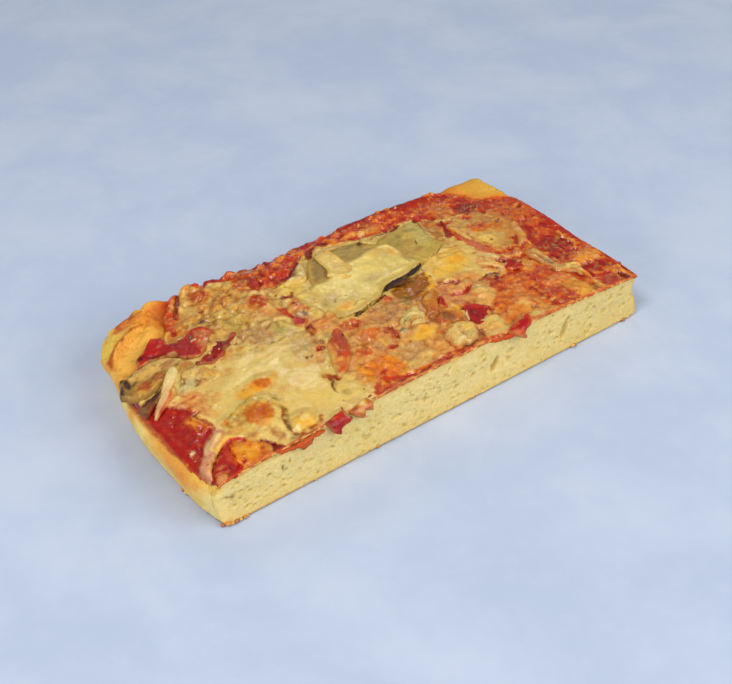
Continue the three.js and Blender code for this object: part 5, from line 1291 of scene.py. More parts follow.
def paint(mx, my, marks=TOP, base="cream", seed=5, fleck=1.0):
    """Colour, cheese thickness and wetness of the topping at places in the plan map."""
    my = np.where(my < -44, -44 + (my + 44) * 0.82, my)
    n = fbm(mx, my, 0.5, 7.0, 4, 31)
    k = 0.5 * smooth(-0.1, 0.45, n)
    col = LIN[base] + (LIN["tan"] - LIN[base]) * k[:, None]
    thick, wet, mott = np.full(len(mx), 1.2), np.full(len(mx), 0.5), np.full(len(mx), 0.15)
    ragged = fbm(mx, my, 2.5, 1.7, 3, 37, .65)
    for what, i, m in marks.each(mx, my, seed):
        t, w, f = KIND[what] if isinstance(what, str) else (1.1, .6, .1)
        m = smooth(0.14, 0.86, m + 2.2 * ragged[i] * m * (1 - m))
        col[i] += ((LIN[what] if isinstance(what, str) else what) - col[i]) * m[:, None]
        thick[i] += (t - thick[i]) * m
        wet[i] += (w - wet[i]) * m
        mott[i] += (f - mott[i]) * m
    # shreds and curds that have run together. The seams between them are painted darker, partly the tomato showing
    # through the thin cheese there and partly painted shade in the creases; the lump tops are painted paler, partly
    # thicker cheese and partly painted light.
    lumpy = np.full(len(mx), 0.16)
    for amount, i, m in LUMPY.each(mx, my, 15):
        lumpy[i] += (amount - lumpy[i]) * m
    lumpy = np.clip(0.85 * lumpy * (1 + 0.9 * fbm(mx, my, 6.0, 9.0, 2, 83)), 0, 1)
    qx = mx + 1.3 * fbm(mx, my, 1.0, 3.6, 3, 85)
    qy = my + 1.3 * fbm(mx, my, 2.0, 3.6, 3, 86)
    d1, d2 = cell_dist(qx * 0.8 + qy * 0.25, qy - qx * 0.2, 3.3, 87)
    e1, e2 = cell_dist(qx * 1.1, qy * 0.8 + qx * 0.2, 1.7, 88)
    seam = lumpy * np.maximum(smooth(0.20, 0.0, d2 - d1), 0.6 * smooth(0.22, 0.02, e2 - e1))
    on = smooth(-0.4, 0.4, thick)
    redder = np.clip(mott * 1.5, 0, 1)[:, None]
    deep = col * np.array([.90, .70, .46]) * (1 - redder) + LIN["redorange"] * redder
    col += (deep - col) * (0.85 * seam * on)[:, None]
    blob = lumpy * smooth(0.42, 0.10, d1) * on
    col += (LIN["creamlt"] * (1 - redder) + LIN["orangelt"] * redder - col) * (0.34 * blob)[:, None]
    thick += (-0.75 * seam + 0.45 * blob) * on
    # painted shade in the seams where the tomato lies bare
    col *= (1 - 0.30 * lumpy * (1 - on) * np.maximum(smooth(0.30, 0.0, d2 - d1), smooth(.25, 0, e2 - e1)))[:, None]
    thick += -0.3 * lumpy * (1 - on) * smooth(0.3, 0, e2 - e1)
    # flecks where melted cheese and tomato run into each other
    a = fbm(mx * 0.8, my, 4.0, 2.6, 4, 61, 0.6)
    b = fbm(mx, my, 6.0, 1.5, 3, 67, 0.6)
    dark = np.clip(mott * fleck, 0, 1) * smooth(0.02, 0.34, -a - 0.35 * b)
    lite = np.clip(mott * fleck, 0, 1) * smooth(0.04, 0.36, a + 0.5 * b)
    col += (LIN["redbr"] * 0.8 - col) * (dark * 0.8)[:, None]
    col += (LIN["orangelt"] - col) * (lite * 0.75)[:, None]
    thick += -0.9 * dark + 0.8 * lite
    # small uneven tones everywhere
    c = fbm(mx, my, 7.0, 1.1, 3, 71, 0.6)
    d = fbm(mx, my, 9.0, 3.2, 3, 73)
    # thin places in the cheese let a warmer tone through, thick ones are paler
    warm = smooth(0.05, 0.40, fbm(mx, my, 4.4, 2.4, 4, 75, .6) + 0.3 * d) * smooth(0.2, 0.8, thick)
    pale = smooth(0.08, 0.42, -fbm(mx, my, 4.4, 2.4, 4, 75, .6)) * smooth(0.5, 1.2, thick)
    col += (col * np.array([0.94, 0.78, 0.56]) - col) * (0.55 * warm)[:, None]
    col += (LIN["creamlt"] - col) * (0.34 * pale)[:, None]
    speck = smooth(0.36, 0.50, fbm(mx, my, 11.0, 1.5, 3, 77, .6)) * smooth(-.1, .3, fbm(mx, my, 2.0, 14.0, 2, 79))
    col += (LIN["redbr"] - col) * (speck * (0.12 + 0.75 * np.clip(mott, 0, .8)))[:, None]
    calm = smooth(0.9, 1.4, thick)
    col *= (1 + (0.24 - 0.17 * calm) * c + (0.12 - .05 * calm) * d)[:, None]
    return grade(col), thick, wet


def grade(col):
    """The colours as they are under the light, without the sheen the surface adds."""
    return np.clip(col * np.array([0.94, 0.865, 0.64]) - np.array([0, .018, .024]), 0.004, 0.95)


# ------------------------------------------------------------------ the bread
CRUST_PROFILE = [(0, 0), (.09, 1.5), (.26, 2.3), (.55, 1.5), (.84, .2), (.95, -.9), (1, -2.4)]
NEAR_PROFILE = [(0, 0), (.09, -.2), (.26, .1), (.55, .2), (.84, .7), (.95, .9), (1, .4)]
RIGHT_PROFILE = [(0, 0), (.09, -1.2), (.26, -2.6), (.55, -.5), (.84, .6), (.95, .2), (1, -1.4)]

# bubbles cut open on the long cut face: x, z, half width, half height, depth, lean
HOLES = [
    (22.3, 10.8, 1.5, 3.4, 2.6, .30), (58.2, 10.8, 1.7, 4.6, 1.5, .22), (59.4, 14.8, 1.5, 1.6, 1.4, .3), (29.8, 13.7, 2.0, 1.0, 1.1, .4), (28.6, 11.6, .9, .8, .8, 0),
    (11.2, 11.4, 1.3, 1.1, .9, .3), (12.7, 14.4, .45, .45, 1.2, 0), (51.6, 20.0, .55, .9, 1.8, -.6), (61.8, 13.3, .8, .5, .7, 0), (-4.7, 11.0, 1.1, .7, .8, .2),
    (-10.8, 10.8, 1.1, .9, 1.2, .4), (4.2, 9.8, .4, .6, .8, 0), (18.9, 1.9, .7, .6, 1.0, 0), (0, 20.0, .5, 1.2, .7, .8), (46.6, 1.6, .8, .5, 1.0, 0),
    (-73.0, 13.4, .4, 1.1, 1.7, .1), (-73.2, 7.9, .7, .4, 1.5, -.5), (-70.4, 6.6, 1.0, .6, .6, 0), (-37.5, 7.1, 1.8, 1.4, 1.3, .3), (-39.4, 8.4, 1.0, .9, .8, 0),
    (-34.1, 3.4, .5, .6, .9, 0), (-61.6, 10.0, 1.5, .9, .9, .3), (-63.8, 10.4, .9, .5, .8, 0), (-41.9, 5.7, 1.4, .6, .8, .2), (-59.2, 3.1, .6, .8, .9, 0),
    (-43.7, 2.5, .6, .6, .7, 0), (-42.3, 1.5, .5, .5, .7, 0), (-83.6, 5.7, .8, .5, .9, 0), (-85.1, 3.3, .4, .5, .9, 0), (-88, 4.4, 1.2, .7, .6, .5), (-50, 13, 1.4, 1, .5, .2),
    (36, 17, 2.6, 1.6, .5, .3), (70, 15, 1.4, 2.0, .6, .2), (80, 10, 1.8, 1.2, .6, 0), (88, 14, 1.2, .8, .7, .3), (-20, 14, 1.2, .8, .6, .2), (16, 18.4, 1.9, 1.3, .5, .2),
    (44, 8, 1.2, .8, .7, .2), (92, 8, 1.0, .7, .8, 0), (73, 6, 1.0, 1.2, .7, 0), (-16, 6, .9, .7, .7, 0), (-26, 10, .8, .6, .7, 0),
]
# the same on the short cut end: y instead of x
END_HOLES = [
    (-38, 11, 1.4, 2.4, 1.8, .2), (-27, 15, 1.8, 1.0, 1.2, .3), (-14, 8, 1.0, 1.6, 1.5, .1), (-3, 13, 2.2, 1.3, 1.3, -.3), (6, 6, 1.0, .7, 1.0, 0),
    (14, 12, 1.3, 2.8, 2.2, .25), (23, 8, 1.5, 1.0, 1.1, 0), (31, 12, 1.1, 1.8, 1.2, -.2), (39, 7, 1.6, .9, 1.0, .3), (-44, 6, .9, .7, .9, 0), (-20, 4, 1.1, .6, .8, .1),
    (18, 4, .9, .6, .8, 0), (-8, 17, .9, .6, .8, 0), (43, 12, .8, 1.2, .9, .1),
]


def face_dents(a, z, holes, seed):
    """How deep a cut crumb face lies behind its plane, and how shaded its pores are."""
    deep, dark = np.zeros(len(a)), np.zeros(len(a))
    wa = a + 0.5 * fbm(a, z, 1.0, 2.2, 2, seed)
    wz = z + 0.5 * fbm(a, z, 5.0, 2.2, 2, seed + 1)
    rng = np.random.RandomState(seed)
    small = []
    lo, hi = (-96, 97) if len(holes) > 20 else (-49, 46)
    for _ in range(int((hi - lo) * 2.4)):
        r = 0.28 + 0.55 * rng.rand() ** 3
        small.append((lo + (hi - lo) * rng.rand(), 0.8 + 19.5 * rng.rand() ** 1.25, r * (0.8 + 0.9 * rng.rand()), r, r * (0.7 + rng.rand()), rng.rand() - .5))
    for ca, cz, ra, rz, d, lean in list(holes) + small:
        i = np.nonzero((abs(a - ca) < ra * 1.6 + abs(lean) * rz * 1.5 + 1) & (abs(z - cz) < rz * 1.6 + 1))[0]
        if not len(i):
            continue
        x, y = wa[i] - ca - lean * (wz[i] - cz), wz[i] - cz
        q = np.sqrt((x / ra) ** 2 + (y / rz) ** 2)
        m = 1 - smooth(0.55, 1.15, q)
        deep[i] = np.maximum(deep[i], d * m)
        dark[i] = np.maximum(dark[i], m * min(1, 0.35 + 0.45 * d))
    deep += 0.26 * fbm(a, z, 2.0, 1.3, 4, seed + 5, 0.6) + 0.35 * fbm(a, z, 3.0, 7.0, 3, seed + 6)
    return deep, dark


# raised and sunk places on the baked crust top, in mm
CRUST_RELIEF = Marks()
C = CRUST_RELIEF
C.l(.9, [(-97.4, 23), (-95.6, 27), (-93, 31), (-89, 34), (-85, 36.5), (-81.5, 39.2), (-77.5, 41)], 2.6, 1, .7)
C.l(-.9, [(-94, 20), (-92, 26), (-88, 30.5), (-84, 33), (-80, 36)], 4.0, 1, .9)
C.l(1.7, [(-86.5, 42.6), (-83, 45.4), (-79.5, 47.4), (-74.5, 48.6)], 2.2, 1, .7)
C.l(-.7, [(-84, 41), (-81, 43.6), (-77, 45), (-73, 45.4)], 2.4, 1, .8)
C.l(.8, [(-76, 47), (-68, 49), (-63, 46.6), (-58, 48)], 4.0, 1, .8)
C.e(.8, -76, 34, 8, 6, 20, 1, .9)
C.e(2.2, -87, 41, 8, 5, 35, 1, .8)
C.e(1.3, -81, 43.4, 5, 3, 20, 1, .8)
C.e(2.0, -77, 46.4, 9, 4, 15, 1, .8)
C.e(2.0, -64, 49, 9, 4, 0, 1, .8)
C.l(-1.2, [(-88, 37.6), (-83, 40.6), (-77, 42.4)], 2.2, 1, .8)
C.l(-.9, [(-73, 49), (-70, 45), (-69, 41)], 1.8, 1, .8)
C.l(.8, [(-94, 30), (-88, 34.6), (-83, 37.4), (-78, 39.6)], 2.0, 1, .7)
C.e(.9, 88, 47, 15, 5, 0, 1, .8)
C.l(.7, [(-82, 30), (-77, 34), (-73, 40), (-68, 46.4)], 5.0, 1, .8)
C.l(-.7, [(-78, 36), (-74, 40), (-72, 45)], 1.6, 1, .8)
C.l(-.6, [(-85, 30), (-80, 33), (-77, 35)], 1.4, 1, .8)
C.e(.7, -71, 36, 3, 4, 0, 1, .8)
C.e(.6, -83, 34.6, 4, 2, 30, 1, .8)
C.e(.6, -74, 43, 3, 2, 20, 1, .8)
C.e(1.1, 97, 38, 4, 12, 0, 1, .8)
C.e(-.6, -84, 27, 5, 3, 30, 1, .9)
C.e(.5, -69, 40, 4, 5, 0, 1, .9)
C.l(-.6, [(-72, 36), (-70, 32), (-67, 28)], 1.4, 1, .7)
C.l(.6, [(76, 47), (80, 42), (84, 36), (90, 33), (98, 30)], 4, 1, .9)

CRUST_TONE = Marks()
C = CRUST_TONE
C.z("goldlt", [(-104, 2), (-104, 14), (-99, 28), (-94, 36), (-86, 44), (-76, 52), (-54, 54), (-60, 30), (-80, 10)], .8, 2)
C.z("crustlt", [(-99, 14), (-96, 26), (-88, 33), (-80, 38), (-72, 42), (-62, 48), (-56, 40), (-64, 24), (-78, 16), (-88, 12)], .8, 2)
C.z("goldlt", [(-99, 8), (-97, 20), (-90, 25), (-82, 26), (-84, 18), (-90, 10)], .7, 1.4)
C.e("gold", -79, 33, 9, 5, 35, .6, .6)
C.z("crust", [(-84, 36), (-78, 41), (-72, 46), (-66, 49), (-59, 50), (-60, 40), (-68, 36), (-76, 32), (-82, 31)], .85, 2, .2)
C.e("orange", -90, 25, 6, 3, 50, .55, .7, .4)
C.z("orangebr", [(-72, 46), (-66, 47), (-60, 48), (-58, 42), (-62, 34), (-66, 30), (-70, 33), (-72, 38)], .7, 2, .3)
C.l("redbr", [(-70, 33), (-68.5, 29.5), (-66, 27)], 2.2, .7, .6, .3)
C.l("redorange", [(-66, 44), (-65.5, 39), (-66, 34)], 2.6, .7, .6, .4)
C.l("orangebr", [(-98.4, 24), (-96.6, 28), (-93.6, 30.8), (-89, 33.6), (-84, 36.4)], 3.0, .8, .6, .5)
C.l("orangebr", [(-102, 12), (-101.4, 15)], 2.6, .8, .6, .4)
C.z("crustlt", [(-101, 14), (-97.6, 23), (-92, 29), (-84, 34), (-80, 32), (-86, 26), (-91, 18)], .7, 1.6, .2)
C.l("goldlt", [(-99, 17), (-96, 21), (-91, 25.6), (-86, 29)], 3.0, .7, .6, .3)
C.l("brown", [(-97.8, 25.4), (-96.4, 28.4), (-94, 30.7), (-90, 33.2), (-85, 36), (-82, 38.6), (-78, 40.4)], 1.3, .9, .6, .25)
C.l("orangebr", [(-95, 28), (-91, 31.4), (-87, 34)], 3.6, .5, .7, .6)
C.l("orangebr", [(-86, 42.4), (-83.5, 45), (-80, 47.6), (-76, 49.4)], 3.6, .85, .6, .4)
C.l("brown", [(-86.5, 41.6), (-84.4, 43.6), (-83, 45.6)], 1.7, .7, .6, .4)
C.l("brown", [(-82, 41.6), (-79, 44.4), (-75.6, 46.2)], 2.0, .75, .6, .5)
C.l("dkbrown", [(-82.6, 38.8), (-79, 40.6)], 1.0, .6, .6, .4)
C.l("goldlt", [(-82, 48.5), (-77, 51), (-70, 53)], 2.4, .6, .6, .3)
C.l("pale", [(-80, 43.6), (-83, 41.6), (-86.5, 40)], 1.6, .7, .6, .2)
C.l("goldlt", [(-88, 20), (-84, 28), (-78, 33)], 3, .5, .8, .3)
C.e("yellow", -76, 36, 4, 2.4, 30, .6, .7)
C.z("lip", [(-100, 27), (-98, 33), (-93, 41), (-87, 46), (-84.4, 45), (-84.6, 40), (-88, 36.4), (-92.4, 33), (-97, 29)], .9, 1.0, .1)
C.z("lip", [(-84, 49), (-76, 53), (-66, 55), (-66, 52), (-75, 49.6), (-82, 46)], .6, 1.0, .2)
C.l("brown", [(-97.6, 26), (-95.4, 29), (-92, 31.6), (-87.4, 34.8), (-83, 38), (-79, 40.4)], 1.6, .75, .6, .4)
C.e("orangebr", -80, 47, 3.4, 1.6, 20, .8, .5, .4)
C.l("orange", [(-77, 28), (-76, 34), (-74, 40), (-72, 46)], 4.0, .5, .7, .5)
C.z(srgb(255, 206, 100), [(-97, 19), (-93, 32), (-85, 39), (-76, 38), (-73.6, 30), (-82, 24), (-90, 16)], .75, 2.0, .3)
C.z(srgb(244, 176, 70), [(-80, 42), (-74, 50), (-66, 52), (-66, 46), (-72, 38)], .6, 2.0, .3)
C.l(srgb(168, 80, 30), [(-97, 26.6), (-93, 31.6), (-88, 35.6), (-83, 38.2), (-78, 40.4)], 1.3, .75, .4, .7)
C.l(srgb(176, 92, 36), [(-86, 42), (-82, 45), (-77, 48), (-72, 49.6)], 1.6, .7, .45, .7)
C.e(srgb(186, 96, 40), -76, 45, 3.4, 1.6, 30, .6, .6, .6)
C.e("yellow", -79.6, 35.4, 3, 2.4, 30, .6, .6, .3)
C.l("redbr", [(-69, 27), (-68.6, 32), (-67, 37), (-63.6, 42.6), (-60.4, 47)], 4.2, .7, .6, .5)
C.e("dkbrown", -76, 40.6, .8, .5, 20, .7, .5)
C.e("dkbrown", -86, 36, .8, .5, 20, .7, .5)
C.l("brown", [(-72, 44), (-70, 40), (-70.6, 36)], 1.0, .5, .6, .5)
C.e("orangebr", -81, 44, 3.6, 1.6, 25, .8, .5, .4)
C.e("brown", -84.6, 42.6, 2.0, 1.4, 20, .7, .5, .5)
C.e("orangebr", -68, 44, 2.2, 4, 10, .6, .6, .5)
C.e("redbr", -71, 26, 2.6, 3.4, -20, .85, .5, .3)
C.e("redorange", -69, 31, 2, 3, -10, .8, .5, .3)
C.l("dkbrown", [(-79, 45), (-75, 47), (-72, 47.4)], .9, .6, .5, .5)
C.e("goldlt", -88, 24, 2.4, 4, -40, .6, .6, .2)
C.e("yellow", -80, 35.6, 3, 2, 30, .6, .6, .2)
# the crust end by the far cut
C.z(srgb(224, 172, 70), [(70, 54), (74, 42), (80, 32), (88, 27), (102, 20), (104, 54)], .95, 1.4)
C.l("orange", [(75, 49), (80, 43), (83, 37), (86, 32), (93, 29), (99, 25)], 5.0, .55, .7, .4)
C.e("orangelt", 83, 42, 3.4, 4.4, 20, .6, .7, .3)
C.l("redbr", [(74, 49), (79, 43.4), (82.4, 38), (83.6, 33), (87, 30), (92, 29.4), (96, 26), (100, 23)], 2.4, .85, .6, .6)
C.l("lip", [(97, 48), (98, 40), (98, 32)], 1.6, .6, .6, .3)
C.e("gold", 90, 42, 7, 6, 0, .5, .7)
C.e("orangebr", 82, 46, 3, 2, 20, .35, .7, .5)
C.e("goldlt", 96, 38, 4, 5, 0, .5, .7)
C.l("lip", [(74, 52), (84, 50.6), (97, 50.6), (100, 46), (100.6, 34)], 2.6, .6, .6, .1)
# edge of the topping by the crust end
C.l("orange", [(-104, -40), (-105, -20), (-104, -4), (-100, 8), (-93, 16), (-84, 23), (-76, 29)], 3.4, .45, .8, .5)
C.l("sauce", [(-101, -40), (-102, -24), (-102.4, -10), (-101.6, 2), (-100, 8)], (1.6, 2.6, 3.6, 4.4, 3.0), .9, .5, .3)


def crust_paint(P):
    """Colour of the baked crust: top by the plan map, sides by height and place."""
    x, y, z = P.T
    mx, my = in_view(P)
    col = np.tile(LIN["goldlt"], (len(x), 1))
    for what, i, m in CRUST_TONE.each(mx, my, 9):
        col[i] += ((LIN[what] if isinstance(what, str) else what) - col[i]) * m[:, None]
    return col * np.array([.95, .94, .92])


def cut_edge(x, y):
    """1 at the two cut edges, where sauce and cheese thin out, 0 a few millimetres in."""
    return np.maximum(smooth(-46, -50.6, y), smooth(4.5, 0.4, right_x(y) - x))


def far_rise(x):
    """How much higher the topping stands along the far cut."""
    return 1.0 * smooth(-42, -50, x) * smooth(-80, -72, x) - 0.9 * smooth(-44, -36, x) * smooth(26, 16, x) + 1.2 * smooth(32, 50, x) * smooth(76, 68, x) - 1.2 * smooth(-28, -22, x) * smooth(0, -6, x) + 0.8 * smooth(17, 23, x) * smooth(46, 40, x)


def bread_mesh():
    length, width = 195.0, 102.0
    nu, nv = int(length / STEP), int(width / STEP)
    near, far = resample(NEAR_EDGE, nu), resample(FAR_EDGE, nu)
    left, right = resample(LEFT_EDGE, nv), resample(RIGHT_EDGE, nv)
    u, v = np.linspace(0, 1, nu)[None, :, None], np.linspace(0, 1, nv)[:, None, None]
    plan = (1 - v) * near[None] + v * far[None] + (1 - u) * left[:, None] + u * right[:, None] \
        - ((1 - u) * (1 - v) * near[0] + u * (1 - v) * near[-1] + (1 - u) * v * far[0] + u * v * far[-1])
    x, y = plan[..., 0].ravel(), plan[..., 1].ravel()
    out = outside(SAUCE_OUTLINE, x, y)
    gap = crust_gap(x, y)
    z = top_z(x, y) - 2.0 + 1.3 * smooth(-1.0, 7, out) + (2.1 * cut_edge(x, y) + far_rise(x) * smooth(7, 1.5, gap)) * smooth(3, -1, out)
    rise = np.zeros(len(x))
    for amount, i, m in CRUST_RELIEF.each(x, y, 11):
        rise[i] += amount * m
    z += rise * smooth(-1, 3, out)
    z += 0.35 * fbm(x, y, 3.0, 6.0, 4, 81) * smooth(-2, 2, out)
    z -= 0.7 * (1 - np.clip(gap / 2.4, 0, 1)) ** 2
    top = np.stack([x, y, z], 1)
    # the ring round the top, and the rows down the sides
    i0 = np.arange(nu)
    ring = np.concatenate([i0, np.arange(1, nv) * nu + nu - 1, (nv - 1) * nu + i0[-2::-1], np.arange(nv - 2, 0, -1) * nu])
    n = len(ring)
    p = top[ring]
    kind = np.concatenate([np.zeros(nu), np.ones(nv - 1), np.full(nu - 1, 2), np.full(nv - 2, 3)]).astype(int)
    t = np.roll(p[:, :2], -2, 0) - np.roll(p[:, :2], 2, 0)
    normal = np.stack([t[:, 1], -t[:, 0]], 1) / np.linalg.norm(t, axis=1)[:, None]
    a_corner, c_corner = 0, nu + nv - 2
    for k in range(-3, 1):
        normal[(a_corner + k) % n] = (-1, 0)
    for k in range(0, 4):
        normal[(c_corner + k) % n] = (0, 1)
    d_a = np.hypot(*(p[:, :2] - p[0, :2]).T)
    d_b = np.hypot(*(p[:, :2] - p[nu - 1, :2]).T)
    d_c = np.hypot(*(p[:, :2] - p[c_corner, :2]).T)
    is_near, is_right, is_far, is_left = kind == 0, kind == 1, kind == 2, kind == 3
    rows = int(24.0 / STEP) + 2
    share = np.linspace(0, 1, rows + 1)[1:] ** 0.96
    prof = {k: spline(q, 0.02) for k, q in (("crust", CRUST_PROFILE), ("near", NEAR_PROFILE), ("right", RIGHT_PROFILE))}
    off = {k: lambda s, q=q: np.interp(s, q[:, 0], q[:, 1]) for k, q in prof.items()}
    sides, cut, crust_side = [], [], []
    for s in share:
        oc, on, orr = off["crust"](s), off["near"](s), off["right"](s)
        oc = oc + 2.2 * np.exp(-((p[:, 0] + 92) / 12) ** 2 - ((p[:, 1] - 41) / 10) ** 2) * smooth(0, .16, s) * smooth(.8, .4, s)
        dx, dy = np.zeros(n), np.zeros(n)
        w = (is_far | is_left).astype(float)
        w[0] = 1
        w[c_corner] = 1
        dx += w * normal[:, 0] * oc
        dy += w * normal[:, 1] * oc
        fall_a, fall_b, fall_c = 1 - smooth(0, 9, d_a), 1 - smooth(0, 8, d_b), 1 - smooth(0, 9, d_c)
        dx -= np.where(is_near & (np.arange(n) > 0), oc * fall_a, 0)
        dy -= np.where(is_near, on, 0) + np.where(is_left, on * fall_a, 0) + np.where(is_right, on * fall_b, 0)
        dx += np.where(is_right, orr, 0) + np.where(is_near, orr * fall_b, 0) + np.where(is_far, orr * fall_c, 0)
        dy += np.where(is_right & (np.arange(n) != c_corner), oc * fall_c, 0)
        # the corner by the crust end is round
        dy += np.where(is_near, 0.8, 0) * (1 - smooth(0, 4.5, d_a)) ** 2
        sides.append(np.stack([p[:, 0] + dx, p[:, 1] + dy, p[:, 2] * (1 - s)], 1))
    sides = np.array(sides)
    sx, sy, sz = sides[..., 0].ravel(), sides[..., 1].ravel(), sides[..., 2].ravel()
    kk = np.tile(kind, rows)
    s_all = np.repeat(share, n)
    ends = np.sin(np.pi * np.clip(s_all, 0, 1)) ** 0.35
    # crumb faces
    near_in = (kk == 0) * smooth(0.5, 4.5, np.tile(d_a, rows)) * smooth(0.0, 1.2, np.tile(d_b, rows))
    dn, kn = face_dents(sx, sz, HOLES, 200)
    right_in = (kk == 1) * smooth(0.0, 1.2, np.tile(d_b, rows)) * smooth(0.5, 3.5, np.tile(d_c, rows))
    dr, kr = face_dents(sy, sz, END_HOLES, 300)
    dark = near_in * kn + right_in * kr
    sy = sy + near_in * dn * ends
    sx = sx - right_in * dr * ends
    # crust sides: soft folds and small blisters
    soft = ((kk >= 2) | ((kk == 0) & (near_in < 0.5))) * ends
    nrm = np.tile(normal, (rows, 1))
    b = 0.5 * fbm(sx, sy, sz * 1.6, 14.0, 3, 91) + 0.16 * fbm(sx, sy, sz, 2.6, 3, 92) \
        + 0.45 * smooth(0.25, 0.6, fbm(sx, sy, sz, 4.2, 2, 93))
    sx, sy = sx + soft * nrm[:, 0] * b, sy + soft * nrm[:, 1] * b
    sides = np.stack([sx, sy, sz], 1)
    # underside: a grid over the last row, a little uneven
    last = sides[-n:].copy()
    bn, bf = last[i0], last[nu + nv - 2 + i0][::-1]
    br, bl = last[nu - 1 + np.arange(nv)], np.vstack([last[:1], last[n - 1:n - nv + 1:-1], last[2 * nu + nv - 3:2 * nu + nv - 2]])
    bottom = (1 - v) * bn[None] + v * bf[None] + (1 - u) * bl[:, None] + u * br[:, None] \
        - ((1 - u) * (1 - v) * bn[0] + u * (1 - v) * bn[-1] + (1 - u) * v * bf[0] + u * v * bf[-1])
    inner = bottom[1:-1, 1:-1].reshape(-1, 3)
    inner[:, 2] = 0.12 + 0.2 * np.abs(fbm(inner[:, 0], inner[:, 1], 1.0, 9.0, 3, 95)) + 0.25 * smooth(0.2, 0.6, fbm(inner[:, 0], inner[:, 1], 2.0, 5.0, 3, 96))
    verts = np.vstack([top, sides, inner])
    nt, ns = len(top), len(sides)
    quads = []
    g = np.arange(nt).reshape(nv, nu)
    quads.append(np.stack([g[:-1, :-1], g[:-1, 1:], g[1:, 1:], g[1:, :-1]], -1).reshape(-1, 4))
    level = np.vstack([ring[None], nt + np.arange(ns).reshape(rows, n)])
    nxt = np.roll(level, -1, 1)
    quads.append(np.stack([level[:-1], level[1:], nxt[1:], nxt[:-1]], -1).reshape(-1, 4))
    bg = np.zeros((nv, nu), int)
    L = level[-1]
    bg[0, :] = L[:nu]
    bg[:, -1] = L[nu - 1:nu + nv - 1]
    bg[-1, ::-1] = L[nu + nv - 2:2 * nu + nv - 2]
    bg[1:-1, 0] = L[2 * nu + nv - 2:][::-1]
    bg[1:-1, 1:-1] = nt + ns + np.arange(len(inner)).reshape(nv - 2, nu - 2)
    quads.append(np.stack([bg[:-1, :-1], bg[1:, :-1], bg[1:, 1:], bg[:-1, 1:]], -1).reshape(-1, 4))
    quads = np.vstack(quads)
    # what each vertex shows
    is_top = np.arange(len(verts)) < nt
    is_bottom = np.arange(len(verts)) >= nt + ns
    crumb = np.zeros(len(verts))
    crumb[nt:nt + ns] = np.maximum(near_in, right_in)
    shadow = np.zeros(len(verts))
    shadow[nt:nt + ns] = dark
    up = np.ones(len(verts))
    up[nt:nt + ns] = 1 - s_all
    up[nt + ns:] = 0
    # the baked skin shows as a thin line at the foot of the cut faces
    foot = smooth(1.25, 0.45, verts[:, 2] + 0.5 * fbm(verts[:, 0], verts[:, 1], 7.0, 2.0, 2, 97))
    crumb = np.where(is_bottom, 0, crumb * (1 - 0.85 * foot * (up < 0.3)))
    hidden = (is_top & (np.concatenate([out, np.zeros(ns + len(inner))]) < -2.5)
              & (np.concatenate([y, np.zeros(ns + len(inner))]) > -49.5)
              & (np.concatenate([right_x(y) - x, np.zeros(ns + len(inner))]) > 1.5)) | is_bottom
    return verts, quads, crumb, shadow, foot, is_bottom, hidden


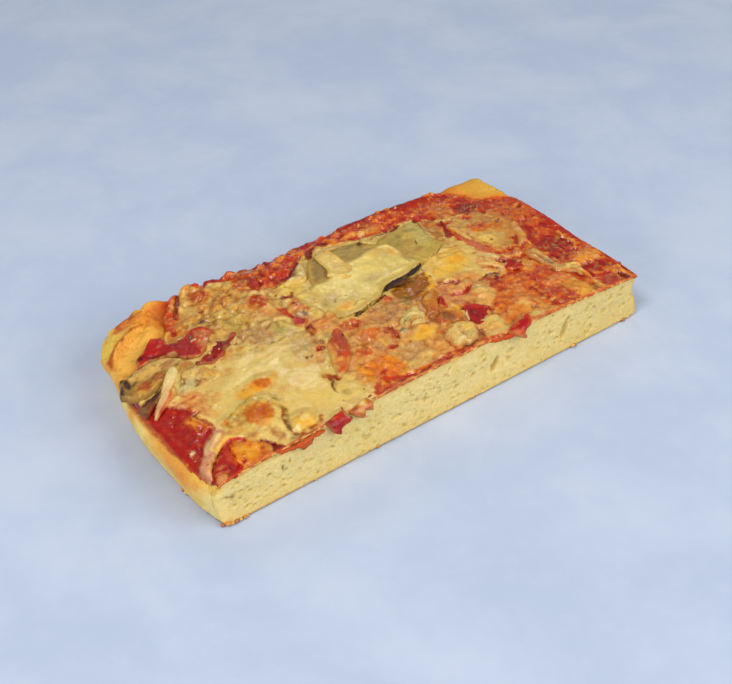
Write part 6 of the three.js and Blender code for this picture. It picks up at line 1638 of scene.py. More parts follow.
def bread_colours(verts, crumb, shadow, foot, is_bottom):
    x, y, z = verts.T
    col = crust_paint(verts)
    # the crust sides are paler and yellower further down, with a browner foot
    H = top_z(x, y)
    depth = np.clip((H - 2 - z) / (H - 2), 0, 1)
    fine1, fine2 = fbm(x, y, z, 0.9, 3, 103, .6), fbm(x, y, z, 2.0, 3, 104, .6)
    col = col * (1 + 0.20 * fine1 + 0.16 * fine2)[:, None]
    spots = smooth(.12, .36, fine2 + .6 * fine1) * np.maximum(smooth(-60, -70, x) * smooth(14, 24, y), .6 * smooth(70, 80, x) * smooth(24, 34, y))
    col = col + (srgb(196, 104, 34) - col) * (spots * .55)[:, None]
    side = smooth(0.03, 0.16, depth) * smooth(4, 1, crust_gap(x, y))
    n1 = fbm(x, y, z, 11.0, 4, 101)
    n2 = fbm(x, y, z, 2.4, 3, 102)
    wall = srgb(238, 222, 140) + (srgb(238, 196, 96) - srgb(236, 216, 134)) * smooth(-0.3, 0.4, n1)[:, None]
    wall = wall + (srgb(226, 150, 62) - wall) * (smooth(0.45, 0.1, depth) * smooth(-0.15, 0.4, n1 + 0.3 * n2) * 0.8)[:, None]
    lip = np.exp(-((x + 93) / 12) ** 2 - ((y - 41) / 11) ** 2) * smooth(.02, .1, depth)
    wall = wall + (srgb(238, 208, 108) - wall) * (lip * .9)[:, None]
    near_a = smooth(-42, -48, y) * smooth(-90, -94, x)
    wall = wall + (srgb(244, 232, 166) - wall) * (near_a * 0.8)[:, None]
    blush = smooth(.55, .12, depth) * smooth(-30, 0, y) * smooth(-.3, .3, n1 + .3 * n2)
    wall = wall + (srgb(230, 160, 62) - wall) * (blush * .6)[:, None]
    wall = wall + (srgb(226, 168, 84) - wall) * (smooth(0.80, 0.96, depth) * 0.7)[:, None]
    flush = np.exp(-((y + 31) / 9) ** 2) * (x < -95) * smooth(0.75, 0.2, depth)
    wall = wall + (srgb(226, 146, 60) - wall) * (flush * 0.75)[:, None]
    wall = wall * (1 + 0.10 * n2)[:, None]
    col = col + (wall - col) * side[:, None]
    # crumb
    c1, c2, c3 = fbm(x, y, z, 9.0, 3, 111), fbm(x, y, z, 2.6, 4, 112, .6), fbm(x, y, z, 0.9, 3, 113, .6)
    cr = srgb(234, 221, 162) * (1 + (0.10 * c1 + 0.07 * c2 + 0.10 * c3)[:, None] * np.array([1, 1.1, 2.0]))
    cr = cr + (srgb(226, 206, 126) - cr) * (0.6 * smooth(0.0, 0.5, c1 + c2))[:, None]
    cr = cr + (srgb(206, 186, 106) - cr) * (0.65 * shadow)[:, None]
    low = smooth(8.5, 1.0, z)
    cr = cr + (srgb(224, 196, 110) - cr) * (low * (0.35 + 0.6 * c3.clip(-.5, .5)))[:, None].clip(0, 1)
    # tomato soaked into its top
    soak = smooth(3.0, 0.4, (H + 0.1 - z) + 1.6 * fbm(x, y, 2.0, 5.0, 3, 115) + 0.6 * c3)
    soak *= smooth(-0.25, 0.25, fbm(x, y, 3.0, 16.0, 2, 116) + 0.05)
    cr = cr + (srgb(232, 176, 84) - cr) * (soak * 0.55)[:, None]
    line = smooth(1.0, 0.0, (H + 0.1 - z) + 0.9 * fbm(x, y, 2.0, 3.0, 3, 117))
    cr = cr + (srgb(214, 110, 50) - cr) * (line * 0.6)[:, None]
    # painted shade: the crumb face is darker towards the right end
    cr = cr * (1 - .09 * smooth(30, 90, x))[:, None]
    for sx, sz, rx, rz in ((-73, 12.6, .4, .9), (-71.6, 12.0, .3, .6), (-94, 12, 1.3, .4), (-93, 11.2, .4, .8), (-12, 16, .4, .4), (48, 17.6, .5, .4), (74, 15, .6, .4)):
        speck = np.exp(-(((x - sx) / rx) ** 2 + ((z - sz) / rz) ** 2)) * (y < -44)
        cr = cr + (srgb(104, 82, 44) - cr) * (speck * .85)[:, None]
    col = col + (cr - col) * crumb[:, None]
    # underside and foot
    base = srgb(214, 158, 84) + (srgb(186, 116, 56) - srgb(214, 158, 84)) * smooth(-0.15, 0.4, fbm(x, y, 1.0, 12.0, 4, 121, .6))[:, None]
    base = base + (srgb(232, 196, 124) - base) * (smooth(0.1, 0.5, fbm(x, y, 1.0, 5.0, 4, 122, .6)) * 0.8)[:, None]
    base = base + (srgb(120, 70, 36) - base) * (smooth(0.28, 0.55, fbm(x, y, 1.0, 2.6, 3, 123, .6)) * 0.7)[:, None]
    col = col + (base - col) * np.where(is_bottom, 1.0, 0.0)[:, None]
    rim = foot * (~is_bottom) * (z < 1.4 + 2.6 * smooth(-.1, .5, fbm(x, y, 5.0, 9.0, 3, 131)))
    col = col + (srgb(206, 150, 72) * (1 + .3 * c3)[:, None] - col) * (rim * smooth(-.3, .2, c2) * 0.75)[:, None]
    return np.clip(col * np.array([1.03, 0.91, 0.72]), 0.01, 0.95)


# ------------------------------------------------------------------ tomato and cheese sheets
def blur(a, cells):
    """Gaussian blur of a grid, sigma in cells."""
    r = max(1, int(3 * cells))
    k = np.exp(-0.5 * (np.arange(-r, r + 1) / cells) ** 2)
    k /= k.sum()
    for axis in (0, 1):
        pad = [(0, 0), (0, 0)]
        pad[axis] = (r, r)
        p = np.pad(a, pad, mode="edge")
        a = sum(w * (p[q:q + a.shape[0], :] if axis == 0 else p[:, q:q + a.shape[1]]) for q, w in enumerate(k))
    return a


def bread_top(x, y, out, gap):
    """Height of the dough under the topping and of the baked crust beside it."""
    z = top_z(x, y) - 2.0 + 1.3 * smooth(-1.0, 7, out) + (2.1 * cut_edge(x, y) + far_rise(x) * smooth(7, 1.5, gap)) * smooth(3, -1, out)
    rise = np.zeros(len(x))
    for amount, i, m in CRUST_RELIEF.each(x, y, 11):
        rise[i] += amount * m
    z += rise * smooth(-1, 3, out)
    z += 0.35 * fbm(x, y, 3.0, 6.0, 4, 81) * smooth(-2, 2, out)
    return z - 0.7 * (1 - np.clip(gap / 2.4, 0, 1)) ** 2


def plan_grid(step, roll, inset=0.0, x0=-103.5, turn=1.45, K=5):
    """Plan places and drops of a grid whose last rows and columns roll over the two cut edges."""
    th = np.linspace(0, 1, K + 1)[1:] * turn
    back, down = roll * np.sin(th), roll * (1 - np.cos(th))
    my, mx = int((101.5 - roll) / step), int((203 - roll) / step)
    edge = -51 + inset + roll
    ys = np.concatenate([(edge - back)[::-1], edge + np.arange(my + 1) * step])
    dy = np.concatenate([down[::-1], np.zeros(my + 1)])
    s = np.arange(mx + 1) / mx
    Y = np.repeat(ys[:, None], mx + 1 + K, 1)
    R = right_x(ys)[:, None] - inset
    X = np.concatenate([x0 + s[None] * (R - roll - x0), R - roll + back[None]], 1)
    D = dy[:, None] + np.concatenate([np.zeros(mx + 1), down])[None]
    rag = 0.55 * fbm(X, Y, 1.0, 3.4, 4, 131, .65)
    Y = Y + rag * smooth(-48, -51, Y)
    X = X + rag * smooth(3, 0, R - X)
    return X, Y, D


def dome(s):
    s = np.clip(s, 0, 1)
    return np.sqrt(1 - (1 - s) ** 2)


# relief of the melted cheese: bubbles, ridges and hollows, in mm
CHEESE_RELIEF = Marks()
C = CHEESE_RELIEF
C.e(1.5, -68.5, -31, 5.4, 5.4, 0, 1, .7)
C.e(1.2, -60, -45, 4.4, 4.2, 0, 1, .7)
C.e(.9, -59.5, -19.5, 3.4, 3.2, 0, 1, .8)
C.l(.4, [(-79, -29), (-75, -26), (-70, -24.4), (-65.5, -26), (-61, -32)], 3.6, 1, .9)
C.e(.8, -50, -30, 12, 12, 0, 1, .95)
C.e(-.5, -38, -33, 3, 4, 0, 1, .8)
C.e(.8, -36, 22, 5, 5.5, 10, 1, .8)
C.e(.7, -50, 41, 5.4, 4.6, 0, 1, .8)
C.e(.9, -11.5, -.8, 3.6, 3, 0, 1, .7)
C.e(.8, -12.4, -21, 3.8, 3, 0, 1, .8)
C.e(1.1, -21.5, -28.2, 3.2, 2.6, 0, 1, .8)
C.e(.7, 4, -32, 5, 4, 0, 1, .8)
C.e(.8, 42, -2, 10, 7, 10, 1, .9)
C.e(.8, 64, 9, 7, 8, 0, 1, .9)
C.l(.9, [(70, -12), (76, -8), (80, -2), (83, 5)], 3.0, 1, .8)
C.e(.9, 78, 8, 6, 8, 0, 1, .9)
C.e(.6, 28, -16, 6, 4, 0, 1, .8)
C.e(.7, 37, -28, 5, 5, 0, 1, .8)
C.e(.7, 27.5, -43, 4.4, 4, 0, 1, .8)
C.e(.6, 53, -30, 7, 5, 0, 1, .8)
C.e(.6, 46.5, -42, 3, 4, 0, 1, .8)
C.e(.8, 72, -46, 5, 3, 0, 1, .8)
C.e(-.6, 50.4, -18.8, 2, 1.4, 0, 1, .8)
C.l(-.7, [(42, -18.8), (46, -17.8), (49, -18)], 1.2, 1, .8)
C.e(.5, -24, 33, 6, 4, 0, 1, .9)
C.e(.7, -33.2, 46.5, 3, 3, 0, 1, .8)
C.e(.5, 17, 38, 5, 4, 0, 1, .9)
C.e(.6, 90, 18, 8, 7, 0, 1, .95)
C.e(.6, 89.5, -29, 5, 3.4, 0, 1, .8)
C.e(.6, -41, -16, 6, 4, 0, 1, .9)
C.e(.5, -72, -16, 8, 5, 0, 1, .9)
C.l(.15, [(-85, -31), (-90, -35), (-95, -41), (-99, -46)], 3, 1, .8)
C.e(1.3, -49.5, 48, 6, 3.4, 0, 1, .8)
C.e(1.0, -34, 46, 3, 2.6, 0, 1, .8)
C.e(.9, -43, 46.6, 3, 2, 0, 1, .8)
C.e(.9, -45, 31.6, 3.4, 2.4, 20, 1, .8)
C.e(.8, -53.4, 33, 3, 2.6, 0, 1, .8)
C.e(.8, -26, -6.4, 4, 2.6, 0, 1, .8)
C.e(.8, -16, -12, 3.4, 2.8, 0, 1, .8)
C.e(.9, -13.6, -20.6, 3.4, 3, 0, 1, .7)
C.l(-.7, [(-53, 12), (-46, 12.6), (-40, 10)], 2.4, 1, .8)
C.l(-.8, [(-31, 20), (-28, 12), (-28, 2), (-30, -8), (-33, -16)], 2.6, 1, .8)
C.l(-.8, [(-20, -16), (-18, -24), (-26, -32)], 2.4, 1, .8)
C.l(.7, [(-38, 30), (-32, 24), (-28, 26)], 2.2, 1, .8)
C.e(-.8, 16, -7, 8, 4, 0, 1, .8)
C.e(.7, 47, -40, 4, 3.4, 20, 1, .8)
C.e(.6, 61, -43, 6, 4, 0, 1, .8)
C.l(-.7, [(28, -10), (25, -16), (26, -24), (34, -30)], 2.2, 1, .8)
C.l(.6, [(50, -8), (54, -13), (56, -18)], 1.6, 1, .8)


LIFT = dict(orangebr=.30, orange=.20, redorange=.20, redbr=.20, red=.20, redpink=.18, pinkish=.14, creamlt=.2, cream=.22, yellowcream=.15, yellow=.25, gold=.28, goldlt=.22,
            peach=.16, dkbrown=-.35, olivedk=-.2, saucedk=-.18, brown=-.08, white=.3, orangelt=.2)


def mark_bumps():
    """Browned and red spots are the tops of lumps under the cheese; the dark ones lie in hollows."""
    b = Marks()
    for kind, what, a, o, s, ragged, w in TOP.items:
        if not isinstance(what, str):
            continue
        if kind == "e" and what in LIFT and min(a[2], a[3]) < 5.5:
            b.items.append((kind, LIFT[what] * min(a[2], a[3], 3.2) * o, a, 1.0, .75, 0.0, w))
        if kind == "l" and what in LIFT and np.max(a[1]) < 3:
            b.items.append((kind, LIFT[what] * .6 * float(np.max(a[1])) * o, a, 1.0, .75, 0.0, w))
    return b


def calm(x, y):
    """The front right of the topping, and its far right, are smoother than the rest."""
    return 1 - .55 * smooth(32, 48, x) * smooth(-8, -20, y) - .3 * smooth(62, 76, x) * smooth(-8, 4, y)


def curds(x, y):
    """Soft lumps of what lies under the melted cheese, 3 to 7 mm across."""
    busy = np.full(len(x), 0.25)
    for amount, i, m in LUMPY.each(x, y, 15):
        busy[i] += (amount - busy[i]) * m
    qx = x + 1.6 * fbm(x, y, 1.0, 6.0, 3, 171)
    qy = y + 1.6 * fbm(x, y, 2.0, 6.0, 3, 172)
    b1, b2 = cell_dist(qx, qy * 1.15, 6.4, 173)
    c1, c2 = cell_dist(qx + .3 * qy, qy, 3.4, 174)
    big = smooth(.72, .08, b1) * smooth(.0, .3, b2 - b1)
    small = smooth(.68, .1, c1)
    return busy * (1.6 * big - .5 + 0.4 * (small - .4))


def hollows(z, ok, step, wide=1.5):
    """How far each place lies below (+) or above (-) its surroundings, in mm."""
    weight = np.maximum(blur(ok.astype(float), wide / step), 1e-3)
    return np.where(ok, blur(np.where(ok, z, 0.0), wide / step) / weight - z, 0.0)


def kept(cells, grid):
    """A grid's values in the order of a closed sheet's vertices, top then underside."""
    use = np.zeros(grid.shape, bool)
    j, i = np.nonzero(cells)
    for a in (0, 1):
        for b in (0, 1):
            use[j + a, i + b] = True
    return np.concatenate([grid[use], grid[use]])


def sheets():
    step = STEP * 1.2
    X, Y, D = plan_grid(step, 0.75, -0.05)
    shape = X.shape
    x, y = X.ravel(), Y.ravel()
    out, gap = outside(SAUCE_OUTLINE, x, y), crust_gap(x, y)
    zb = bread_top(x, y, out, gap)
    keep = dome(gap / 1.6) * smooth(0.4, -3.0, out)
    col, tc, wet = paint(x, y)
    pulp = 0.26 * fbm(x, y, 1.0, 2.4, 4, 141, .55) + 0.5 * fbm(x, y, 2.0, 6.5, 3, 142)
    p1, p2 = cell_dist(x + 1.2 * fbm(x, y, 1.0, 4.0, 2, 143), y + 1.2 * fbm(x, y, 2.0, 4.0, 2, 144), 3.6, 145)
    pulp += 0.24 * (smooth(.7, .1, p1) - .45)
    pulp *= calm(x, y)
    thin = cut_edge(x, y)
    zs = zb + (1.0 + pulp) * (1 - 0.6 * thin) * keep - 0.45 * (1 - smooth(0.0, 0.22, keep)) - D.ravel()
    zlow = np.minimum(zb - 0.35, zs - 0.25)
    top = np.stack([x, y, zs], 1).reshape(shape + (3,))
    low = np.stack([x, y, zlow], 1).reshape(shape + (3,))
    ok = ((out < 0.8) & (gap > -0.5)).reshape(shape)
    cells = clean_cells(ok[:-1, :-1] & ok[:-1, 1:] & ok[1:, :-1] & ok[1:, 1:])
    sauce = closed_sheet(top, low, cells) + (kept(cells, hollows((zs + D.ravel()).reshape(shape), ok, step)),)

    step = STEP
    X, Y, D = plan_grid(step, 0.55, 0.25, K=3)
    shape = X.shape
    x, y = X.ravel(), Y.ravel()
    out, gap = outside(SAUCE_OUTLINE, x, y), crust_gap(x, y)
    zb = bread_top(x, y, out, gap)
    keep = dome(gap / 1.6) * smooth(0.4, -3.0, out)
    _, tc, wet = paint(x, y)
    tc = blur(tc.reshape(shape), 0.45 / step).ravel()
    rise = np.zeros(len(x))
    for amount, i, m in CHEESE_RELIEF.each(x, y, 12):
        rise[i] += amount * m
    top_rise = np.zeros(len(x))
    for amount, i, m in mark_bumps().each(x, np.where(y < -44, -44 + (y + 44) * 0.82, y), 5):
        top_rise[i] += amount * m
    pool = np.zeros(len(x))
    for amount, i, m in POOL.each(x, y, 16):
        pool[i] = np.maximum(pool[i], m)
    rise += (np.clip(top_rise, -.9, 1.3) * (1 - .3 * pool) + curds(x, y) * (1 - .97 * pool)) * calm(x, y)
    soft = 0.45 * fbm(x, y, 1.0, 5.5, 3, 151) + 0.32 * fbm(x, y, 2.0, 2.6, 3, 152, .5) + 0.05 * fbm(x, y, 2.0, 1.1, 2, 153)
    soft *= (1 - .75 * pool) * calm(x, y)
    thin = cut_edge(x, y)
    body = np.where(tc > 0, 1.5 * (1 - np.exp(-np.maximum(tc, 0) / 0.75)), tc)
    lump = body + (rise + soft) * smooth(-0.1, 0.8, tc)
    zs0 = zb + (1 - 0.6 * thin) * keep - D.ravel()
    zc = zs0 + (1 - 0.7 * thin) * np.maximum(lump, -0.8) * dome((gap - 0.4) / 2.2) * smooth(0.0, -2.0, out) - 0.5 * (1 - smooth(0, 0.3, keep))
    zlow = np.minimum(zs0 - 0.45, zc - 0.25) - 0.4 * D.ravel()
    top = np.stack([x, y, zc], 1).reshape(shape + (3,))
    low = np.stack([x, y, zlow], 1).reshape(shape + (3,))
    ok = ((lump > -0.45) & (out < -0.3) & (gap > 0.3)).reshape(shape)
    grow = ok.copy()
    grow[1:] |= ok[:-1]
    grow[:-1] |= ok[1:]
    grow[:, 1:] |= ok[:, :-1]
    grow[:, :-1] |= ok[:, 1:]
    cells = clean_cells(grow[:-1, :-1] & grow[:-1, 1:] & grow[1:, :-1] & grow[1:, 1:])
    cheese = closed_sheet(top, low, cells) + (kept(cells, hollows((zc + D.ravel()).reshape(shape), ok, step)),)
    return sauce, cheese


# ------------------------------------------------------------------ flat pieces lying on the topping
def true_place(points, h):
    """Plan places of points given in the plan map at height h over the topping's surface."""
    p = np.array(points, float)
    return np.stack([p[:, 0] - 0.754 * h, p[:, 1] - 1.006 * h], 1)


def ribbon(path, width):
    """Outline of a strip along a path, with rounded ends. width: a number or a few numbers along it."""
    q = spline(path, 0.7)
    s = np.linspace(0, 1, len(q))
    w = np.interp(s, np.linspace(0, 1, len(width)), width) if np.ndim(width) else np.full(len(q), width)
    t = np.gradient(q, axis=0)
    t /= np.linalg.norm(t, axis=1)[:, None]
    n = np.stack([-t[:, 1], t[:, 0]], 1)
    h = w / 2 * np.clip(np.sin(np.pi * np.clip(s, 0.02, 0.98)) ** 0.35, 0, 1)
    return np.vstack([q + n * h[:, None], (q - n * h[:, None])[::-1]])


def slab(outline, lift, thick, rim=1.0, sink=0.8, step=0.4, ragged=0.25, crown=0.0, relief=None, seed=1, smooth_outline=True, base=None):
    """A flat piece with a rounded rim over the topping: verts, quads, distance inside, height share. lift: a number or a
    function of x, y giving the underside's height over the topping's surface."""
    step = step * 1.0
    o = np.array(outline, float)
    poly = spline(list(map(tuple, o)) + [tuple(o[0])], 0.6) if smooth_outline else o
    lo, hi = poly.min(0) - 1.5, poly.max(0) + 1.5
    nx, ny = int((hi[0] - lo[0]) / step) + 1, int((hi[1] - lo[1]) / step) + 1
    X, Y = np.meshgrid(lo[0] + np.arange(nx) * step, lo[1] + np.arange(ny) * step)
    x, y = X.ravel(), Y.ravel()
    d = outside(poly, x, y) + ragged * fbm(x, y, 0.3, 2.2, 3, seed * 7 + 1, .6)
    Dg = d.reshape(ny, nx)
    gy, gx = np.gradient(Dg, step)
    norm = np.maximum(np.hypot(gx, gy), 0.3)
    gx, gy = gx / norm, gy / norm
    ok = Dg < 0.45 * step
    cells = clean_cells(ok[:-1, :-1] & ok[:-1, 1:] & ok[1:, :-1] & ok[1:, 1:], 2)
    inside_n = np.zeros((ny, nx), int)
    inside_n[:-1, :-1] += cells
    inside_n[1:, :-1] += cells
    inside_n[:-1, 1:] += cells
    inside_n[1:, 1:] += cells
    border = (inside_n > 0) & (inside_n < 4)
    shift = np.where(border, np.clip(Dg, -0.9 * step, 0.9 * step), 0)
    X2, Y2 = X - gx * shift, Y - gy * shift
    D2 = np.where(border, 0.0, np.minimum(Dg, -0.25 * step))
    x, y, d = X2.ravel(), Y2.ravel(), D2.ravel()
    under = (base(x, y) if base else top_z(x, y)) + (lift(x, y) if callable(lift) else lift)
    s = dome(-d / rim)
    wide = max(1e-6, np.abs(d).max())
    z = under + thick * (0.12 + 0.88 * s) + crown * smooth(0, 1, -d / wide)
    if relief is not None:
        z = z + relief(x, y) * s
    zl = under - sink * (0.3 + 0.7 * s)
    top = np.stack([x, y, z], 1).reshape(ny, nx, 3)
    low = np.stack([x, y, zl], 1).reshape(ny, nx, 3)
    verts, quads, is_low = closed_sheet(top, low, cells)
    # the distance inside, for each kept vertex
    use = np.zeros((ny, nx), bool)
    j, i = np.nonzero(cells)
    for a in (0, 1):
        for b in (0, 1):
            use[j + a, i + b] = True
    dist = np.concatenate([-D2[use], -D2[use]])
    return verts, quads, dist, is_low


def over_edge(verts, radius=2.0, edge=-51.0):
    """Bends what reaches beyond the near cut edge down over it."""
    v = verts.copy()
    h = v[:, 2] - top_z(v[:, 0], v[:, 1])
    q = (edge + radius * 0.4) - v[:, 1]
    r = radius + h
    ang = np.clip(q / radius, 0, 1.5)
    m = q > 0
    rest = np.maximum(q - 1.5 * radius, 0)
    yc, zc = edge + radius * 0.4, top_z(v[:, 0], np.full(len(v), edge)) - radius
    v[m, 1] = (yc - r * np.sin(ang) - rest * math.cos(1.5))[m]
    v[m, 2] = (zc + r * np.cos(ang) - rest * math.sin(1.5))[m]
    return v


# ------------------------------------------------------------------ materials
def crumb_material():
    k = Nodes("baked_dough")
    col = k.attr("col", True)
    crumb = k.attr("crumb")
    fine = k.noise(0.55, 4, .65)
    mid = k.noise(2.2, 4, .6)
    grain = k.voronoi(0.7)
    tone = k.math("ADD", k.span(fine, .25, .75, .90, 1.08), k.span(mid, .25, .75, -.05, .06))
    base = k.mix(1.0, col, k_grey(k, tone), "MULTIPLY")
    pits = k.span(grain, .0, .35, 0, 1)
    # painted shade in tiny pores of the crumb
    base = k.mix(k.math("MULTIPLY", crumb, k.span(k.voronoi(1.5), .10, .0, 0, .45)), base, tuple(srgb(196, 176, 100)))
    h = k.math("ADD", k.math("MULTIPLY", fine, .8), k.math("MULTIPLY", pits, k.math("MULTIPLY", crumb, .5)))
    n = k.bump(h, 0.55, 0.00035)
    rough = k.span(crumb, 0, 1, .55, .9)
    return k.set(Base_Color=base, Roughness=rough, Normal=n, Subsurface_Weight=.12, Subsurface_Radius=(1.0, .55, .25),
                 Subsurface_Scale=.0016, Specular_IOR_Level=.2, Sheen_Weight=.0)


def k_grey(k, value):
    n = k.t.nodes.new("ShaderNodeCombineColor")
    for s in range(3):
        k.put(n.inputs[s], value)
    return n.outputs[0]


def soft_material(name, size, strength, distance, dry, wet, coat, sss, tone=.12, fleck=None, fleck_size=1.2, fleck_amount=.3, streak=None, spec=.38):
    """Moist food: colour from the col attribute, gloss from the wet attribute."""
    k = Nodes(name)
    col = k.attr("col", True)
    w = k.attr("wet")
    vec = None
    if streak:
        m = k.t.nodes.new("ShaderNodeMapping")
        k.put(m.inputs["Vector"], k.mm)
        m.inputs["Scale"].default_value = streak
        vec = m.outputs[0]
    fine = k.noise(size, 4, .6, .2, vec)
    big = k.noise(size * 4.5, 3, .55, .4, vec)
    t = k.math("ADD", k.span(fine, .25, .75, 1 - tone, 1 + tone), k.span(big, .25, .75, -.06, .06))
    base = k.mix(1.0, col, k_grey(k, t), "MULTIPLY")
    if fleck is not None:
        f = k.noise(fleck_size, 3, .7)
        base = k.mix(k.span(f, .60, .74, 0, fleck_amount), base, tuple(fleck))
    h = k.math("ADD", fine, k.math("MULTIPLY", k.noise(size * .35, 2, .5), .25))
    n = k.bump(h, strength, distance)
    shine = k.noise(size * 3, 3, .6)
    rough = k.math("ADD", k.span(w, 0, 1, dry, wet), k.span(shine, .3, .7, -.08, .12), True)
    return k.set(Base_Color=base, Roughness=rough, Normal=n, Coat_Weight=k.math("MULTIPLY", w, coat, True), Coat_Roughness=.16,
                 Subsurface_Weight=sss, Subsurface_Radius=(1.0, .5, .22), Subsurface_Scale=.0018, Specular_IOR_Level=spec)


M_CRUMB = crumb_material()
M_SAUCE = soft_material("tomato", 1.0, .40, .0004, .5, .34, .22, .08, .14, srgb(196, 74, 30), 1.4, .55, spec=.22)
M_CHEESE = soft_material("melted_cheese", 3.0, .10, .0005, .38, .22, .42, .24, .04)
M_AUBERGINE = soft_material("grilled_aubergine", 1.0, .8, .0006, .6, .42, .15, .10, .16, srgb(110, 84, 44), 1.6, .35, (.35, 1.4, 1.0))
M_PEPPER = soft_material("red_pepper", 1.0, .5, .0003, .50, .30, .14, .12, .14, srgb(180, 62, 26), 2.0, .45, spec=.24)
M_CURL = soft_material("roast_pepper", 1.0, .4, .0003, .45, .28, .45, .14, .12)
M_ONION = soft_material("browned_onion", 1.1, .45, .0003, .4, .25, .5, .16, .16, None, 1, 0, (1.6, .4, 1.0))
M_ARTICHOKE = soft_material("artichoke", .8, .7, .0004, .55, .40, .2, .12, .16, srgb(120, 92, 48), 1.3, .3)


def floor_material():
    k = Nodes("floor")
    a = k.noise(60, 5, .6, .3)
    b = k.noise(9, 4, .6)
    base = k.mix(k.span(a, .35, .7, 0, 1), tuple(srgb(186, 200, 226)), tuple(srgb(199, 211, 233)))
    base = k.mix(k.span(b, .45, .8, 0, .25), base, tuple(srgb(206, 215, 231)))
    return k.set(Base_Color=base, Roughness=.75, Specular_IOR_Level=.2)


# ------------------------------------------------------------------ put the slice together
verts, quads, crumb, shadow, foot, is_bottom, hidden = bread_mesh()
bread = make_object("bread", verts, quads, [], M_CRUMB,
                    dict(col=bread_colours(verts, crumb, shadow, foot, is_bottom), crumb=crumb), nodes=("dough_slab",))
thin_out(bread, hidden.astype(float), 0.44)

(sv, sq, s_low, s_deep), (cv, cq, c_low, c_deep) = sheets()


def paint_hollow_shade(col, deep, amount=1.0):
    """Painted shade in the hollows and painted light on the high places, from how far each place lies below its
    surroundings.
    """
    down = smooth(.04, .55, deep) * amount
    up = smooth(.04, .55, -deep) * amount
    col = col * (1 - down[:, None] * np.array([.30, .48, .62]))
    return col * (1 + up[:, None] * np.array([.10, .12, .14]))
mx, my = in_view(sv)
col, _, wet = paint(mx, my)
# painted shade in the tomato's hollows, painted light on its high places
col = paint_hollow_shade(col, s_deep, .65)
red = LIN["sauce"] * 0.9
hide = s_low.astype(float)
col = col + (srgb(226, 176, 96) - col) * (hide * 0.6)[:, None]
# the front of the sauce, where it was cut through
front = np.maximum(smooth(-50.2, -50.8, sv[:, 1]), smooth(.7, .2, right_x(sv[:, 1]) - sv[:, 0]))
na, nb = fbm(mx, my, 1.0, 9.0, 3, 161), fbm(mx, my, 2.0, 2.0, 3, 162, .6)
rim = srgb(200, 84, 34) + (srgb(178, 66, 28) - srgb(200, 84, 34)) * smooth(-.15, .25, na)[:, None]
rim = rim + (srgb(228, 158, 76) - rim) * smooth(.0, .3, nb)[:, None] + (srgb(140, 52, 24) - rim) * smooth(.15, .45, -nb)[:, None]
col = col + (np.clip(rim, .004, .9) - col) * (front * .9)[:, None]
wet = wet * (1 - .9 * front)
sauce = make_object("tomato", sv, sq, [], M_SAUCE, dict(col=col, wet=wet), nodes=("tomato_sauce",))
thin_out(sauce, hide * (sv[:, 1] > -49), 0.6)

mx, my = in_view(cv)
col, _, wet = paint(mx, my)
# painted shade in the cheese's hollows, painted light on its high places
col = paint_hollow_shade(col, c_deep, .75)
front = smooth(-49.7, -50.5, cv[:, 1] + .6 * fbm(mx, my, 4.0, 3.0, 3, 163)) * smooth(-.35, .1, fbm(mx, my, 5.0, 11.0, 2, 164))
na, nb = fbm(mx, my, 1.0, 9.0, 3, 161), fbm(mx, my, 2.0, 2.0, 3, 162, .6)
rim = srgb(206, 96, 48) + (srgb(184, 70, 30) - srgb(206, 96, 48)) * smooth(-.15, .25, na)[:, None]
rim = rim + (srgb(146, 56, 26) - rim) * smooth(.15, .5, -nb)[:, None] + (srgb(226, 160, 82) - rim) * smooth(.05, .35, nb)[:, None]
col = col + (np.clip(rim, .004, .9) - col) * (front * .65)[:, None]
wet = wet * (1 - .9 * smooth(-49.9, -50.5, cv[:, 1]))
cheese = make_object("cheese", cv, cq, [], M_CHEESE, dict(col=col, wet=wet), nodes=("melted_cheese",))
thin_out(cheese, c_low * (cv[:, 1] > -49), 0.6)


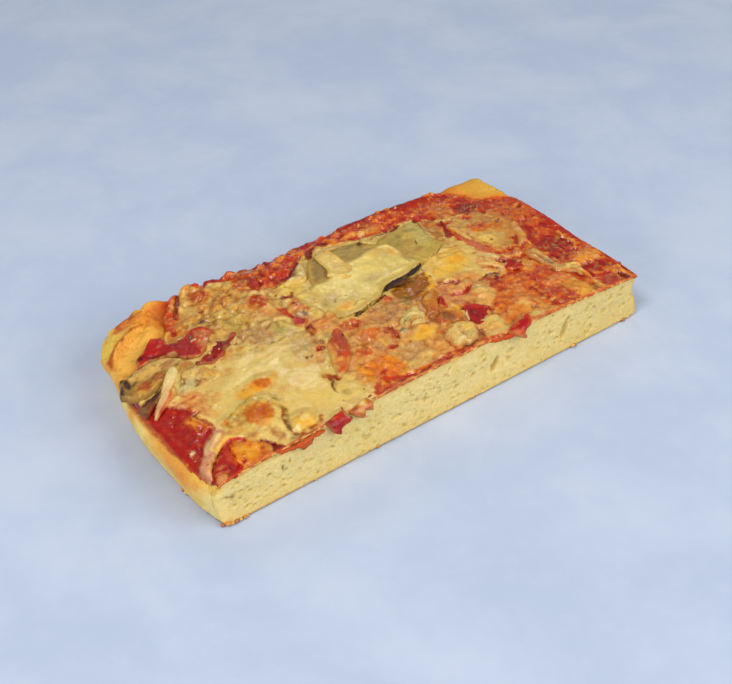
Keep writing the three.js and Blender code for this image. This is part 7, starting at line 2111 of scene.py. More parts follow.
# ------------------------------------------------------------------ toppings lying on the cheese
def piece(name, outline, lift, thick, material, base, tones=(), bumps=(), noise=(0.25, 2.0), wet=.6, rim_tone=None, rim_width=.8,
          node=(), rim=1.0, sink=.8, step=.4, ragged=.25, crown=0.0, seed=1, in_map=True, h=None, bend=False,
          base_fn=None, mott=0.0, keep_map=False, film=None):
    """One flat piece. tones and bumps are marks (kind, what, ...) in the plan map; noise is (height, size)."""
    top_h = h if h is not None else (thick * .8 + (0 if callable(lift) else lift))
    if not bend and base_fn is None:
        given = lift
        lift = (lambda x, y: given(x, y) - .3) if callable(given) else given - .3
        thick = thick * .85
    o = true_place(outline, top_h) if in_map else np.array(outline, float)
    lumps = Marks()
    lumps.items = [b for b in bumps]

    def relief(x, y):
        r = noise[0] * fbm(x, y, seed * 1.0, noise[1], 4, seed * 5 + 2, .55) * 1.6
        for amount, i, m in lumps.each(x + 0.754 * top_h, y + 1.006 * top_h, 12):
            r[i] += amount * m
        return r

    v, q, dist, low = slab(o, lift, thick, rim, sink, step, ragged, crown, relief, seed, base=base_fn)
    flat = v.copy()
    if bend:
        v = over_edge(v)
    mx, my = in_view(v if not keep_map else flat)
    marks = Marks()
    marks.items = [t for t in tones]
    n = fbm(mx, my, seed, 5.0, 3, 33)
    col = np.tile(LIN[base] if isinstance(base, str) else base, (len(v), 1)) * (1 + 0.24 * n + 0.26 * fbm(mx, my, seed, 1.4, 3, 35, .6))[:, None]
    deep = smooth(0.04, 0.42, fbm(mx, my, seed + .5, 2.8, 4, 39, .6))
    col += (col * np.array([.80, .60, .55]) - col) * (0.6 * deep)[:, None]
    w = np.full(len(v), float(wet))
    # painted shade on the piece's low places and painted light on its raised ones, from its own relief
    ridge = np.clip(relief(flat[:, 0], flat[:, 1]) / (1.5 * noise[0] + .15), -1, 1)
    col = col * (1 - smooth(0, 1, -ridge)[:, None] * np.array([.26, .40, .50])) * (1 + .12 * smooth(0, 1, ridge))[:, None]
    for what, i, m in marks.each(mx, my, 5):
        c = LIN[what] if isinstance(what, str) else what
        col[i] += (c - col[i]) * m[:, None]
        if isinstance(what, str):
            w[i] += (KIND[what][1] - w[i]) * m * .5
    if rim_tone is not None:
        c = LIN[rim_tone] if isinstance(rim_tone, str) else rim_tone
        m = smooth(rim_width, rim_width * .35, dist + 0.3 * fbm(mx, my, 3.0, 1.5, 2, seed + 9))
        col = col + (c - col) * (m * .85)[:, None]
    col = np.clip(col * np.array([.98, .92, .74]) - np.array([0, .006, .006]), .004, .95)
    if film is None:
        film = {M_PEPPER: .8, M_CURL: .7, M_ONION: .6, M_ARTICHOKE: .7, M_AUBERGINE: .45, M_CHEESE: .5}.get(material, 0)
    if film:
        # cheese and tomato have crept over its rim here and there
        around, _, wetness = paint(mx, my)
        reach = smooth(2.2, 0.0, dist)
        m = film * smooth(.42, .95, .72 * reach + .85 * fbm(mx, my, seed + 3.0, 3.4, 3, 41, .55) + .12)
        col = col + (around - col) * m[:, None]
        w += (wetness - w) * m
    ob = make_object(name, v, q, [], material, dict(col=np.clip(col, .003, .95), wet=w), nodes=node)
    return ob


def E(what, cx, cy, rx, ry, deg=0, o=1.0, s=0.5, b=0.0, w=1.0):
    return ("e", what, (cx, cy, rx, ry, deg), o, s, b, w)


def Ln(what, pts, width, o=1.0, s=0.5, b=0.0, w=1.0):
    return ("l", what, (pts, width), o, s, b, w)


def Z(what, pts, o=1.0, s=1.5, b=0.0, w=1.0):
    return ("z", what, (pts,), o, s, b, w)


FLESH, FLESH_DK, FLESH_GREY = srgb(194, 164, 86), srgb(152, 112, 54), srgb(172, 148, 90)
SKIN = srgb(40, 27, 15)
PEP, PEP_DK, PEP_LT = srgb(172, 28, 18), srgb(118, 16, 12), srgb(196, 66, 44)

# the aubergine slice in the corner, the small one beneath it
piece("aubergine_corner", [(-101.6, 7.4), (-100.6, 10.2), (-98.8, 13.4), (-98.4, 15), (-96.5, 15.6), (-94.5, 15.4), (-92, 16.5), (-89, 17), (-86, 17.9),
                           (-83, 18.2), (-80, 16.9), (-77.4, 15.4), (-75, 13.6), (-73.6, 11), (-72, 8.4), (-72.6, 5.6), (-76, 5.2), (-80, 5.2), (-84, 5.2),
                           (-86, 6.0), (-88, 4.6), (-91, 3.6), (-94, 3.2), (-96.6, 3.6), (-98.2, 3.4), (-99.6, 4.8), (-100.2, 6.2)],
      lambda x, y: 0.0 + 1.0 * smooth(-84, -100, x), 2.6, M_AUBERGINE, srgb(184, 142, 68), h=2.6, seed=3, rim=.7, noise=(.42, 2.0), wet=.45, film=.25,
      rim_tone=FLESH_DK, rim_width=.7, node=("aubergine_slice_corner",), step=.33,
      tones=[Z(srgb(216, 184, 126), [(-95, 15), (-86, 17.4), (-78, 15), (-74, 11), (-80, 10), (-88, 10.4), (-94, 11)], .7, 1.4, .4),
             Ln(SKIN, [(-101.6, 6.4), (-100.4, 10.4), (-98.7, 14.4)], 3.6, .98, .35), Ln(SKIN, [(-98.8, 14.8), (-96, 15.6), (-94.2, 15.2)], 1.4, .9, .4, .2),
             Ln(SKIN, [(-94, 15.3), (-91.5, 16.6), (-88.5, 17)], 1.2, .9, .4, .3), Ln(srgb(70, 62, 56), [(-100, 8), (-98.6, 11)], 1.2, .6, .6),
             Ln(SKIN, [(-98.7, 14.6), (-94.5, 15.6), (-91, 16.5), (-87, 17.4)], 1.0, .9, .35, .3), E("goldlt", -92, 13.4, 3, 1.2, 10, .6, .6, .3), E("goldlt", -80, 8, 3, 1.4, 10, .6, .6, .4), E(srgb(86, 58, 28), -94, 10.2, 1.5, .9, 20, .85, .45, .5), E(srgb(96, 62, 30), -91.6, 7.6, 1.3, .8, 30, .85, .45, .5), E(srgb(92, 60, 30), -87.8, 6.8, 1.4, .6, 10, .8, .45, .5), E(srgb(222, 176, 96), -90, 5, 1.2, .8, 10, .8, .45, .4), E(srgb(226, 186, 110), -86, 5.4, 1.2, .6, 10, .7, .45, .4), E(srgb(110, 76, 40), -83, 11, 1.4, .5, 10, .7, .45, .5), E("dkbrown", -90.6, 6, 1.6, 1.2, 20, .9, .5, .5), E("dkbrown", -85, 6.2, 1.2, .9, 20, .8, .5, .5), E("goldlt", -93, 4.6, 1.4, .9, 10, .8, .5, .4), E("goldlt", -88.8, 6.8, 1.0, .8, 10, .8, .5, .4), E("olivedk", -80.6, 13, 1.2, .6, 10, .7, .5, .5), E("dkbrown", -78, 9.4, 1.0, .5, 10, .7, .5, .5), E(SKIN, -96.5, 11.4, 1.1, 2.9, -8, .95, .4, .15), E(srgb(110, 96, 66), -98.2, 7.6, 1.0, 2.4, 0, .5, .6), E("red", -92.1, 12.2, .65, .55, 0, .8, .5),
             E("gold", -88, 12, 5, 2.6, 10, .5, .7, .4), E("goldlt", -84, 15, 4, 1.6, 10, .5, .7, .4), E("brown", -92, 6, 3.0, 2.6, 0, .9, .5, .6), E("brown", -86, 7, 3, 1.6, 10, .75, .5, .6), E("dkbrown", -87, 9.6, 2.2, 1.0, 20, .75, .5, .6), E("brown", -80, 12, 3, 1.4, 10, .6, .5, .6), E("dkbrown", -95.6, 3.2, 1.6, 1.0, 0, .8, .6, .5),
             E("dkbrown", -89.4, 8, .9, 1.1, 20, .6, .5, .4), E("brown", -86, 9, 1.6, .9, 10, .6, .5, .5), E("dkbrown", -84, 9.4, 1.8, .5, 10, .5, .5, .5),
             E("gold", -88, 5.2, 2, 1.6, 0, .5, .6, .4), E("gold", -94.4, 4.6, 1.4, 1.4, 0, .5, .6, .4), E("goldlt", -87, 3.6, 1.6, .7, 20, .5, .6, .3),
             E("dkbrown", -82.2, 13, .9, .6, 0, .75, .5, .5), E("olivedk", -84, 14.4, .7, .6, 0, .7, .5, .5), E("olivedk", -89.2, 11, .8, .4, 0, .7, .5, .5),
             E("olivedk", -92.6, 9, .7, .4, 0, .6, .5, .5), E("pinkgrey", -89.5, 15, 1.6, .9, 0, .4, .6), E("grey", -92.6, 14.6, 1, 1, 0, .5, .6),
             E("orangebr", -76, 7.4, 1.8, 1.1, 0, .6, .6, .4), E("olive", -75.6, 10, 1.4, 1.2, 0, .5, .6, .3), Ln(SKIN, [(-96.4, 2), (-93, 1.4), (-90, 2)], .7, .6, .5)],
      bumps=[E(-.5, -96.5, 11.4, 1.3, 3, -8, 1, .8), E(-.5, -92, 6.5, 1.6, 1.6, 0, 1, .8), E(.4, -88.4, 5.4, 2, 1.6, 0, 1, .8), E(-.45, -89.4, 8, .9, 1, 0, 1, .8),
             E(.5, -84, 14, 5, 2, 10, 1, .9), E(.35, -94.5, 5, 1.4, 1.4, 0, 1, .8)])

piece("aubergine_under", [(-99.8, -1), (-98, .2), (-96, .6), (-93, 1.4), (-90, 2.4), (-87, 3.8), (-86.5, 2), (-89, -.4), (-92, -2.6), (-95, -3.8), (-97, -5.4),
                          (-99.6, -6.4), (-100.2, -4)],
      -.5, 1.7, M_AUBERGINE, srgb(130, 88, 48), h=1.0, seed=4, rim=.7, noise=(.3, 1.6), wet=.5, node=("aubergine_slice_under",), step=.33,
      # the dark line along its top edge is the painted shadow of the corner slice above
      tones=[Ln(srgb(58, 26, 18), [(-98, -1), (-94.5, -.4), (-91, .9), (-88, 2.6)], (2.0, 3.0, 2.4, 1.4), .95, .4, .2), E(srgb(190, 150, 90), -98.6, .2, 1.4, .7, 10, .7, .5), E(SKIN, -99.8, -6.4, 1.2, 1, 0, .8, .5),
             E("tan", -98, -.6, 1.6, .6, 10, .6, .5, .3), E("olivedk", -99, -4, .8, 1.8, 0, .6, .5, .4), E("dkbrown", -95.6, -3, 2.4, .7, 20, .6, .5, .4)])

# roast red pepper by the crust end
piece("pepper_corner", [(-89.6, 18.3), (-88.2, 20.5), (-87.4, 23), (-85.4, 24), (-82.5, 25.2), (-80.5, 27.4), (-78.2, 29), (-76.4, 27.8), (-74.4, 26.6), (-74, 24),
                        (-74.4, 21.7), (-72, 21.8), (-70, 22.4), (-67.6, 22.6), (-65.6, 24.4), (-62, 25), (-59, 23.4), (-57.2, 20), (-57.2, 17.8), (-60.4, 16),
                        (-62, 13.6), (-64.6, 11.4), (-66.8, 9.8), (-68.8, 9.3), (-71, 9.9), (-73, 11), (-75, 12.6), (-75.6, 14.8), (-78, 16), (-81, 16.5),
                        (-84, 18), (-87, 17.5)],
      lambda x, y: 0.2 + 0.9 * smooth(-70, -78, x) * smooth(-90, -80, x), 1.7, M_PEPPER, PEP, h=2.0, seed=5, rim=.8, noise=(.36, 2.6), wet=.8, ragged=.4, film=.42,
      node=("pepper_piece_corner",), step=.33, rim_tone=PEP_DK, rim_width=.35,
      tones=[Z(srgb(152, 34, 24), [(-80, 20), (-76, 22), (-70, 21), (-69, 14), (-70, 11), (-74, 13), (-77, 17)], .7, 1.5), E(srgb(184, 36, 24), -80, 25, 3, 2, 30, .6, .6),
             # the dark line along the bottom edge is a painted shadow
             E("redbr", -78, 27.4, 1, 1.6, 0, .7, .5), E(PEP_DK, -73, 20, 1, 3, 0, .5, .6), Ln(PEP_DK, [(-84, 18.6), (-80, 17.4), (-76, 16), (-74.6, 13.4)], 1.8, .8, .5),
             Ln(PEP_DK, [(-85, 22), (-83, 20), (-81, 18.6)], 1.6, .6, .6), E(SKIN, -86.3, 21.3, 1.2, .9, 0, .85, .5, .3), E("redbr", -87, 19, 2, 1.2, 0, .7, .6, .4),
             E(PEP_LT, -80, 19.4, 1.4, 1, 0, .5, .6), E("redbr", -75.4, 24.8, 1, 1.2, 0, .6, .6, .3), E("saucedk", -74.4, 26, .7, 1.4, 0, .6, .6, .3),
             Z(srgb(182, 60, 42), [(-68.4, 22), (-64, 24.4), (-60, 23), (-58, 18), (-62, 14), (-66, 11), (-68.4, 14)], .75, .8, .5),
             E("pinkish", -62.4, 19, 2.2, 2.6, 0, .5, .6, .6), E(PEP, -61, 22.5, 2.4, 1.6, 0, .7, .6, .3), E(srgb(96, 40, 44), -66, 20, .9, 1.8, -40, .85, .5, .3),
             # the white spots here and on the next line are painted glints
             E("grey", -66, 20, .5, .9, -40, .6, .5, .3), E("white", -66.3, 17.6, 1.1, .6, 10, .85, .5, .4), E("white", -64.8, 16, .6, .5, 0, .6, .5, .3),
             E("white", -62.4, 15, 1.2, 1, 0, .6, .5, .5), E("pinkish", -64.8, 14, 1.6, 1.8, 30, .6, .5, .6), E(PEP_DK, -68.3, 16, .6, 4, 0, .5, .6, .2),
             Ln("redpink", [(-67, 13), (-64.6, 16), (-62, 21)], .8, .6, .5, .3), E("pinkish", -60, 18, 1.4, 1.2, 0, .5, .6, .5)],
      bumps=[E(.5, -79, 24, 5, 3, 30, 1, .9), E(.4, -73, 17, 4, 4, 0, 1, .9), E(-.5, -66, 19, 1.0, 3.4, -20, 1, .8), E(.5, -63, 18, 1.6, 2, 0, 1, .8),
             E(-.4, -64.5, 15.6, 1.4, 1, 0, 1, .8), E(.5, -66.3, 17.4, 1.2, .8, 0, 1, .8), E(-.35, -61, 20, .8, 2.4, 20, 1, .8), E(.4, -60, 22, 1.6, 1.4, 0, 1, .8),
             Ln(-.5, [(-86, 21), (-84, 20.4), (-82, 18.8)], 1.6, 1, .8)])

piece("pepper_strip_corner_skin", [(-72.4, 5.4), (-71.6, 7.1), (-70, 6.3), (-68.5, 7.6), (-66, 7.8), (-64, 8.6), (-62.6, 10.6), (-60.6, 12.3), (-58.5, 11.6),
                                   (-57, 10.2), (-55.4, 10.8), (-53.4, 12.9), (-51.4, 12), (-52, 10.4), (-54.4, 8.2), (-57, 7.2), (-59.4, 6), (-61.4, 3.8),
                                   (-64, 3), (-67, 2.2), (-69, 2.8), (-70.4, 4.2)],
      0.1, 1.5, M_PEPPER, srgb(146, 30, 18), h=1.4, seed=6, rim=.8, noise=(.34, 1.8), wet=.8, ragged=.35, film=.3, node=("pepper_strip_corner",), step=.33,
      tones=[E(PEP_DK, -60.4, 9.2, 1.6, 3, -20, .8, .5), Ln(srgb(86, 60, 62), [(-58, 8.6), (-56.6, 9.8), (-55, 11)], 1.1, .85, .5), E("redpink", -54, 10.6, 1.8, 1.2, 20, .5, .6, .5),
             # the white dot is a painted highlight
             E("redbr", -69.6, 5.8, 1, .8, 0, .6, .6, .4), E("redpink", -66, 5.4, 1.4, .8, 20, .35, .6, .5), E(PEP_DK, -71.8, 5.6, .8, .8, 0, .8, .5), E("white", -61.9, 6.3, .35, .3, 0, .8, .5),
             E("orange", -59.6, 12, .6, 1.2, 20, .7, .5), E(PEP_DK, -67.5, 3.4, 2.6, .6, 10, .5, .6)],
      bumps=[E(.4, -68, 5, 1.4, 1.4, 0, 1, .8), E(-.3, -65.6, 5.6, .6, 2, 0, 1, .8), E(.4, -62, 7, 1.6, 2.4, 30, 1, .8), E(-.4, -57, 9, .8, 2, 40, 1, .8)])

# artichoke and the cheese strings beside it
piece("artichoke_corner", [(-79.6, 5), (-76.5, 5.9), (-73.6, 5.1), (-71.2, 3.4), (-69.2, 1.2), (-68.2, -1.5), (-66.8, -3.8), (-68.6, -6), (-71.4, -6.2), (-74, -6.4),
                           (-77.4, -6.4), (-80, -6.2), (-83, -5.6), (-85.2, -3), (-84.6, 0), (-83, 1.6), (-81, 2)],
      -.3, 2.1, M_ARTICHOKE, srgb(208, 180, 112), h=1.6, seed=7, rim=1.2, noise=(.4, 1.7), wet=.5, node=("artichoke_piece_corner",), step=.33,
      tones=[E(srgb(206, 194, 142), -81, -3.6, 3, 2.6, 0, .85, .6, .2), E("brown", -74, .4, 1.8, 1.4, 0, .5, .6, .5), E("orange", -71.6, .6, 1.1, 1.1, 0, .75, .5, .3),
             E("orange", -70.6, -3, .8, 1.8, 10, .7, .5, .3), E("dkbrown", -76.8, -2.9, 1.1, .7, -10, .85, .5, .3), E("brown", -75.4, -4.4, 1.7, 1.2, 10, .7, .6, .4),
             E("dkbrown", -77.8, -5.5, 1.1, .5, 0, .7, .5, .3), Ln("dkbrown", [(-82.6, .4), (-81.6, -1.2), (-80.4, -.2), (-80, 1)], .8, .7, .5), E("olive", -82.6, .6, 1.1, 1.1, 0, .7, .5),
             E("yellow", -68.6, -4.6, 1.6, 2, 20, .6, .6, .2), E("gold", -72.5, -2.6, 1.3, 2, 10, .6, .6, .3), E("creamgrey", -78.8, -1.6, 1.6, 2, 0, .6, .6),
             Ln("brown", [(-79.6, 4.4), (-80, 2.2), (-79, .4)], .6, .7, .5), E("tan", -74, 4.4, 2.8, .9, -10, .5, .6), Ln("gold", [(-73.4, -1), (-72.6, -4)], .5, .8, .5),
             Ln("goldlt", [(-72, -.6), (-71.2, -4)], .5, .8, .5), E("olivedk", -83.6, -4.4, 1.2, .6, 30, .6, .6)],
      bumps=[E(.8, -75, 2.6, 3, 2, 0, 1, .8), E(-.7, -81.4, -.6, 1.2, 1.2, 0, 1, .8), E(.6, -81, -3.6, 2, 1.6, 0, 1, .8), E(-.6, -77.4, -3.4, 1.6, .7, 10, 1, .8),
             E(.6, -72.6, -1.6, 1.4, 1.8, 0, 1, .8), E(-.5, -71.6, -.4, .4, 2.4, 10, 1, .8), E(.5, -69, -3.6, 1.2, 1.6, 0, 1, .8), E(.5, -75.4, -4.6, 1.4, .8, 0, 1, .8)])

piece("cheese_string", ribbon([(-80.4, 8.8), (-81.2, 6.6), (-83.2, 4.6), (-86.8, 1.4), (-88.6, -1.4), (-92.4, -4.2), (-94.4, -6.2), (-96.8, -8.6)], (6.6, 6.2, 4.8, 4.0, 4.4, 3.6, 3.4, 2.2)),
      lambda x, y: 0.1 + 1.9 * smooth(-4, 3, y) * smooth(-92, -84, x), 1.6, M_CHEESE, srgb(230, 206, 156), h=2.0, seed=8, rim=1.1, noise=(.3, 2.0), wet=.5, ragged=.35, film=.4,
      node=("cheese_string_corner",), step=.33,
      tones=[E(srgb(216, 204, 140), -80.6, 7, 2.4, 2, 40, .6, .7), Z("pinkish", [(-88, 2), (-86, -1), (-96, -12), (-101, -10), (-94, -3)], .55, 2),
             Ln("redbr", [(-86.2, -1), (-89, -4.4), (-92.6, -6.8), (-95.6, -9.6)], 1.1, .85, .5), E("green", -97.2, -4.8, 1.6, .8, 20, .4, .6),
             Ln("creamlt", [(-83, 5.6), (-88, 1), (-92, -3)], .8, .5, .6)])
piece("cheese_string_small", ribbon([(-78.6, 5.8), (-80.6, 4), (-82.4, 1.6), (-83.6, -1)], (2.2, 3.0, 3.0, 2.2)),
      .9, 1.4, M_CHEESE, srgb(206, 184, 104), h=2.2, seed=9, rim=1.2, noise=(.12, 2.0), wet=.5, ragged=.15, step=.33,
      tones=[Ln("brown", [(-79, 3.4), (-80.8, 1), (-82, -.8)], .7, .7, .5), E("olive", -82.4, .6, 1, 1, 0, .6, .6)])

# ---- the big aubergine slice and what has melted over it
AUB = true_place([(-12.5, 16), (-11, 22), (-7.4, 29), (-3.6, 34), (3, 35), (10, 34.4), (18, 33.6), (25, 31.4), (28.4, 29.8), (34, 30.6), (42, 31.4), (48, 32.6), (50.4, 30.4),
                  (49.4, 26), (47, 20), (47.6, 15), (50, 11.4), (46, 9.8), (40, 6.6), (33, 4.6), (28, 2.8), (20, .9), (12, .5), (6.4, -2.6), (0, -5.2), (-6, -6.6), (-11, -8.4),
                  (-14, -2), (-14, 8)], 2.4)
AUB_LINE = spline(list(map(tuple, AUB)) + [tuple(AUB[0])], 0.8)


def on_aubergine(x, y):
    """Height of the surface that cheese lies on: the slice, or the topping beside it."""
    d = outside(AUB_LINE, np.asarray(x, float).ravel(), np.asarray(y, float).ravel()).reshape(np.shape(x))
    return 2.3 * (1 - smooth(-0.6, 2.6, d))


piece("aubergine_main", AUB, -.9, 3.3, M_AUBERGINE, FLESH, in_map=False, h=2.4, seed=11, rim=.7, film=.12, noise=(.4, 3.0), wet=.3, step=.4, ragged=.4,
      node=("aubergine_slice_main",),
      tones=[Z(srgb(192, 166, 88), [(27, 27), (34, 30), (46, 32), (50, 26), (47, 16), (40, 8), (30, 5), (28, 14)], .8, 1.5), E(srgb(196, 178, 106), 43, 20, 4, 8, -20, .5, .7),
             # the olive-grey outline at the left is painted shade along the left side of the pale strip
             E(srgb(168, 152, 84), 32, 24, 4, 5, 0, .6, .7), E(FLESH_GREY, 13, 26, 7, 5, 0, .9, .6), Z(srgb(158, 132, 84), [(-11, 18), (-6, 28), (-2, 32), (-1, 24), (-3, 18)], .85, 1.2),
             Ln(FLESH_DK, [(46, 22), (43, 17), (45, 12)], 3, .4, .7, .3), Z(srgb(180, 110, 50), [(47, 26), (50, 26), (50, 12), (46, 12)], .6, 1.5, .3),
             Ln(SKIN, [(9, 33), (13, 33.6), (18, 32.8)], 1.0, .6, .6, .5), E(srgb(64, 40, 26), 19, 30.4, 1.1, 1.8, -10, .9, .5, .1), E("olivedk", 13, 31, 4, 1.6, 0, .4, .7, .5),
             E(SKIN, 49.4, 31, .9, 1.6, -20, .95, .5), E("olivedk", 46, 32, 2.6, .9, 10, .6, .5), E("brown", 30.4, 28, 2, .9, 20, .5, .6, .5), E(SKIN, 31.8, 30.2, 1, .8, 0, .7, .6),
             Ln(srgb(196, 182, 112), [(42, 15), (43.6, 22), (45.6, 30)], 4.4, .5, .7, .2), Ln(SKIN, [(48.4, 29.8), (49.6, 31.8)], 1.8, .8, .4, .3), E(srgb(188, 142, 58), 46.4, 13, 2.8, 1.6, 20, .6, .6), Ln("dkbrown", [(38.1, 16.3), (39.2, 18.4)], .7, .9, .5), Ln("white", [(39.2, 16.6), (40.2, 18.4)], .6, .7, .5), E("redpink", 34.4, 16.2, .9, .5, 0, .6, .6),
             Ln("olive", [(34, 15), (37, 14.4)], .7, .5, .6), E(srgb(164, 134, 62), 45, 13.5, 2.4, 2, 30, .6, .6), E("olive", 33, 9, 3, 2, 20, .5, .6, .3),
             Ln(SKIN, [(-11, -8.8), (-6, -7.3), (0, -6.3), (5, -4.4), (8, -3.2)], 1.4, .97, .35), Ln(SKIN, [(6, -4), (12, -1.6), (20, -1.2), (27, 1.2)], 3.2, .97, .35), E(srgb(206, 190, 116), 43.4, 20, 3.0, 8, -12, .75, .6, .3), E(srgb(208, 196, 130), 24.6, 31.6, 2.2, 2.2, 0, .7, .6, .3), Ln("olivedk", [(7.6, 32.6), (12, 33.2), (16.4, 32.8)], 1.4, .8, .5, .4), E("olive", 10, 29.6, 2.4, 1.4, 10, .5, .6, .4), E("tan", 31, 12, 4, 3, 0, .4, .7, .3), Z(srgb(196, 172, 84), [(30, 11), (38, 12), (45, 14), (46, 10), (38, 7), (31, 5.4)], .7, 1.2, .3), Z(srgb(172, 116, 54), [(46.4, 13), (47, 22), (49, 28), (52, 28), (52, 12)], .8, 1.0, .3), Ln("brown", [(33, 22), (36, 19.6), (40, 20)], 1.0, .35, .6, .6), E("olivedk", 36, 25, 2.4, 1.2, 20, .4, .6, .5),
             Ln(SKIN, [(27, 1), (30, 2.4)], 1.4, .95, .4), Ln(srgb(90, 62, 40), [(38.6, 5), (42, 7), (46, 9.4)], .9, .85, .4), Ln("olivedk", [(30, 2.4), (34, 4.2)], .8, .6, .5, .2),
             Ln(SKIN, [(50.4, 28), (50, 32)], 1.0, .5, .5), Ln("dkbrown", [(49.6, 30), (47.4, 24), (46.8, 18), (49, 12.4)], .9, .6, .5, .5),
             Ln("dkbrown", [(28.6, 30), (33, 30.6), (40, 31.2), (47, 32)], 1.0, .7, .5, .6), E("goldlt", 39, 24, 3, 2, 0, .4, .7, .3), E("olivedk", 42, 26, 3.4, 1.4, -20, .4, .6, .4), E("brown", 36, 12, 2.4, 1.2, 20, .35, .6, .5)],
      bumps=[Ln(-.6, [(38, 16), (39.4, 18.6)], .8, 1, .7), E(.5, 43, 18, 3, 7, -20, 1, .9), E(-.6, 19, 30.4, 1.2, 2, 0, 1, .8), Ln(-.5, [(-9, 20), (-5, 28)], 2, 1, .9),
             E(-.4, 31, 24, 3, 5, 0, 1, .9), E(.4, 35, 10, 4, 3, 0, 1, .9)])

# the loose skin hanging off its near side
piece("aubergine_skin", [(4.0, -4.6), (7, -2.8), (10, -.6), (13.6, .5), (17, .3), (20, .4), (23.4, 1.6), (27.4, 2.7), (30.4, 3.6), (28, 1.6), (25, .2), (22.4, -.4), (20, -.8), (18.6, -1.8), (16.4, -2.8), (13.6, -2.2), (11, -2.2), (8, -2.6), (6, -3.6)],
      lambda x, y: .3 + 1.3 * smooth(-7, -1, y), .8, M_AUBERGINE, srgb(52, 35, 20), h=1.6, seed=12, rim=.5, noise=(.3, 1.6), wet=.05, ragged=.35, film=0, step=.33,
      tones=[E(srgb(104, 66, 34), 16, -3.6, 5, 1.6, 5, .9, .7, .4), E(srgb(36, 34, 28), 9, -2.6, 3, 1, 20, .6, .6), E("brown", 17, -6, 1.6, .9, 0, .6, .6, .4), E("olivedk", 19, -1, .9, .6, 0, .5, .6)])

# cheese lying over the slice: a broad sheet, a thick finger, a string and two browned edges
piece("cheese_over", [(-19.6, 19.6), (-20.6, 14), (-19.4, 8), (-18, 2), (-15.5, -2.4), (-13, -5.6), (-8, -6.4), (-3, -5.4), (2, -4.2), (5.4, -3.0), (7.4, -1.2), (10, .6), (14, 1.2), (18, 1.4), (22, 2.2),
                      (26, 3.2), (29.4, 4.4), (31.8, 6.2), (30.4, 8), (28.6, 12), (29.6, 18), (28.4, 23.6), (24, 24.6), (17, 24.4), (13, 22.8), (8, 22.6), (3, 24), (-2.4, 18.6),
                      (-7, 17.2), (-12, 17.6), (-15, 20)],
      on_aubergine, .85, M_CHEESE, srgb(228, 206, 124), h=2.9, seed=13, rim=3.6, noise=(.20, 4.6), wet=.42, ragged=.6, film=0, rim_tone="melt", rim_width=2.4, sink=1.2, step=.42,
      tones=[E("creamlt", 1, 14, 9, 10, 0, .45, .8), E("yellowcream", 13, 12, 10, 9, 0, .4, .8), E("creamgrey", 8, 7, 5, 3, 0, .5, .7), E("creamgrey", -14, 4, 4, 5, 0, .5, .7, .2),
             E("gold", 25.6, 17, 1.7, 2.8, 0, .75, .6), E("orangelt", 25.6, 17.4, .9, 1.6, 0, .6, .6), E("gold", 20, 20.4, 3.6, 1.8, 10, .55, .7, .3), E("gold", 18, 17.6, 1.6, 1.4, 0, .35, .7),
             # the pale spot and the white line by the skin are painted highlights
             E("creamlt", 21.4, 3.6, 1.6, .8, -20, .8, .6), Ln("white", [(13, 5), (16, 5.6), (21, 4.8)], 1.2, .5, .6), E("olive", 27.6, 10, .7, .8, 30, .5, .6), E("olive", 7.4, 7, .9, .6, 0, .4, .6),
             Ln("olivedk", [(-12.6, 2.4), (-11, 3.8)], .8, .7, .5), E("olivedk", -6.8, 3.6, .6, .5, 0, .7, .5), E("olivedk", -16.4, 3.2, .7, .6, 0, .5, .6), E("brown", -13.8, 18.2, .8, .6, 20, .8, .5),
             E("olive", -16, 5, 2, 1.4, 0, .3, .7, .5), E("green", -3, -2, 4, 3, 0, .25, .8), E("olive", -3.6, 2, 2, 3, 0, .3, .7), E("yellow", -16, 18.4, 3, 1.4, 10, .5, .6),
             E("olive", 10, 2.4, 3.4, 1, 10, .6, .6), E("olive", 17, 2.2, 4, 1, 0, .4, .6), E("tan", -18, 14, 2, 5, 0, .4, .7, .3), E("yellow", -14.4, -3.4, 3.6, 1.8, 20, .7, .6, .3), E(srgb(224, 168, 70), -11, -1.6, 3.2, 2.0, 0, .8, .8, .4), E(srgb(214, 146, 58), -10.6, -2, 1.6, 1.2, 0, .6, .6, .4), Ln("brown", [(-8, -3.4), (-5, -2), (-2, -3)], .9, .5, .6, .4), Ln("pinkgrey", [(-14, -5.6), (-8, -6), (-2, -4.8)], 1.4, .6, .6, .4)],
      bumps=[Ln(.5, [(-4, 18), (-1.4, 15.6), (1, 14.6)], 2, 1, .8), E(.6, 20, 4.4, 4, 1.4, 0, 1, .9), E(.5, 6, 14, 5, 5, 0, 1, .95), E(-.5, 9, 8, 4, 2.4, 0, 1, .9), E(-.5, 28, 10, 1, 3, 0, 1, .8),
             E(.5, -10.6, -1, 3, 2.6, 0, 1, .8), E(.4, 14, 20, 4, 2, 0, 1, .9), E(-.4, -11, 6, 4, 4, 0, 1, .9), Ln(.5, [(24, 24), (28, 20), (29, 13)], 1.6, 1, .8)])
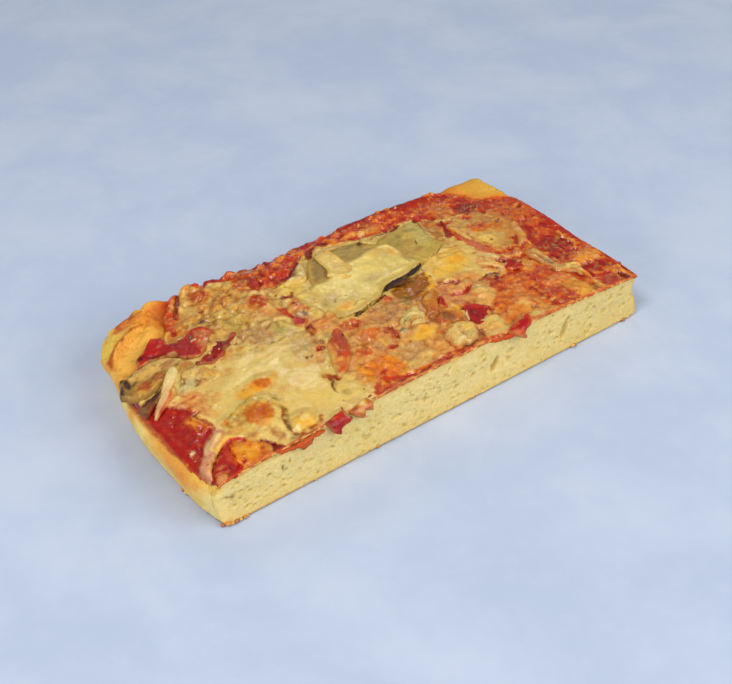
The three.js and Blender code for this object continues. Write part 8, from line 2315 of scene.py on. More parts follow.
piece("cheese_finger", [(-4.4, 19.4), (-1.8, 23), (-1.2, 28), (-.6, 33), (1.6, 35.6), (4.6, 38.2), (6.4, 37.4), (7, 33), (7.4, 28), (7, 23.6), (8.4, 19), (7, 14), (3, 11.4), (-.4, 12.4), (-2, 15)],
      lambda x, y: on_aubergine(x, y) + .4, .9, M_CHEESE, srgb(224, 190, 102), h=3.4, seed=14, rim=2.6, noise=(.18, 4.0), wet=.5, ragged=.25, sink=1.0, step=.38,
      tones=[E("creamlt", 1, 24, 3, 7, 0, .4, .8), E("gold", 6.4, 31, .8, 6, 0, .6, .7, .2), E("olive", 2, 35.6, 3, 2, 20, .6, .7), E("brown", 4.4, 34, .6, .8, 30, .5, .6), E("creamlt", -2.6, 18, 1.8, .9, -40, .8, .6),
             E("white", -2.4, 16.4, 1, 1.6, 30, .5, .6), E("olive", -1.4, 30, .8, 4, 0, .35, .7)],
      bumps=[Ln(.5, [(-3.4, 19), (-1.6, 16), (1, 15)], 1.8, 1, .8), Ln(.4, [(5.6, 36), (6.2, 30), (6, 24)], 1.6, 1, .8)])
piece("cheese_string_far", ribbon([(-21, 25), (-17, 25.6), (-13.4, 25), (-11, 28), (-9.4, 31.4), (-7, 34)], (3.6, 5.0, 5.2, 4.6, 4.4, 3.4)),
      .6, 1.7, M_CHEESE, srgb(222, 198, 128), h=1.8, seed=15, rim=1.5, noise=(.2, 2.6), wet=.5, step=.38, sink=1.2,
      tones=[E("yellow", -17, 23.4, 3.4, 1.8, 0, .6, .7), E("creamgrey", -8.6, 32, 2.4, 2, 0, .7, .7), Ln("olive", [(-6.2, 31), (-9.4, 27.4), (-11, 25)], .8, .5, .6), Ln("white", [(-19, 26), (-14, 26.8)], .8, .6, .6),
             E("brown", -13, 23.4, 1.6, .5, 30, .4, .6)])
piece("cheese_far_edge", [(20.6, 30.6), (21.6, 33), (23.4, 34.6), (26, 35.4), (28.6, 34.6), (29.6, 32.4), (28.6, 30), (27, 27.6), (24.6, 26), (22.8, 27.6)],
      lambda x, y: on_aubergine(x, y) + .1, .8, M_CHEESE, srgb(214, 188, 108), h=2.6, seed=16, rim=1.4, noise=(.28, 1.8), wet=.5, step=.38, sink=1.0,
      tones=[Ln("white", [(20.4, 33.2), (22, 34.8), (25, 35)], .9, .7, .5), Ln("brown", [(24.4, 29.6), (28, 30.2), (31, 29.8)], 1.2, .8, .6, .3), E("peach", 30, 32, 1.6, 1.8, 0, .5, .6), E("olive", 21, 29, 1.6, 2, 0, .5, .6),
             Ln("brown", [(21, 31), (20, 29)], .6, .5, .6)])

# ---- middle of the near side
piece("pepper_bit", [(-31, 8.4), (-29.8, 8.4), (-29.2, 6), (-28.6, 3.8), (-27.4, 2), (-26, 2.2), (-26, .9), (-28, -.6), (-29.8, -1.3), (-31.2, -.2), (-32.6, 2.4), (-31.6, 4.4)],
      .2, 1.3, M_PEPPER, srgb(178, 44, 38), h=1.2, seed=21, rim=.8, noise=(.2, 1.6), wet=.9, ragged=.15, step=.33, node=("pepper_bit_mid",),
      tones=[E(PEP_LT, -30.6, 2.4, 1, 1.6, 0, .4, .6), E(PEP_DK, -28, .6, 1.4, .6, 20, .5, .6)])
piece("pepper_bit_dark", [(-29.8, -2.2), (-27.4, -2), (-26.8, -4), (-27.8, -7.6), (-29, -7.6), (-29.8, -5)],
      .1, 1.2, M_PEPPER, srgb(128, 22, 26), h=1.0, seed=22, rim=.7, noise=(.15, 1.4), wet=.95, ragged=.15, step=.33)
piece("onion_grey", [(-28, 3.2), (-28.6, 6), (-26.6, 7.4), (-24.4, 6.2), (-24, 3.6), (-25.4, 1.8), (-26.8, 2)],
      .1, 1.3, M_ONION, srgb(196, 158, 130), h=1.1, seed=23, rim=1.0, noise=(.3, 1.4), wet=.6, ragged=.2, step=.33,
      tones=[E(srgb(112, 104, 92), -25.2, 3.6, 1, 2, 0, .85, .5, .2), E("white", -26.8, 4.6, .5, 1, 20, .5, .5), E("redpink", -27.4, 2.6, .8, .6, 0, .6, .6)])
piece("roast_pepper_curl", [(-24.8, -11.6), (-22.8, -10.4), (-21, -10.6), (-20.3, -12.6), (-20.8, -14.8), (-21.2, -17), (-21.6, -19.4), (-22.8, -21.8), (-24, -24), (-25.8, -26),
                            (-28.2, -28.2), (-30.4, -30.2), (-33, -31.9), (-35.8, -32.6), (-36.2, -30.8), (-34.6, -28.6), (-34.2, -25.4), (-32.6, -22.6), (-30.8, -19.6),
                            (-29.8, -16.6), (-28.4, -14.6), (-26.2, -13.2)],
      lambda x, y: .3 + .7 * smooth(-30, -18, y), 2.0, M_CURL, srgb(186, 82, 46), h=2.2, seed=24, rim=1.3, noise=(.25, 2.4), wet=.75, ragged=.2, step=.35, crown=.5,
      node=("pepper_strip_mid",),
      tones=[Z(srgb(214, 128, 56), [(-30, -16), (-28, -15.6), (-28.6, -20), (-30, -24), (-27, -29), (-33, -32), (-37, -30), (-34, -25)], .75, 1.6, .2),
             E("goldlt", -32.6, -23.6, 1.6, 3, -25, .6, .6, .3), E(srgb(160, 60, 40), -25, -18.4, 2.2, 4.4, -14, .6, .6), E("redorange", -23, -12.4, 1.4, 1.6, 0, .6, .6),
             Ln("pinkish", [(-27.6, -18), (-28.2, -20.4), (-27.4, -22.4)], .8, .7, .5, .2), Ln(srgb(70, 20, 14), [(-22, -15.4), (-21.7, -17), (-21.9, -19)], 1.0, .95, .35),
             E("gold", -30.4, -26, 1.4, 1, 30, .6, .6, .4), E("redbr", -27.4, -25, 1.6, 2.2, -40, .5, .6, .4), E("redbr", -32.8, -30.6, 2.4, 1, 20, .6, .6, .3),
             E("orange", -29.4, -17.4, .9, 1.6, -10, .6, .6), E("redpink", -35, -31.6, 1.2, .8, 0, .6, .6), Ln("saucedk", [(-22.4, -22.4), (-24.6, -25.6), (-27.6, -28.6)], .8, .5, .6)],
      bumps=[Ln(.7, [(-23, -12), (-25, -18), (-27, -24)], 3, 1, .9), Ln(-.9, [(-22, -15.4), (-21.8, -19)], .9, 1, .7), Ln(-.4, [(-28, -16), (-29, -22), (-31, -27)], 1.0, 1, .8),
             E(.5, -31, -25.6, 1.4, 1, 30, 1, .8), E(.4, -33, -28.6, 1.6, 1, 30, 1, .8)])
piece("onion_amber", [(15.6, -15), (19, -13.4), (22.8, -13.4), (23.4, -15.6), (21, -18.6), (18.6, -22), (17.8, -24.4), (20, -26.4), (22.4, -29), (22.2, -32), (21, -35.2), (18, -34), (15.6, -33.6),
                      (14, -34.6), (12.4, -33), (11, -31), (12, -28), (14.4, -27), (14.8, -25), (12, -24.8), (10.2, -24.4), (12.4, -22), (13.4, -19), (14.2, -16.6)],
      .1, 1.6, M_ONION, srgb(188, 112, 38), h=.9, seed=25, rim=1.3, noise=(.5, 1.8), wet=.9, ragged=.35, film=.25, step=.35, node=("onion_strip",),
      tones=[E(srgb(200, 124, 40), 17, -20, 2.4, 3, 0, .6, .6, .3), E("gold", 19.6, -26.6, 2, 1.2, -30, .6, .6, .2), E(srgb(116, 62, 26), 17, -29.6, 2, 2.4, 0, .7, .6, .2), E("redorange", 15.4, -24, 1.4, 2, 0, .5, .6, .4),
             E("orange", 21, -31.6, .9, 2.4, 0, .6, .6), Ln("olivedk", [(15.6, -29), (15.4, -31.6), (16.6, -33.4)], .8, .7, .5, .2), E("redbr", 12.4, -31, 1.4, 2, 30, .6, .6, .4), E("goldlt", 18, -16, 2.4, 1, 20, .5, .6),
             Ln(srgb(90, 44, 22), [(12, -25), (14, -26), (16.4, -27.6)], .8, .6, .5), E(srgb(120, 60, 24), 20, -34.4, 1.4, .8, 0, .7, .5), E("gold", 21.6, -29, .6, 2, 20, .5, .6)],
      bumps=[E(.6, 17.6, -19, 1.6, 3.6, 0, 1, .8), E(-.5, 15, -22, 1, 3, 0, 1, .8), E(.6, 19.6, -27, 2, 1.2, -30, 1, .8), E(-.5, 16.6, -29.6, 1.4, 2.4, 0, 1, .8), E(.4, 20.6, -31.4, 1, 2.4, 0, 1, .8)])
piece("pepper_chip_bright", [(22.9, -17.4), (22.8, -19.6), (22.3, -21.8), (20.8, -24.4), (18.8, -23.6), (17.6, -22.9), (19.6, -20.5), (21, -18.6)],
      .6, 1.2, M_PEPPER, srgb(182, 28, 12), h=1.5, seed=26, rim=.7, noise=(.12, 1.6), wet=1.0, ragged=.1, step=.33,
      tones=[E(PEP_DK, 20.6, -21.6, 1, .8, 30, .5, .6)])
piece("pepper_chip_grey", [(3.6, -6), (4.8, -5.2), (6.2, -6), (6.2, -8), (5, -9.2), (3.6, -8)],
      .2, 1.1, M_PEPPER, srgb(196, 96, 70), h=1.0, seed=27, rim=.8, noise=(.15, 1.0), wet=.8, ragged=.12, step=.33,
      tones=[E("redbr", 4.8, -7.6, .9, .9, 0, .6, .6), Ln("white", [(3.8, -6.6), (4.4, -5.6)], .4, .7, .5)])
# artichoke pieces
piece("artichoke_mid", [(.8, -20.2), (3, -18.6), (6, -17.4), (9.6, -16), (11.6, -17.2), (10.8, -20), (11.4, -22.6), (9.4, -24), (8.2, -23), (6.4, -22.4), (4.4, -22.9), (2.6, -24.6), (.4, -25.2), (-1, -24), (-.6, -22)],
      .2, 2.0, M_ARTICHOKE, srgb(212, 194, 126), h=2.0, seed=28, rim=1.0, noise=(.45, 1.4), wet=.5, ragged=.35, step=.33, node=("artichoke_piece_mid",),
      # the two pale cream spots are painted highlights
      tones=[E("creamlt", 6.6, -20.6, 1.6, .7, -30, .85, .5, .3), E("creamlt", 9, -23, 1, .6, -20, .7, .5), Ln("olivedk", [(0, -24.6), (1.6, -23), (3.6, -23.4), (5.4, -22.4)], .9, .75, .5, .2), E("yellow", 10.6, -17.6, 1.2, 1.8, 0, .5, .6),
             E("olive", 3, -20, 1.6, .8, 20, .5, .6, .3), E("tan", 5, -18.6, 2, .6, 20, .5, .6, .3), Ln("dkbrown", [(6.6, -23), (8.4, -24), (8.8, -25.6)], .7, .7, .5), E("olivedk", 1.8, -22.4, .6, .5, 0, .7, .5)],
      bumps=[E(.6, 7, -20, 2, 1, 20, 1, .8), E(-.5, 4, -21, 1.4, .6, 20, 1, .8), E(.5, 9.6, -18.4, 1.4, 1.4, 0, 1, .8), E(-.5, 8.4, -21.6, 1.2, .5, 0, 1, .8), E(.4, 1.6, -21.4, 1.2, .8, 0, 1, .8)])
piece("artichoke_petal", [(2.6, -25.4), (3.4, -24), (5.8, -23.7), (8, -24.6), (9, -26.4), (7.4, -27.6), (5, -26.8)],
      .1, 1.5, M_ARTICHOKE, srgb(222, 200, 132), h=1.4, seed=29, rim=.9, noise=(.3, 1.2), wet=.5, ragged=.2, step=.33,
      tones=[E("creamlt", 4.6, -24.6, 1, .5, 0, .6, .6), E("tan", 7, -26.6, 1.4, .6, -20, .5, .6)])
piece("artichoke_grey", [(-3.6, -25), (-2, -25), (-.4, -26), (.6, -27.4), (-.6, -28.6), (-2.4, -28), (-3.4, -26.6)],
      .1, 1.3, M_ARTICHOKE, srgb(186, 168, 136), h=1.2, seed=30, rim=.9, noise=(.3, 1.1), wet=.6, ragged=.2, step=.33,
      tones=[Ln(srgb(92, 84, 60), [(-3.2, -26), (-2, -25.4), (-.6, -26.2)], .8, .8, .5, .2), Ln(srgb(110, 84, 66), [(-2.4, -27.8), (-.6, -28.2), (.6, -27.4)], .7, .6, .5), E("white", -1.8, -26.8, .5, .4, 0, .5, .5)])
piece("artichoke_near", [(8.2, -40.6), (8, -37.6), (10.6, -35.6), (13.4, -34.7), (15.4, -33.4), (18, -34.2), (20.4, -36.2), (21.8, -38), (21.2, -40.6), (20, -43), (18.6, -44.8), (16, -45.6), (13, -46.2), (11.4, -44.8), (9, -44.4), (7.6, -43)],
      .1, 2.6, M_ARTICHOKE, srgb(222, 194, 122), h=2.3, seed=31, rim=1.6, noise=(.35, 2.4), wet=.5, ragged=.3, step=.35, node=("artichoke_piece_near",),
      # the pinkish strip and the white spots here and on the next line are painted highlights
      tones=[E(srgb(224, 180, 106), 10.4, -38.6, 2.4, 3, 0, .8, .6, .2), E("yellow", 18, -39, 2.6, 2.6, 0, .65, .6), Ln("pinkish", [(15, -37.4), (14.4, -40), (13.6, -42.4)], 1.2, .55, .6, .3), E("white", 12.4, -43, 1.4, .7, 10, .7, .5, .4),
             E("white", 14.8, -39, .6, 1, 0, .5, .5, .4), Ln("olivedk", [(20.8, -41), (21.6, -38.4), (21.6, -36.8)], .6, .5, .6), E("olive", 16.6, -43.4, 2, 1.4, 20, .45, .6), E("goldlt", 12.6, -36.2, 2.4, .9, 20, .5, .6),
             Ln("brown", [(12, -44.2), (14.6, -45.4), (17.6, -45)], .5, .4, .6), E("tan", 17, -35.6, 1.6, .7, -30, .4, .6)],
      bumps=[E(.7, 18, -38.6, 2.4, 3, 0, 1, .9), E(.6, 10.6, -38.4, 2, 3, 0, 1, .9), Ln(-.6, [(15.6, -36.6), (14.8, -40), (13.8, -43)], 1.0, 1, .8), E(.4, 12.6, -42.8, 1.8, .9, 0, 1, .8), E(.4, 16.8, -43, 1.8, 1.4, 0, 1, .8)])
# peppers near the cut
piece("pepper_near_mid", [(24.6, -28), (26.6, -28), (29, -28.6), (31, -30), (33, -32.4), (34, -34.4), (32.6, -35.8), (30.8, -36), (29.8, -38), (28.4, -39.6), (26.6, -40.8), (24.4, -41.2), (22.4, -40.4), (21.8, -38.4),
                          (22, -36), (22.8, -33.6), (23.6, -31.4), (24, -29.6)],
      .1, 1.5, M_PEPPER, srgb(160, 24, 14), h=1.3, seed=32, rim=.8, noise=(.2, 1.8), wet=.7, ragged=.12, film=.05, step=.33, node=("pepper_piece_near_mid",),
      tones=[E(srgb(192, 54, 46), 29, -31, 2.4, 1.6, -40, .7, .6), E("redorange", 24.8, -28.4, 1.4, .9, 0, .8, .5), E(PEP_DK, 26, -34, 1.6, 2.6, -20, .5, .6), E("redpink", 31.6, -34, 1.2, .7, 0, .5, .6)],
      bumps=[Ln(.4, [(28.6, -30), (30.6, -33)], 1.4, 1, .8), Ln(-.3, [(27.4, -31), (26, -35), (24.6, -39)], 1.0, 1, .8)])
# a thin pale strip along the deep red pepper's left edge, standing in for a painted highlight
piece("pepper_edge_highlight", ribbon([(25.2, -30.8), (23.6, -32.2), (22.6, -34.2), (22.2, -36)], (1.0, 1.5, 1.6, 1.0)), .6, 1.0, M_ONION, srgb(226, 200, 166), h=1.4, seed=33, rim=.6, noise=(.1, 1.2), wet=.6, ragged=.1, step=.33)
piece("onion_curl_pink", ribbon([(26.6, -38.6), (28, -37.4), (29.6, -37), (30.2, -38.6)], (1.0, 1.8, 1.8, 1.2)), .3, 1.0, M_ONION, srgb(216, 168, 130), h=1.1, seed=34, rim=.6, noise=(.12, 1.2), wet=.6, ragged=.12, step=.33)


def edge_place(points, h=1.2):
    """As true_place, for pieces that hang over the near cut: there the map falls away along the cut face."""
    p = np.array(points, float)
    q = true_place(p, h)
    down = np.clip(-51 - p[:, 1], 0, None)
    over = smooth(-50, -52, p[:, 1])
    q[:, 0] = q[:, 0] * (1 - over) + (p[:, 0] + 0.754 * down) * over
    q[:, 1] = q[:, 1] * (1 - over) + (p[:, 1] - 0.4) * over
    return q


piece("pepper_edge_left", edge_place([(-54.4, -49.2), (-51.6, -48.8), (-48.4, -48.2), (-46, -47.6), (-45.6, -46.8), (-44.8, -45.4), (-44.4, -44.8), (-44.6, -46.4), (-45.2, -48), (-45.2, -50), (-45.6, -52), (-47.6, -53), (-50, -53.2),
                                      (-52, -54), (-53.4, -55.8), (-54.8, -56), (-55.6, -54), (-54.9, -51.8)]),
      .2, 1.3, M_PEPPER, srgb(168, 30, 30), in_map=False, h=1.2, seed=35, rim=.6, noise=(.2, 2.0), wet=.8, ragged=.3, film=.2, step=.33, bend=True, node=("pepper_piece_over_edge_left",),
      tones=[E(PEP_DK, -52.8, -51.6, 1.6, 2.4, 0, .5, .6), E("redbr", -48, -49.4, 3, .9, 8, .6, .6), E("redpink", -54, -55.2, 1.2, .8, 0, .5, .6), E("grey", -46, -51, .6, 1.6, 0, .6, .5), E(PEP_LT, -50.4, -49.6, 2.4, .5, 8, .5, .6)])
piece("onion_edge", edge_place([(-44.6, -49.6), (-41.4, -48.9), (-38.4, -48), (-36, -47.6), (-35.2, -49), (-34.6, -50.2), (-36, -51.6), (-38.2, -53.4), (-40.2, -52.4), (-42.2, -54.6), (-44, -54), (-44.8, -51.6)]),
      .1, 1.2, M_ONION, srgb(190, 108, 36), in_map=False, h=1.1, seed=36, rim=.8, noise=(.25, 1.8), wet=.9, ragged=.15, film=.1, step=.33, bend=True, node=("onion_piece_over_edge",),
      tones=[E("goldlt", -38.2, -49.8, 1.5, 1.9, 0, .75, .6), E("white", -38.2, -49.6, .7, .9, 0, .5, .6), E(srgb(160, 70, 24), -42.6, -51, 1.6, 2, 0, .6, .6), E("redorange", -38, -52.4, 1.6, .8, -10, .6, .6), E("gold", -41, -53, 1, 1.4, 10, .6, .6),
             Ln(srgb(96, 44, 22), [(-44.6, -49.8), (-41.4, -49), (-38.6, -48.2)], .6, .7, .5)])
piece("pepper_edge_chip", edge_place([(-35.4, -47.4), (-33, -47), (-30.6, -47), (-30.2, -48.4), (-32, -49.6), (-34.6, -49.9), (-35.6, -48.8)]),
      .1, 1.1, M_PEPPER, srgb(158, 40, 30), in_map=False, h=1.0, seed=37, rim=.7, noise=(.15, 1.4), wet=.9, ragged=.12, step=.33, tones=[E(srgb(70, 24, 20), -34.6, -48, .9, .6, 0, .7, .5), E("redpink", -32, -48.2, 1, .6, 0, .5, .6)])
piece("pepper_edge_right", edge_place([(28.4, -49.9), (30, -49), (32, -48.2), (35, -47.5), (38, -47.2), (39.6, -46.2), (41.2, -45.9), (42, -47.4), (40.8, -49.6), (38.8, -51), (36, -52), (33.8, -52.6), (33.2, -55), (31.4, -55.4), (29.8, -53.4), (28.8, -51.6)]),
      .3, 1.4, M_PEPPER, srgb(170, 26, 28), in_map=False, h=1.3, seed=38, rim=.8, noise=(.25, 1.8), wet=.85, ragged=.3, film=.35, step=.33, bend=True, node=("pepper_piece_over_edge_right",),
      tones=[E("redbr", 40.6, -47, 1.4, 1.6, 0, .7, .6), E(srgb(180, 50, 48), 33, -48.8, 2.6, .8, 8, .6, .6), Z("redorange", [(28, -50.6), (34, -52.4), (33.6, -56), (30, -56)], .85, 1, .2), E("orange", 31, -53.6, 1.6, .8, 0, .4, .6)])
piece("tomato_run", edge_place([(18.8, -47.4), (21, -48.4), (24, -49.8), (27, -50.2), (29.6, -50), (31, -51.4), (31.6, -53.2), (28.6, -53.4), (25.8, -53.2), (22.6, -52.6), (20.6, -50.9), (19.4, -49.2)]),
      -.5, .9, M_SAUCE, srgb(200, 76, 30), in_map=False, h=.8, seed=39, rim=.9, noise=(.4, 1.2), wet=.15, ragged=1.0, step=.35, bend=True,
      tones=[E("orange", 24, -51.6, 3, .8, -8, .5, .6, .4), E("redbr", 28, -51.4, 2, 1, 0, .6, .6, .4)])
piece("tomato_run_left", edge_place([(-75, -48.4), (-72, -49.4), (-69, -50.4), (-65, -50.4), (-60, -50.2), (-57, -49.8), (-56, -51.4), (-58, -52.8), (-62, -53), (-64.6, -54.6), (-67.4, -54.8), (-70.6, -52.8), (-74, -51.4)]),
      -.5, .9, M_SAUCE, srgb(196, 92, 48), in_map=False, h=.5, seed=40, rim=.9, noise=(.4, 1.2), wet=.0, ragged=1.5, step=.35, bend=True,
      tones=[E("redorange", -66.5, -53.4, 2, 1, 0, .6, .6, .3), E("saucedk", -68, -51.2, 3, .7, 0, .6, .6, .3), E(srgb(90, 56, 50), -65.4, -50.8, 1.4, .5, 0, .6, .5), E("saucedk", -61, -51, 4, .6, 0, .5, .6, .4), E("redorange", -58, -52, 1.6, .6, 0, .5, .6)])

# pepper at the near left corner
piece("pepper_near_left", [(-96, -45.4), (-94.4, -43), (-92, -40.6), (-90, -38.6), (-87.4, -37.2), (-85.2, -37), (-85.6, -39), (-86, -41.6), (-86, -44), (-87.2, -46.4), (-88.6, -49), (-90, -50.4), (-91.6, -49.6),
                           (-92, -47.4), (-94, -47)],
      .0, 1.4, M_PEPPER, srgb(172, 38, 34), h=1.1, seed=41, rim=.9, noise=(.35, 1.8), wet=.8, ragged=.3, step=.35, node=("pepper_piece_near_left",),
      tones=[E("redorange", -87.4, -43, 1.6, 3.4, -10, .7, .6, .3), E(srgb(140, 26, 34), -90, -47.4, 1.4, 2, 0, .7, .6), E("pinkish", -92.6, -44.6, 1.4, .6, 0, .5, .6, .5), E("grey", -89.8, -40.2, .6, .4, 0, .5, .5), E("redpink", -94, -44, 1, 1, 0, .5, .6)])
# right of the aubergine
piece("pepper_strip_right", [(59.2, 25.8), (59, 23.6), (58, 20.6), (56.2, 18), (55.8, 16), (56, 13.6), (54, 13), (51.8, 13.4), (51.4, 14.6), (53, 16), (54.2, 18), (55.4, 20), (57, 22), (58, 24.4), (58.4, 26)],
      .3, 1.2, M_PEPPER, srgb(150, 16, 8), h=1.3, seed=42, rim=.7, noise=(.2, 1.6), wet=.8, ragged=.2, film=.1, step=.33, node=("pepper_strip_right",),
      tones=[E("redbr", 55.4, 13.6, 1, .6, 0, .5, .6), E(SKIN, 51.8, 13.4, .8, .6, 20, .4, .6)])
piece("pepper_strip_long", [(55.8, 12.2), (56.8, 12.6), (57.4, 11), (58.4, 8.4), (60.2, 5.4), (61, 2), (61.3, -2), (61.6, -6), (62.6, -10), (63.6, -13.6), (62, -14.2), (60.4, -11.6), (58.8, -7.4), (57, -4.4), (55.4, -1.4), (55.2, 2),
                            (55.2, 6), (55.4, 9.6)],
      -.1, 1.0, M_CURL, srgb(204, 112, 66), h=.9, seed=43, rim=1.1, noise=(.18, 2.2), wet=.6, ragged=.2, step=.38, node=("pepper_strip_right_long",),
      tones=[E(srgb(202, 108, 84), 58, 1.4, 1.8, 2.8, 0, .8, .6), E("redorange", 57, 7.4, 1.6, 2, 0, .6, .6, .3), E("redbr", 56.2, 11.4, .7, .9, 0, .85, .5), E("redorange", 60, -5, 1.6, 2, 20, .5, .6, .3), E(srgb(184, 72, 60), 61.4, -9, 1.4, 2.4, 20, .7, .6),
             E("tan", 61, -2, .6, 3, 0, .5, .6)])
piece("pepper_right", [(55.6, -16.6), (57.6, -15.4), (60, -13.6), (62, -12.8), (63.4, -14), (65.6, -14.6), (67.4, -14.6), (68.6, -15.6), (66.6, -17), (65, -18.6), (64, -20.6), (61.4, -20.2), (58.4, -19.6), (56.2, -18.6)],
      .0, 1.2, M_PEPPER, srgb(166, 30, 24), h=1.0, seed=44, rim=.9, noise=(.28, 1.6), wet=.95, ragged=.3, step=.35, node=("pepper_piece_right",),
      tones=[E(srgb(178, 18, 16), 60.6, -15.4, 1.8, 1.6, 0, .8, .6), E(srgb(120, 52, 58), 63, -16, .8, 2, 0, .5, .6), E("pinkish", 64, -17.3, 1.2, .6, 25, .85, .5), E("redbr", 57.6, -19, 2, .8, 0, .6, .6, .4), E("redpink", 61, -19, 2, .6, 10, .5, .6, .4)])
piece("pepper_far", [(-33, 30.6), (-31.4, 32.6), (-31.6, 35), (-30, 38.4), (-27, 40.2), (-25.4, 38.4), (-26.4, 35.6), (-27.4, 32.4), (-29, 30.4), (-31, 29.8)],
      -.1, 1.1, M_PEPPER, srgb(168, 44, 32), h=.8, seed=45, rim=1.0, noise=(.3, 1.6), wet=.9, ragged=.3, step=.38, node=("pepper_piece_far",),
      tones=[E(PEP_DK, -29.8, 36, 1.4, 2, 0, .6, .6, .3), E("redorange", -28, 33, 1.4, 1.6, 0, .5, .6, .4), E("pinkish", -27.6, 37.6, .8, .6, 0, .6, .5)])
piece("pepper_edge_far", [(-38.2, 44), (-40.4, 43.6), (-43.2, 44.8), (-44.4, 47.4), (-43.4, 49.4), (-40.4, 49), (-37.6, 46.8), (-36.6, 44.6)],
      -.2, 1.0, M_PEPPER, srgb(172, 34, 26), h=.6, seed=46, rim=.9, noise=(.2, 1.8), wet=.9, ragged=.2, step=.38,
      tones=[E(PEP_DK, -40, 48.4, 2, .6, 5, .6, .6), E("redorange", -38.6, 45, 1.4, .8, 0, .5, .6)])
piece("pepper_far_bright", [(51.2, 29.4), (53, 29), (56, 30.2), (56.6, 32.4), (55.6, 34.6), (53, 35), (51, 34), (50.4, 31.6)],
      -.1, 1.1, M_PEPPER, srgb(200, 46, 38), h=.8, seed=47, rim=.9, noise=(.3, 1.4), wet=.9, ragged=.2, film=.1, step=.35,
      tones=[Ln(PEP_DK, [(52.4, 30), (53.6, 32.6), (54.6, 34.6)], .6, .8, .5), E("redpink", 52, 32.6, .6, 1.2, 20, .6, .6), E(PEP_DK, 53.6, 29.6, 2, .6, 20, .5, .6)])
piece("pepper_far_line", ribbon([(-3.2, 33), (-2.2, 35.6), (-.6, 38), (1, 40.4)], (1.6, 2.4, 2.4, 1.4)), -.1, 1.1, M_PEPPER, srgb(140, 26, 22), h=.8, seed=48, rim=.8, noise=(.15, 1.4), wet=.95, ragged=.2, step=.35)
piece("pepper_strip_cheese", ribbon([(66.6, 18), (69, 19.2), (71.4, 20.8)], (1.4, 2.0, 1.4)), .0, 1.0, M_PEPPER, srgb(176, 50, 30), h=.8, seed=49, rim=.7, noise=(.15, 1.4), wet=.8, ragged=.25, step=.35,
      tones=[E("redpink", 69, 19, 1.6, .8, 30, .5, .6), E(PEP_DK, 71, 20.4, .8, .6, 30, .6, .6)])
piece("pepper_tip_right", [(96.6, -38), (99, -38.8), (101.2, -38.2), (101.4, -37.9), (100.2, -39.8), (98.8, -41.6), (97.2, -42)],
      -.2, .9, M_PEPPER, srgb(178, 60, 38), h=.5, seed=50, rim=.5, noise=(.1, 1.2), wet=.8, ragged=.1, step=.33, tones=[E(PEP_DK, 100.8, -38.5, 1, .5, 30, .7, .5)])
# the pale melted piece between the red pools on the right
piece("cheese_right", [(71, -13), (73.6, -12.4), (76.6, -12.4), (77.6, -15), (77.4, -19), (77.4, -23), (77.6, -27), (79.4, -29), (82, -30), (83.6, -31.4), (83, -33.4), (81.4, -35.4), (80.6, -37.4), (79.4, -36.4), (79.6, -34.4), (77.4, -33),
                       (75.4, -31.4), (72.8, -30.6), (72.6, -28), (72.6, -25), (71.6, -21), (71.4, -17)],
      -.2, 1.1, M_CHEESE, srgb(208, 164, 96), h=.8, seed=51, rim=1.4, noise=(.34, 1.6), wet=.4, ragged=.5, film=.55, step=.35,
      tones=[Ln("white", [(71.6, -15.6), (72.4, -18), (72.6, -22)], .8, .6, .5, .2), Ln("brown", [(73, -14.6), (73.8, -18), (74.2, -20.6)], 1.2, .6, .6, .3), E("grey", 74.6, -23, 1.1, 2, 0, .8, .6), E("olivedk", 74.9, -26, 1, .8, 0, .8, .5, .2),
             E("creamlt", 79, -30, 1.2, .8, 0, .7, .5), E("creamlt", 81.4, -31.6, 1.2, 1, 0, .5, .6), Ln("peach", [(83, -32.6), (80.6, -34.4), (79.4, -36.6)], .8, .6, .5), E("olive", 76, -29.4, 2, 1.4, 0, .4, .6), Ln("creamlt", [(76.6, -15), (76, -20), (77, -25)], .7, .5, .6)],
      bumps=[Ln(.5, [(72.6, -14), (72.4, -22), (74, -29), (80, -31)], 1.6, 1, .8), Ln(-.5, [(74, -16), (74.6, -24)], 1.6, 1, .8)])


def loose_crumbs(name, places, colours, seed):
    """Small rounded lumps, each given by its middle and its half width."""
    rows, turns = 8, 12
    u, w = np.meshgrid(np.arange(turns) / turns * 2 * np.pi, np.linspace(0.12, np.pi - 0.12, rows))
    d = np.stack([np.cos(u) * np.sin(w), np.sin(u) * np.sin(w), np.cos(w)], -1).reshape(-1, 3)
    v, q, t, col = [], [], [], []
    for n, (cx, cy, cz, r) in enumerate(places):
        size = r * (1 + .45 * fbm(d[:, 0] + 9.0 * n, d[:, 1], d[:, 2], 1.2, 3, seed))
        at = len(v) * rows * turns
        v.append(np.array([cx, cy, cz]) + d * size[:, None] * np.array([1.15, 1.0, .8]))
        for a in range(rows - 1):
            for b in range(turns):
                c = (b + 1) % turns
                q.append((at + a * turns + b, at + (a + 1) * turns + b, at + (a + 1) * turns + c, at + a * turns + c))
        for b in range(1, turns - 1):
            t.append((at, at + b, at + b + 1))
            t.append((at + (rows - 1) * turns, at + (rows - 1) * turns + b + 1, at + (rows - 1) * turns + b))
        tone = colours[n % len(colours)] * (1 + .3 * fbm(v[-1][:, 0], v[-1][:, 1], v[-1][:, 2], .7, 3, seed + 1))[:, None]
        col.append(tone)
    v, col = np.concatenate(v), np.clip(np.concatenate(col), .004, .95)
    return make_object(name, v, np.array(q), np.array(t), M_CHEESE, dict(col=col, wet=np.zeros(len(v))))


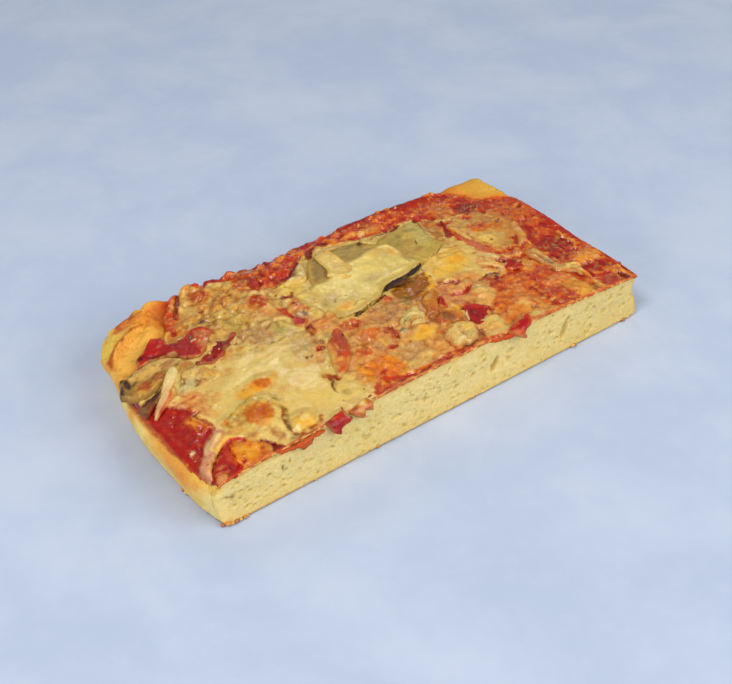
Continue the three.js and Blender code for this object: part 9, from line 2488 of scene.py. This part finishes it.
loose_crumbs("foot_crumbs", [(-96.0, -51.7, .9, .9), (-94.4, -52.0, .7, .7), (-93.0, -52.2, 1.0, .8), (-91.2, -52.1, .6, .6), (-89.6, -52.3, .7, .6), (-88.4, -52.0, .5, .5),
                             (-97.6, -50.8, .8, .7), (-99.6, -31.0, 1.4, 1.0), (-99.9, -28.6, .9, .7), (63.4, -52.0, 1.1, 1.0), (65.0, -52.1, .7, .6),
                             (-60.4, -51.8, .4, .4), (-33.0, -52.0, .4, .4), (12.0, -52.0, .4, .35), (92.0, -52.0, .8, .8), (95.0, -51.8, .7, .6)],
             [srgb(206, 140, 66), srgb(220, 166, 84), srgb(176, 110, 52), srgb(222, 180, 104)], 301)


# ------------------------------------------------------------------ floor, light and camera
me = bpy.data.meshes.new("floor")
r = 3.0
me.from_pydata([(-r, -r, 0), (r, -r, 0), (r, r, 0), (-r, r, 0)], [], [(0, 1, 2, 3)])
me.materials.append(floor_material())
floor = bpy.data.objects.new("floor", me)
floor.location.z = -0.0002
bpy.context.scene.collection.objects.link(floor)

scene = bpy.context.scene
world = bpy.data.worlds.new("studio")
scene.world = world
world.use_nodes = True
world.node_tree.nodes["Background"].inputs[0].default_value = (1.0, 1.0, 1.0, 1)
world.node_tree.nodes["Background"].inputs[1].default_value = 0.30


def area(name, place, look, size, power, colour=(1, 1, 1)):
    light = bpy.data.lights.new(name, "AREA")
    light.shape = "RECTANGLE"
    light.size, light.size_y = size
    light.energy = power
    light.color = colour
    ob = bpy.data.objects.new(name, light)
    ob.location = place
    ob.rotation_euler = (Vector(look) - Vector(place)).to_track_quat("-Z", "Y").to_euler()
    scene.collection.objects.link(ob)


area("key", (-0.55, -0.15, 0.95), (0, 0, 0), (0.3, 0.3), 4.3, (1.0, 0.99, 0.97))
area("front", (0.5, -0.9, 0.7), (0, 0, 0), (1.0, 0.8), 9.0, (1.0, 0.99, 0.97))
area("left", (-1.1, -0.35, 0.45), (0, 0, 0), (0.8, 0.6), 3.6, (1.0, 0.99, 0.97))
area("sheen", (0.45, 0.85, 0.85), (0, 0, 0), (0.22, 0.16), 0.8, (1.0, 1.0, 1.0))

cam = bpy.data.cameras.new("photo_camera")
cam.lens, cam.sensor_width, cam.sensor_fit = 59.02, 36.0, "HORIZONTAL"
cam.clip_start, cam.clip_end = 0.01, 20
camera = bpy.data.objects.new("photo_camera", cam)
camera.location = ((-224.54 + SHIFT[0]) / 1000, (-299.96 + SHIFT[1]) / 1000, 297.77 / 1000)
camera.rotation_euler = Vector((0.46944, 0.62636, -0.62234)).to_track_quat("-Z", "Y").to_euler()
scene.collection.objects.link(camera)
scene.camera = camera
scene.view_settings.view_transform = "Standard"
scene.view_settings.look = "None"
scene.view_settings.exposure = 0.0
scene.view_settings.gamma = 1.0

bpy.context.view_layer.update()
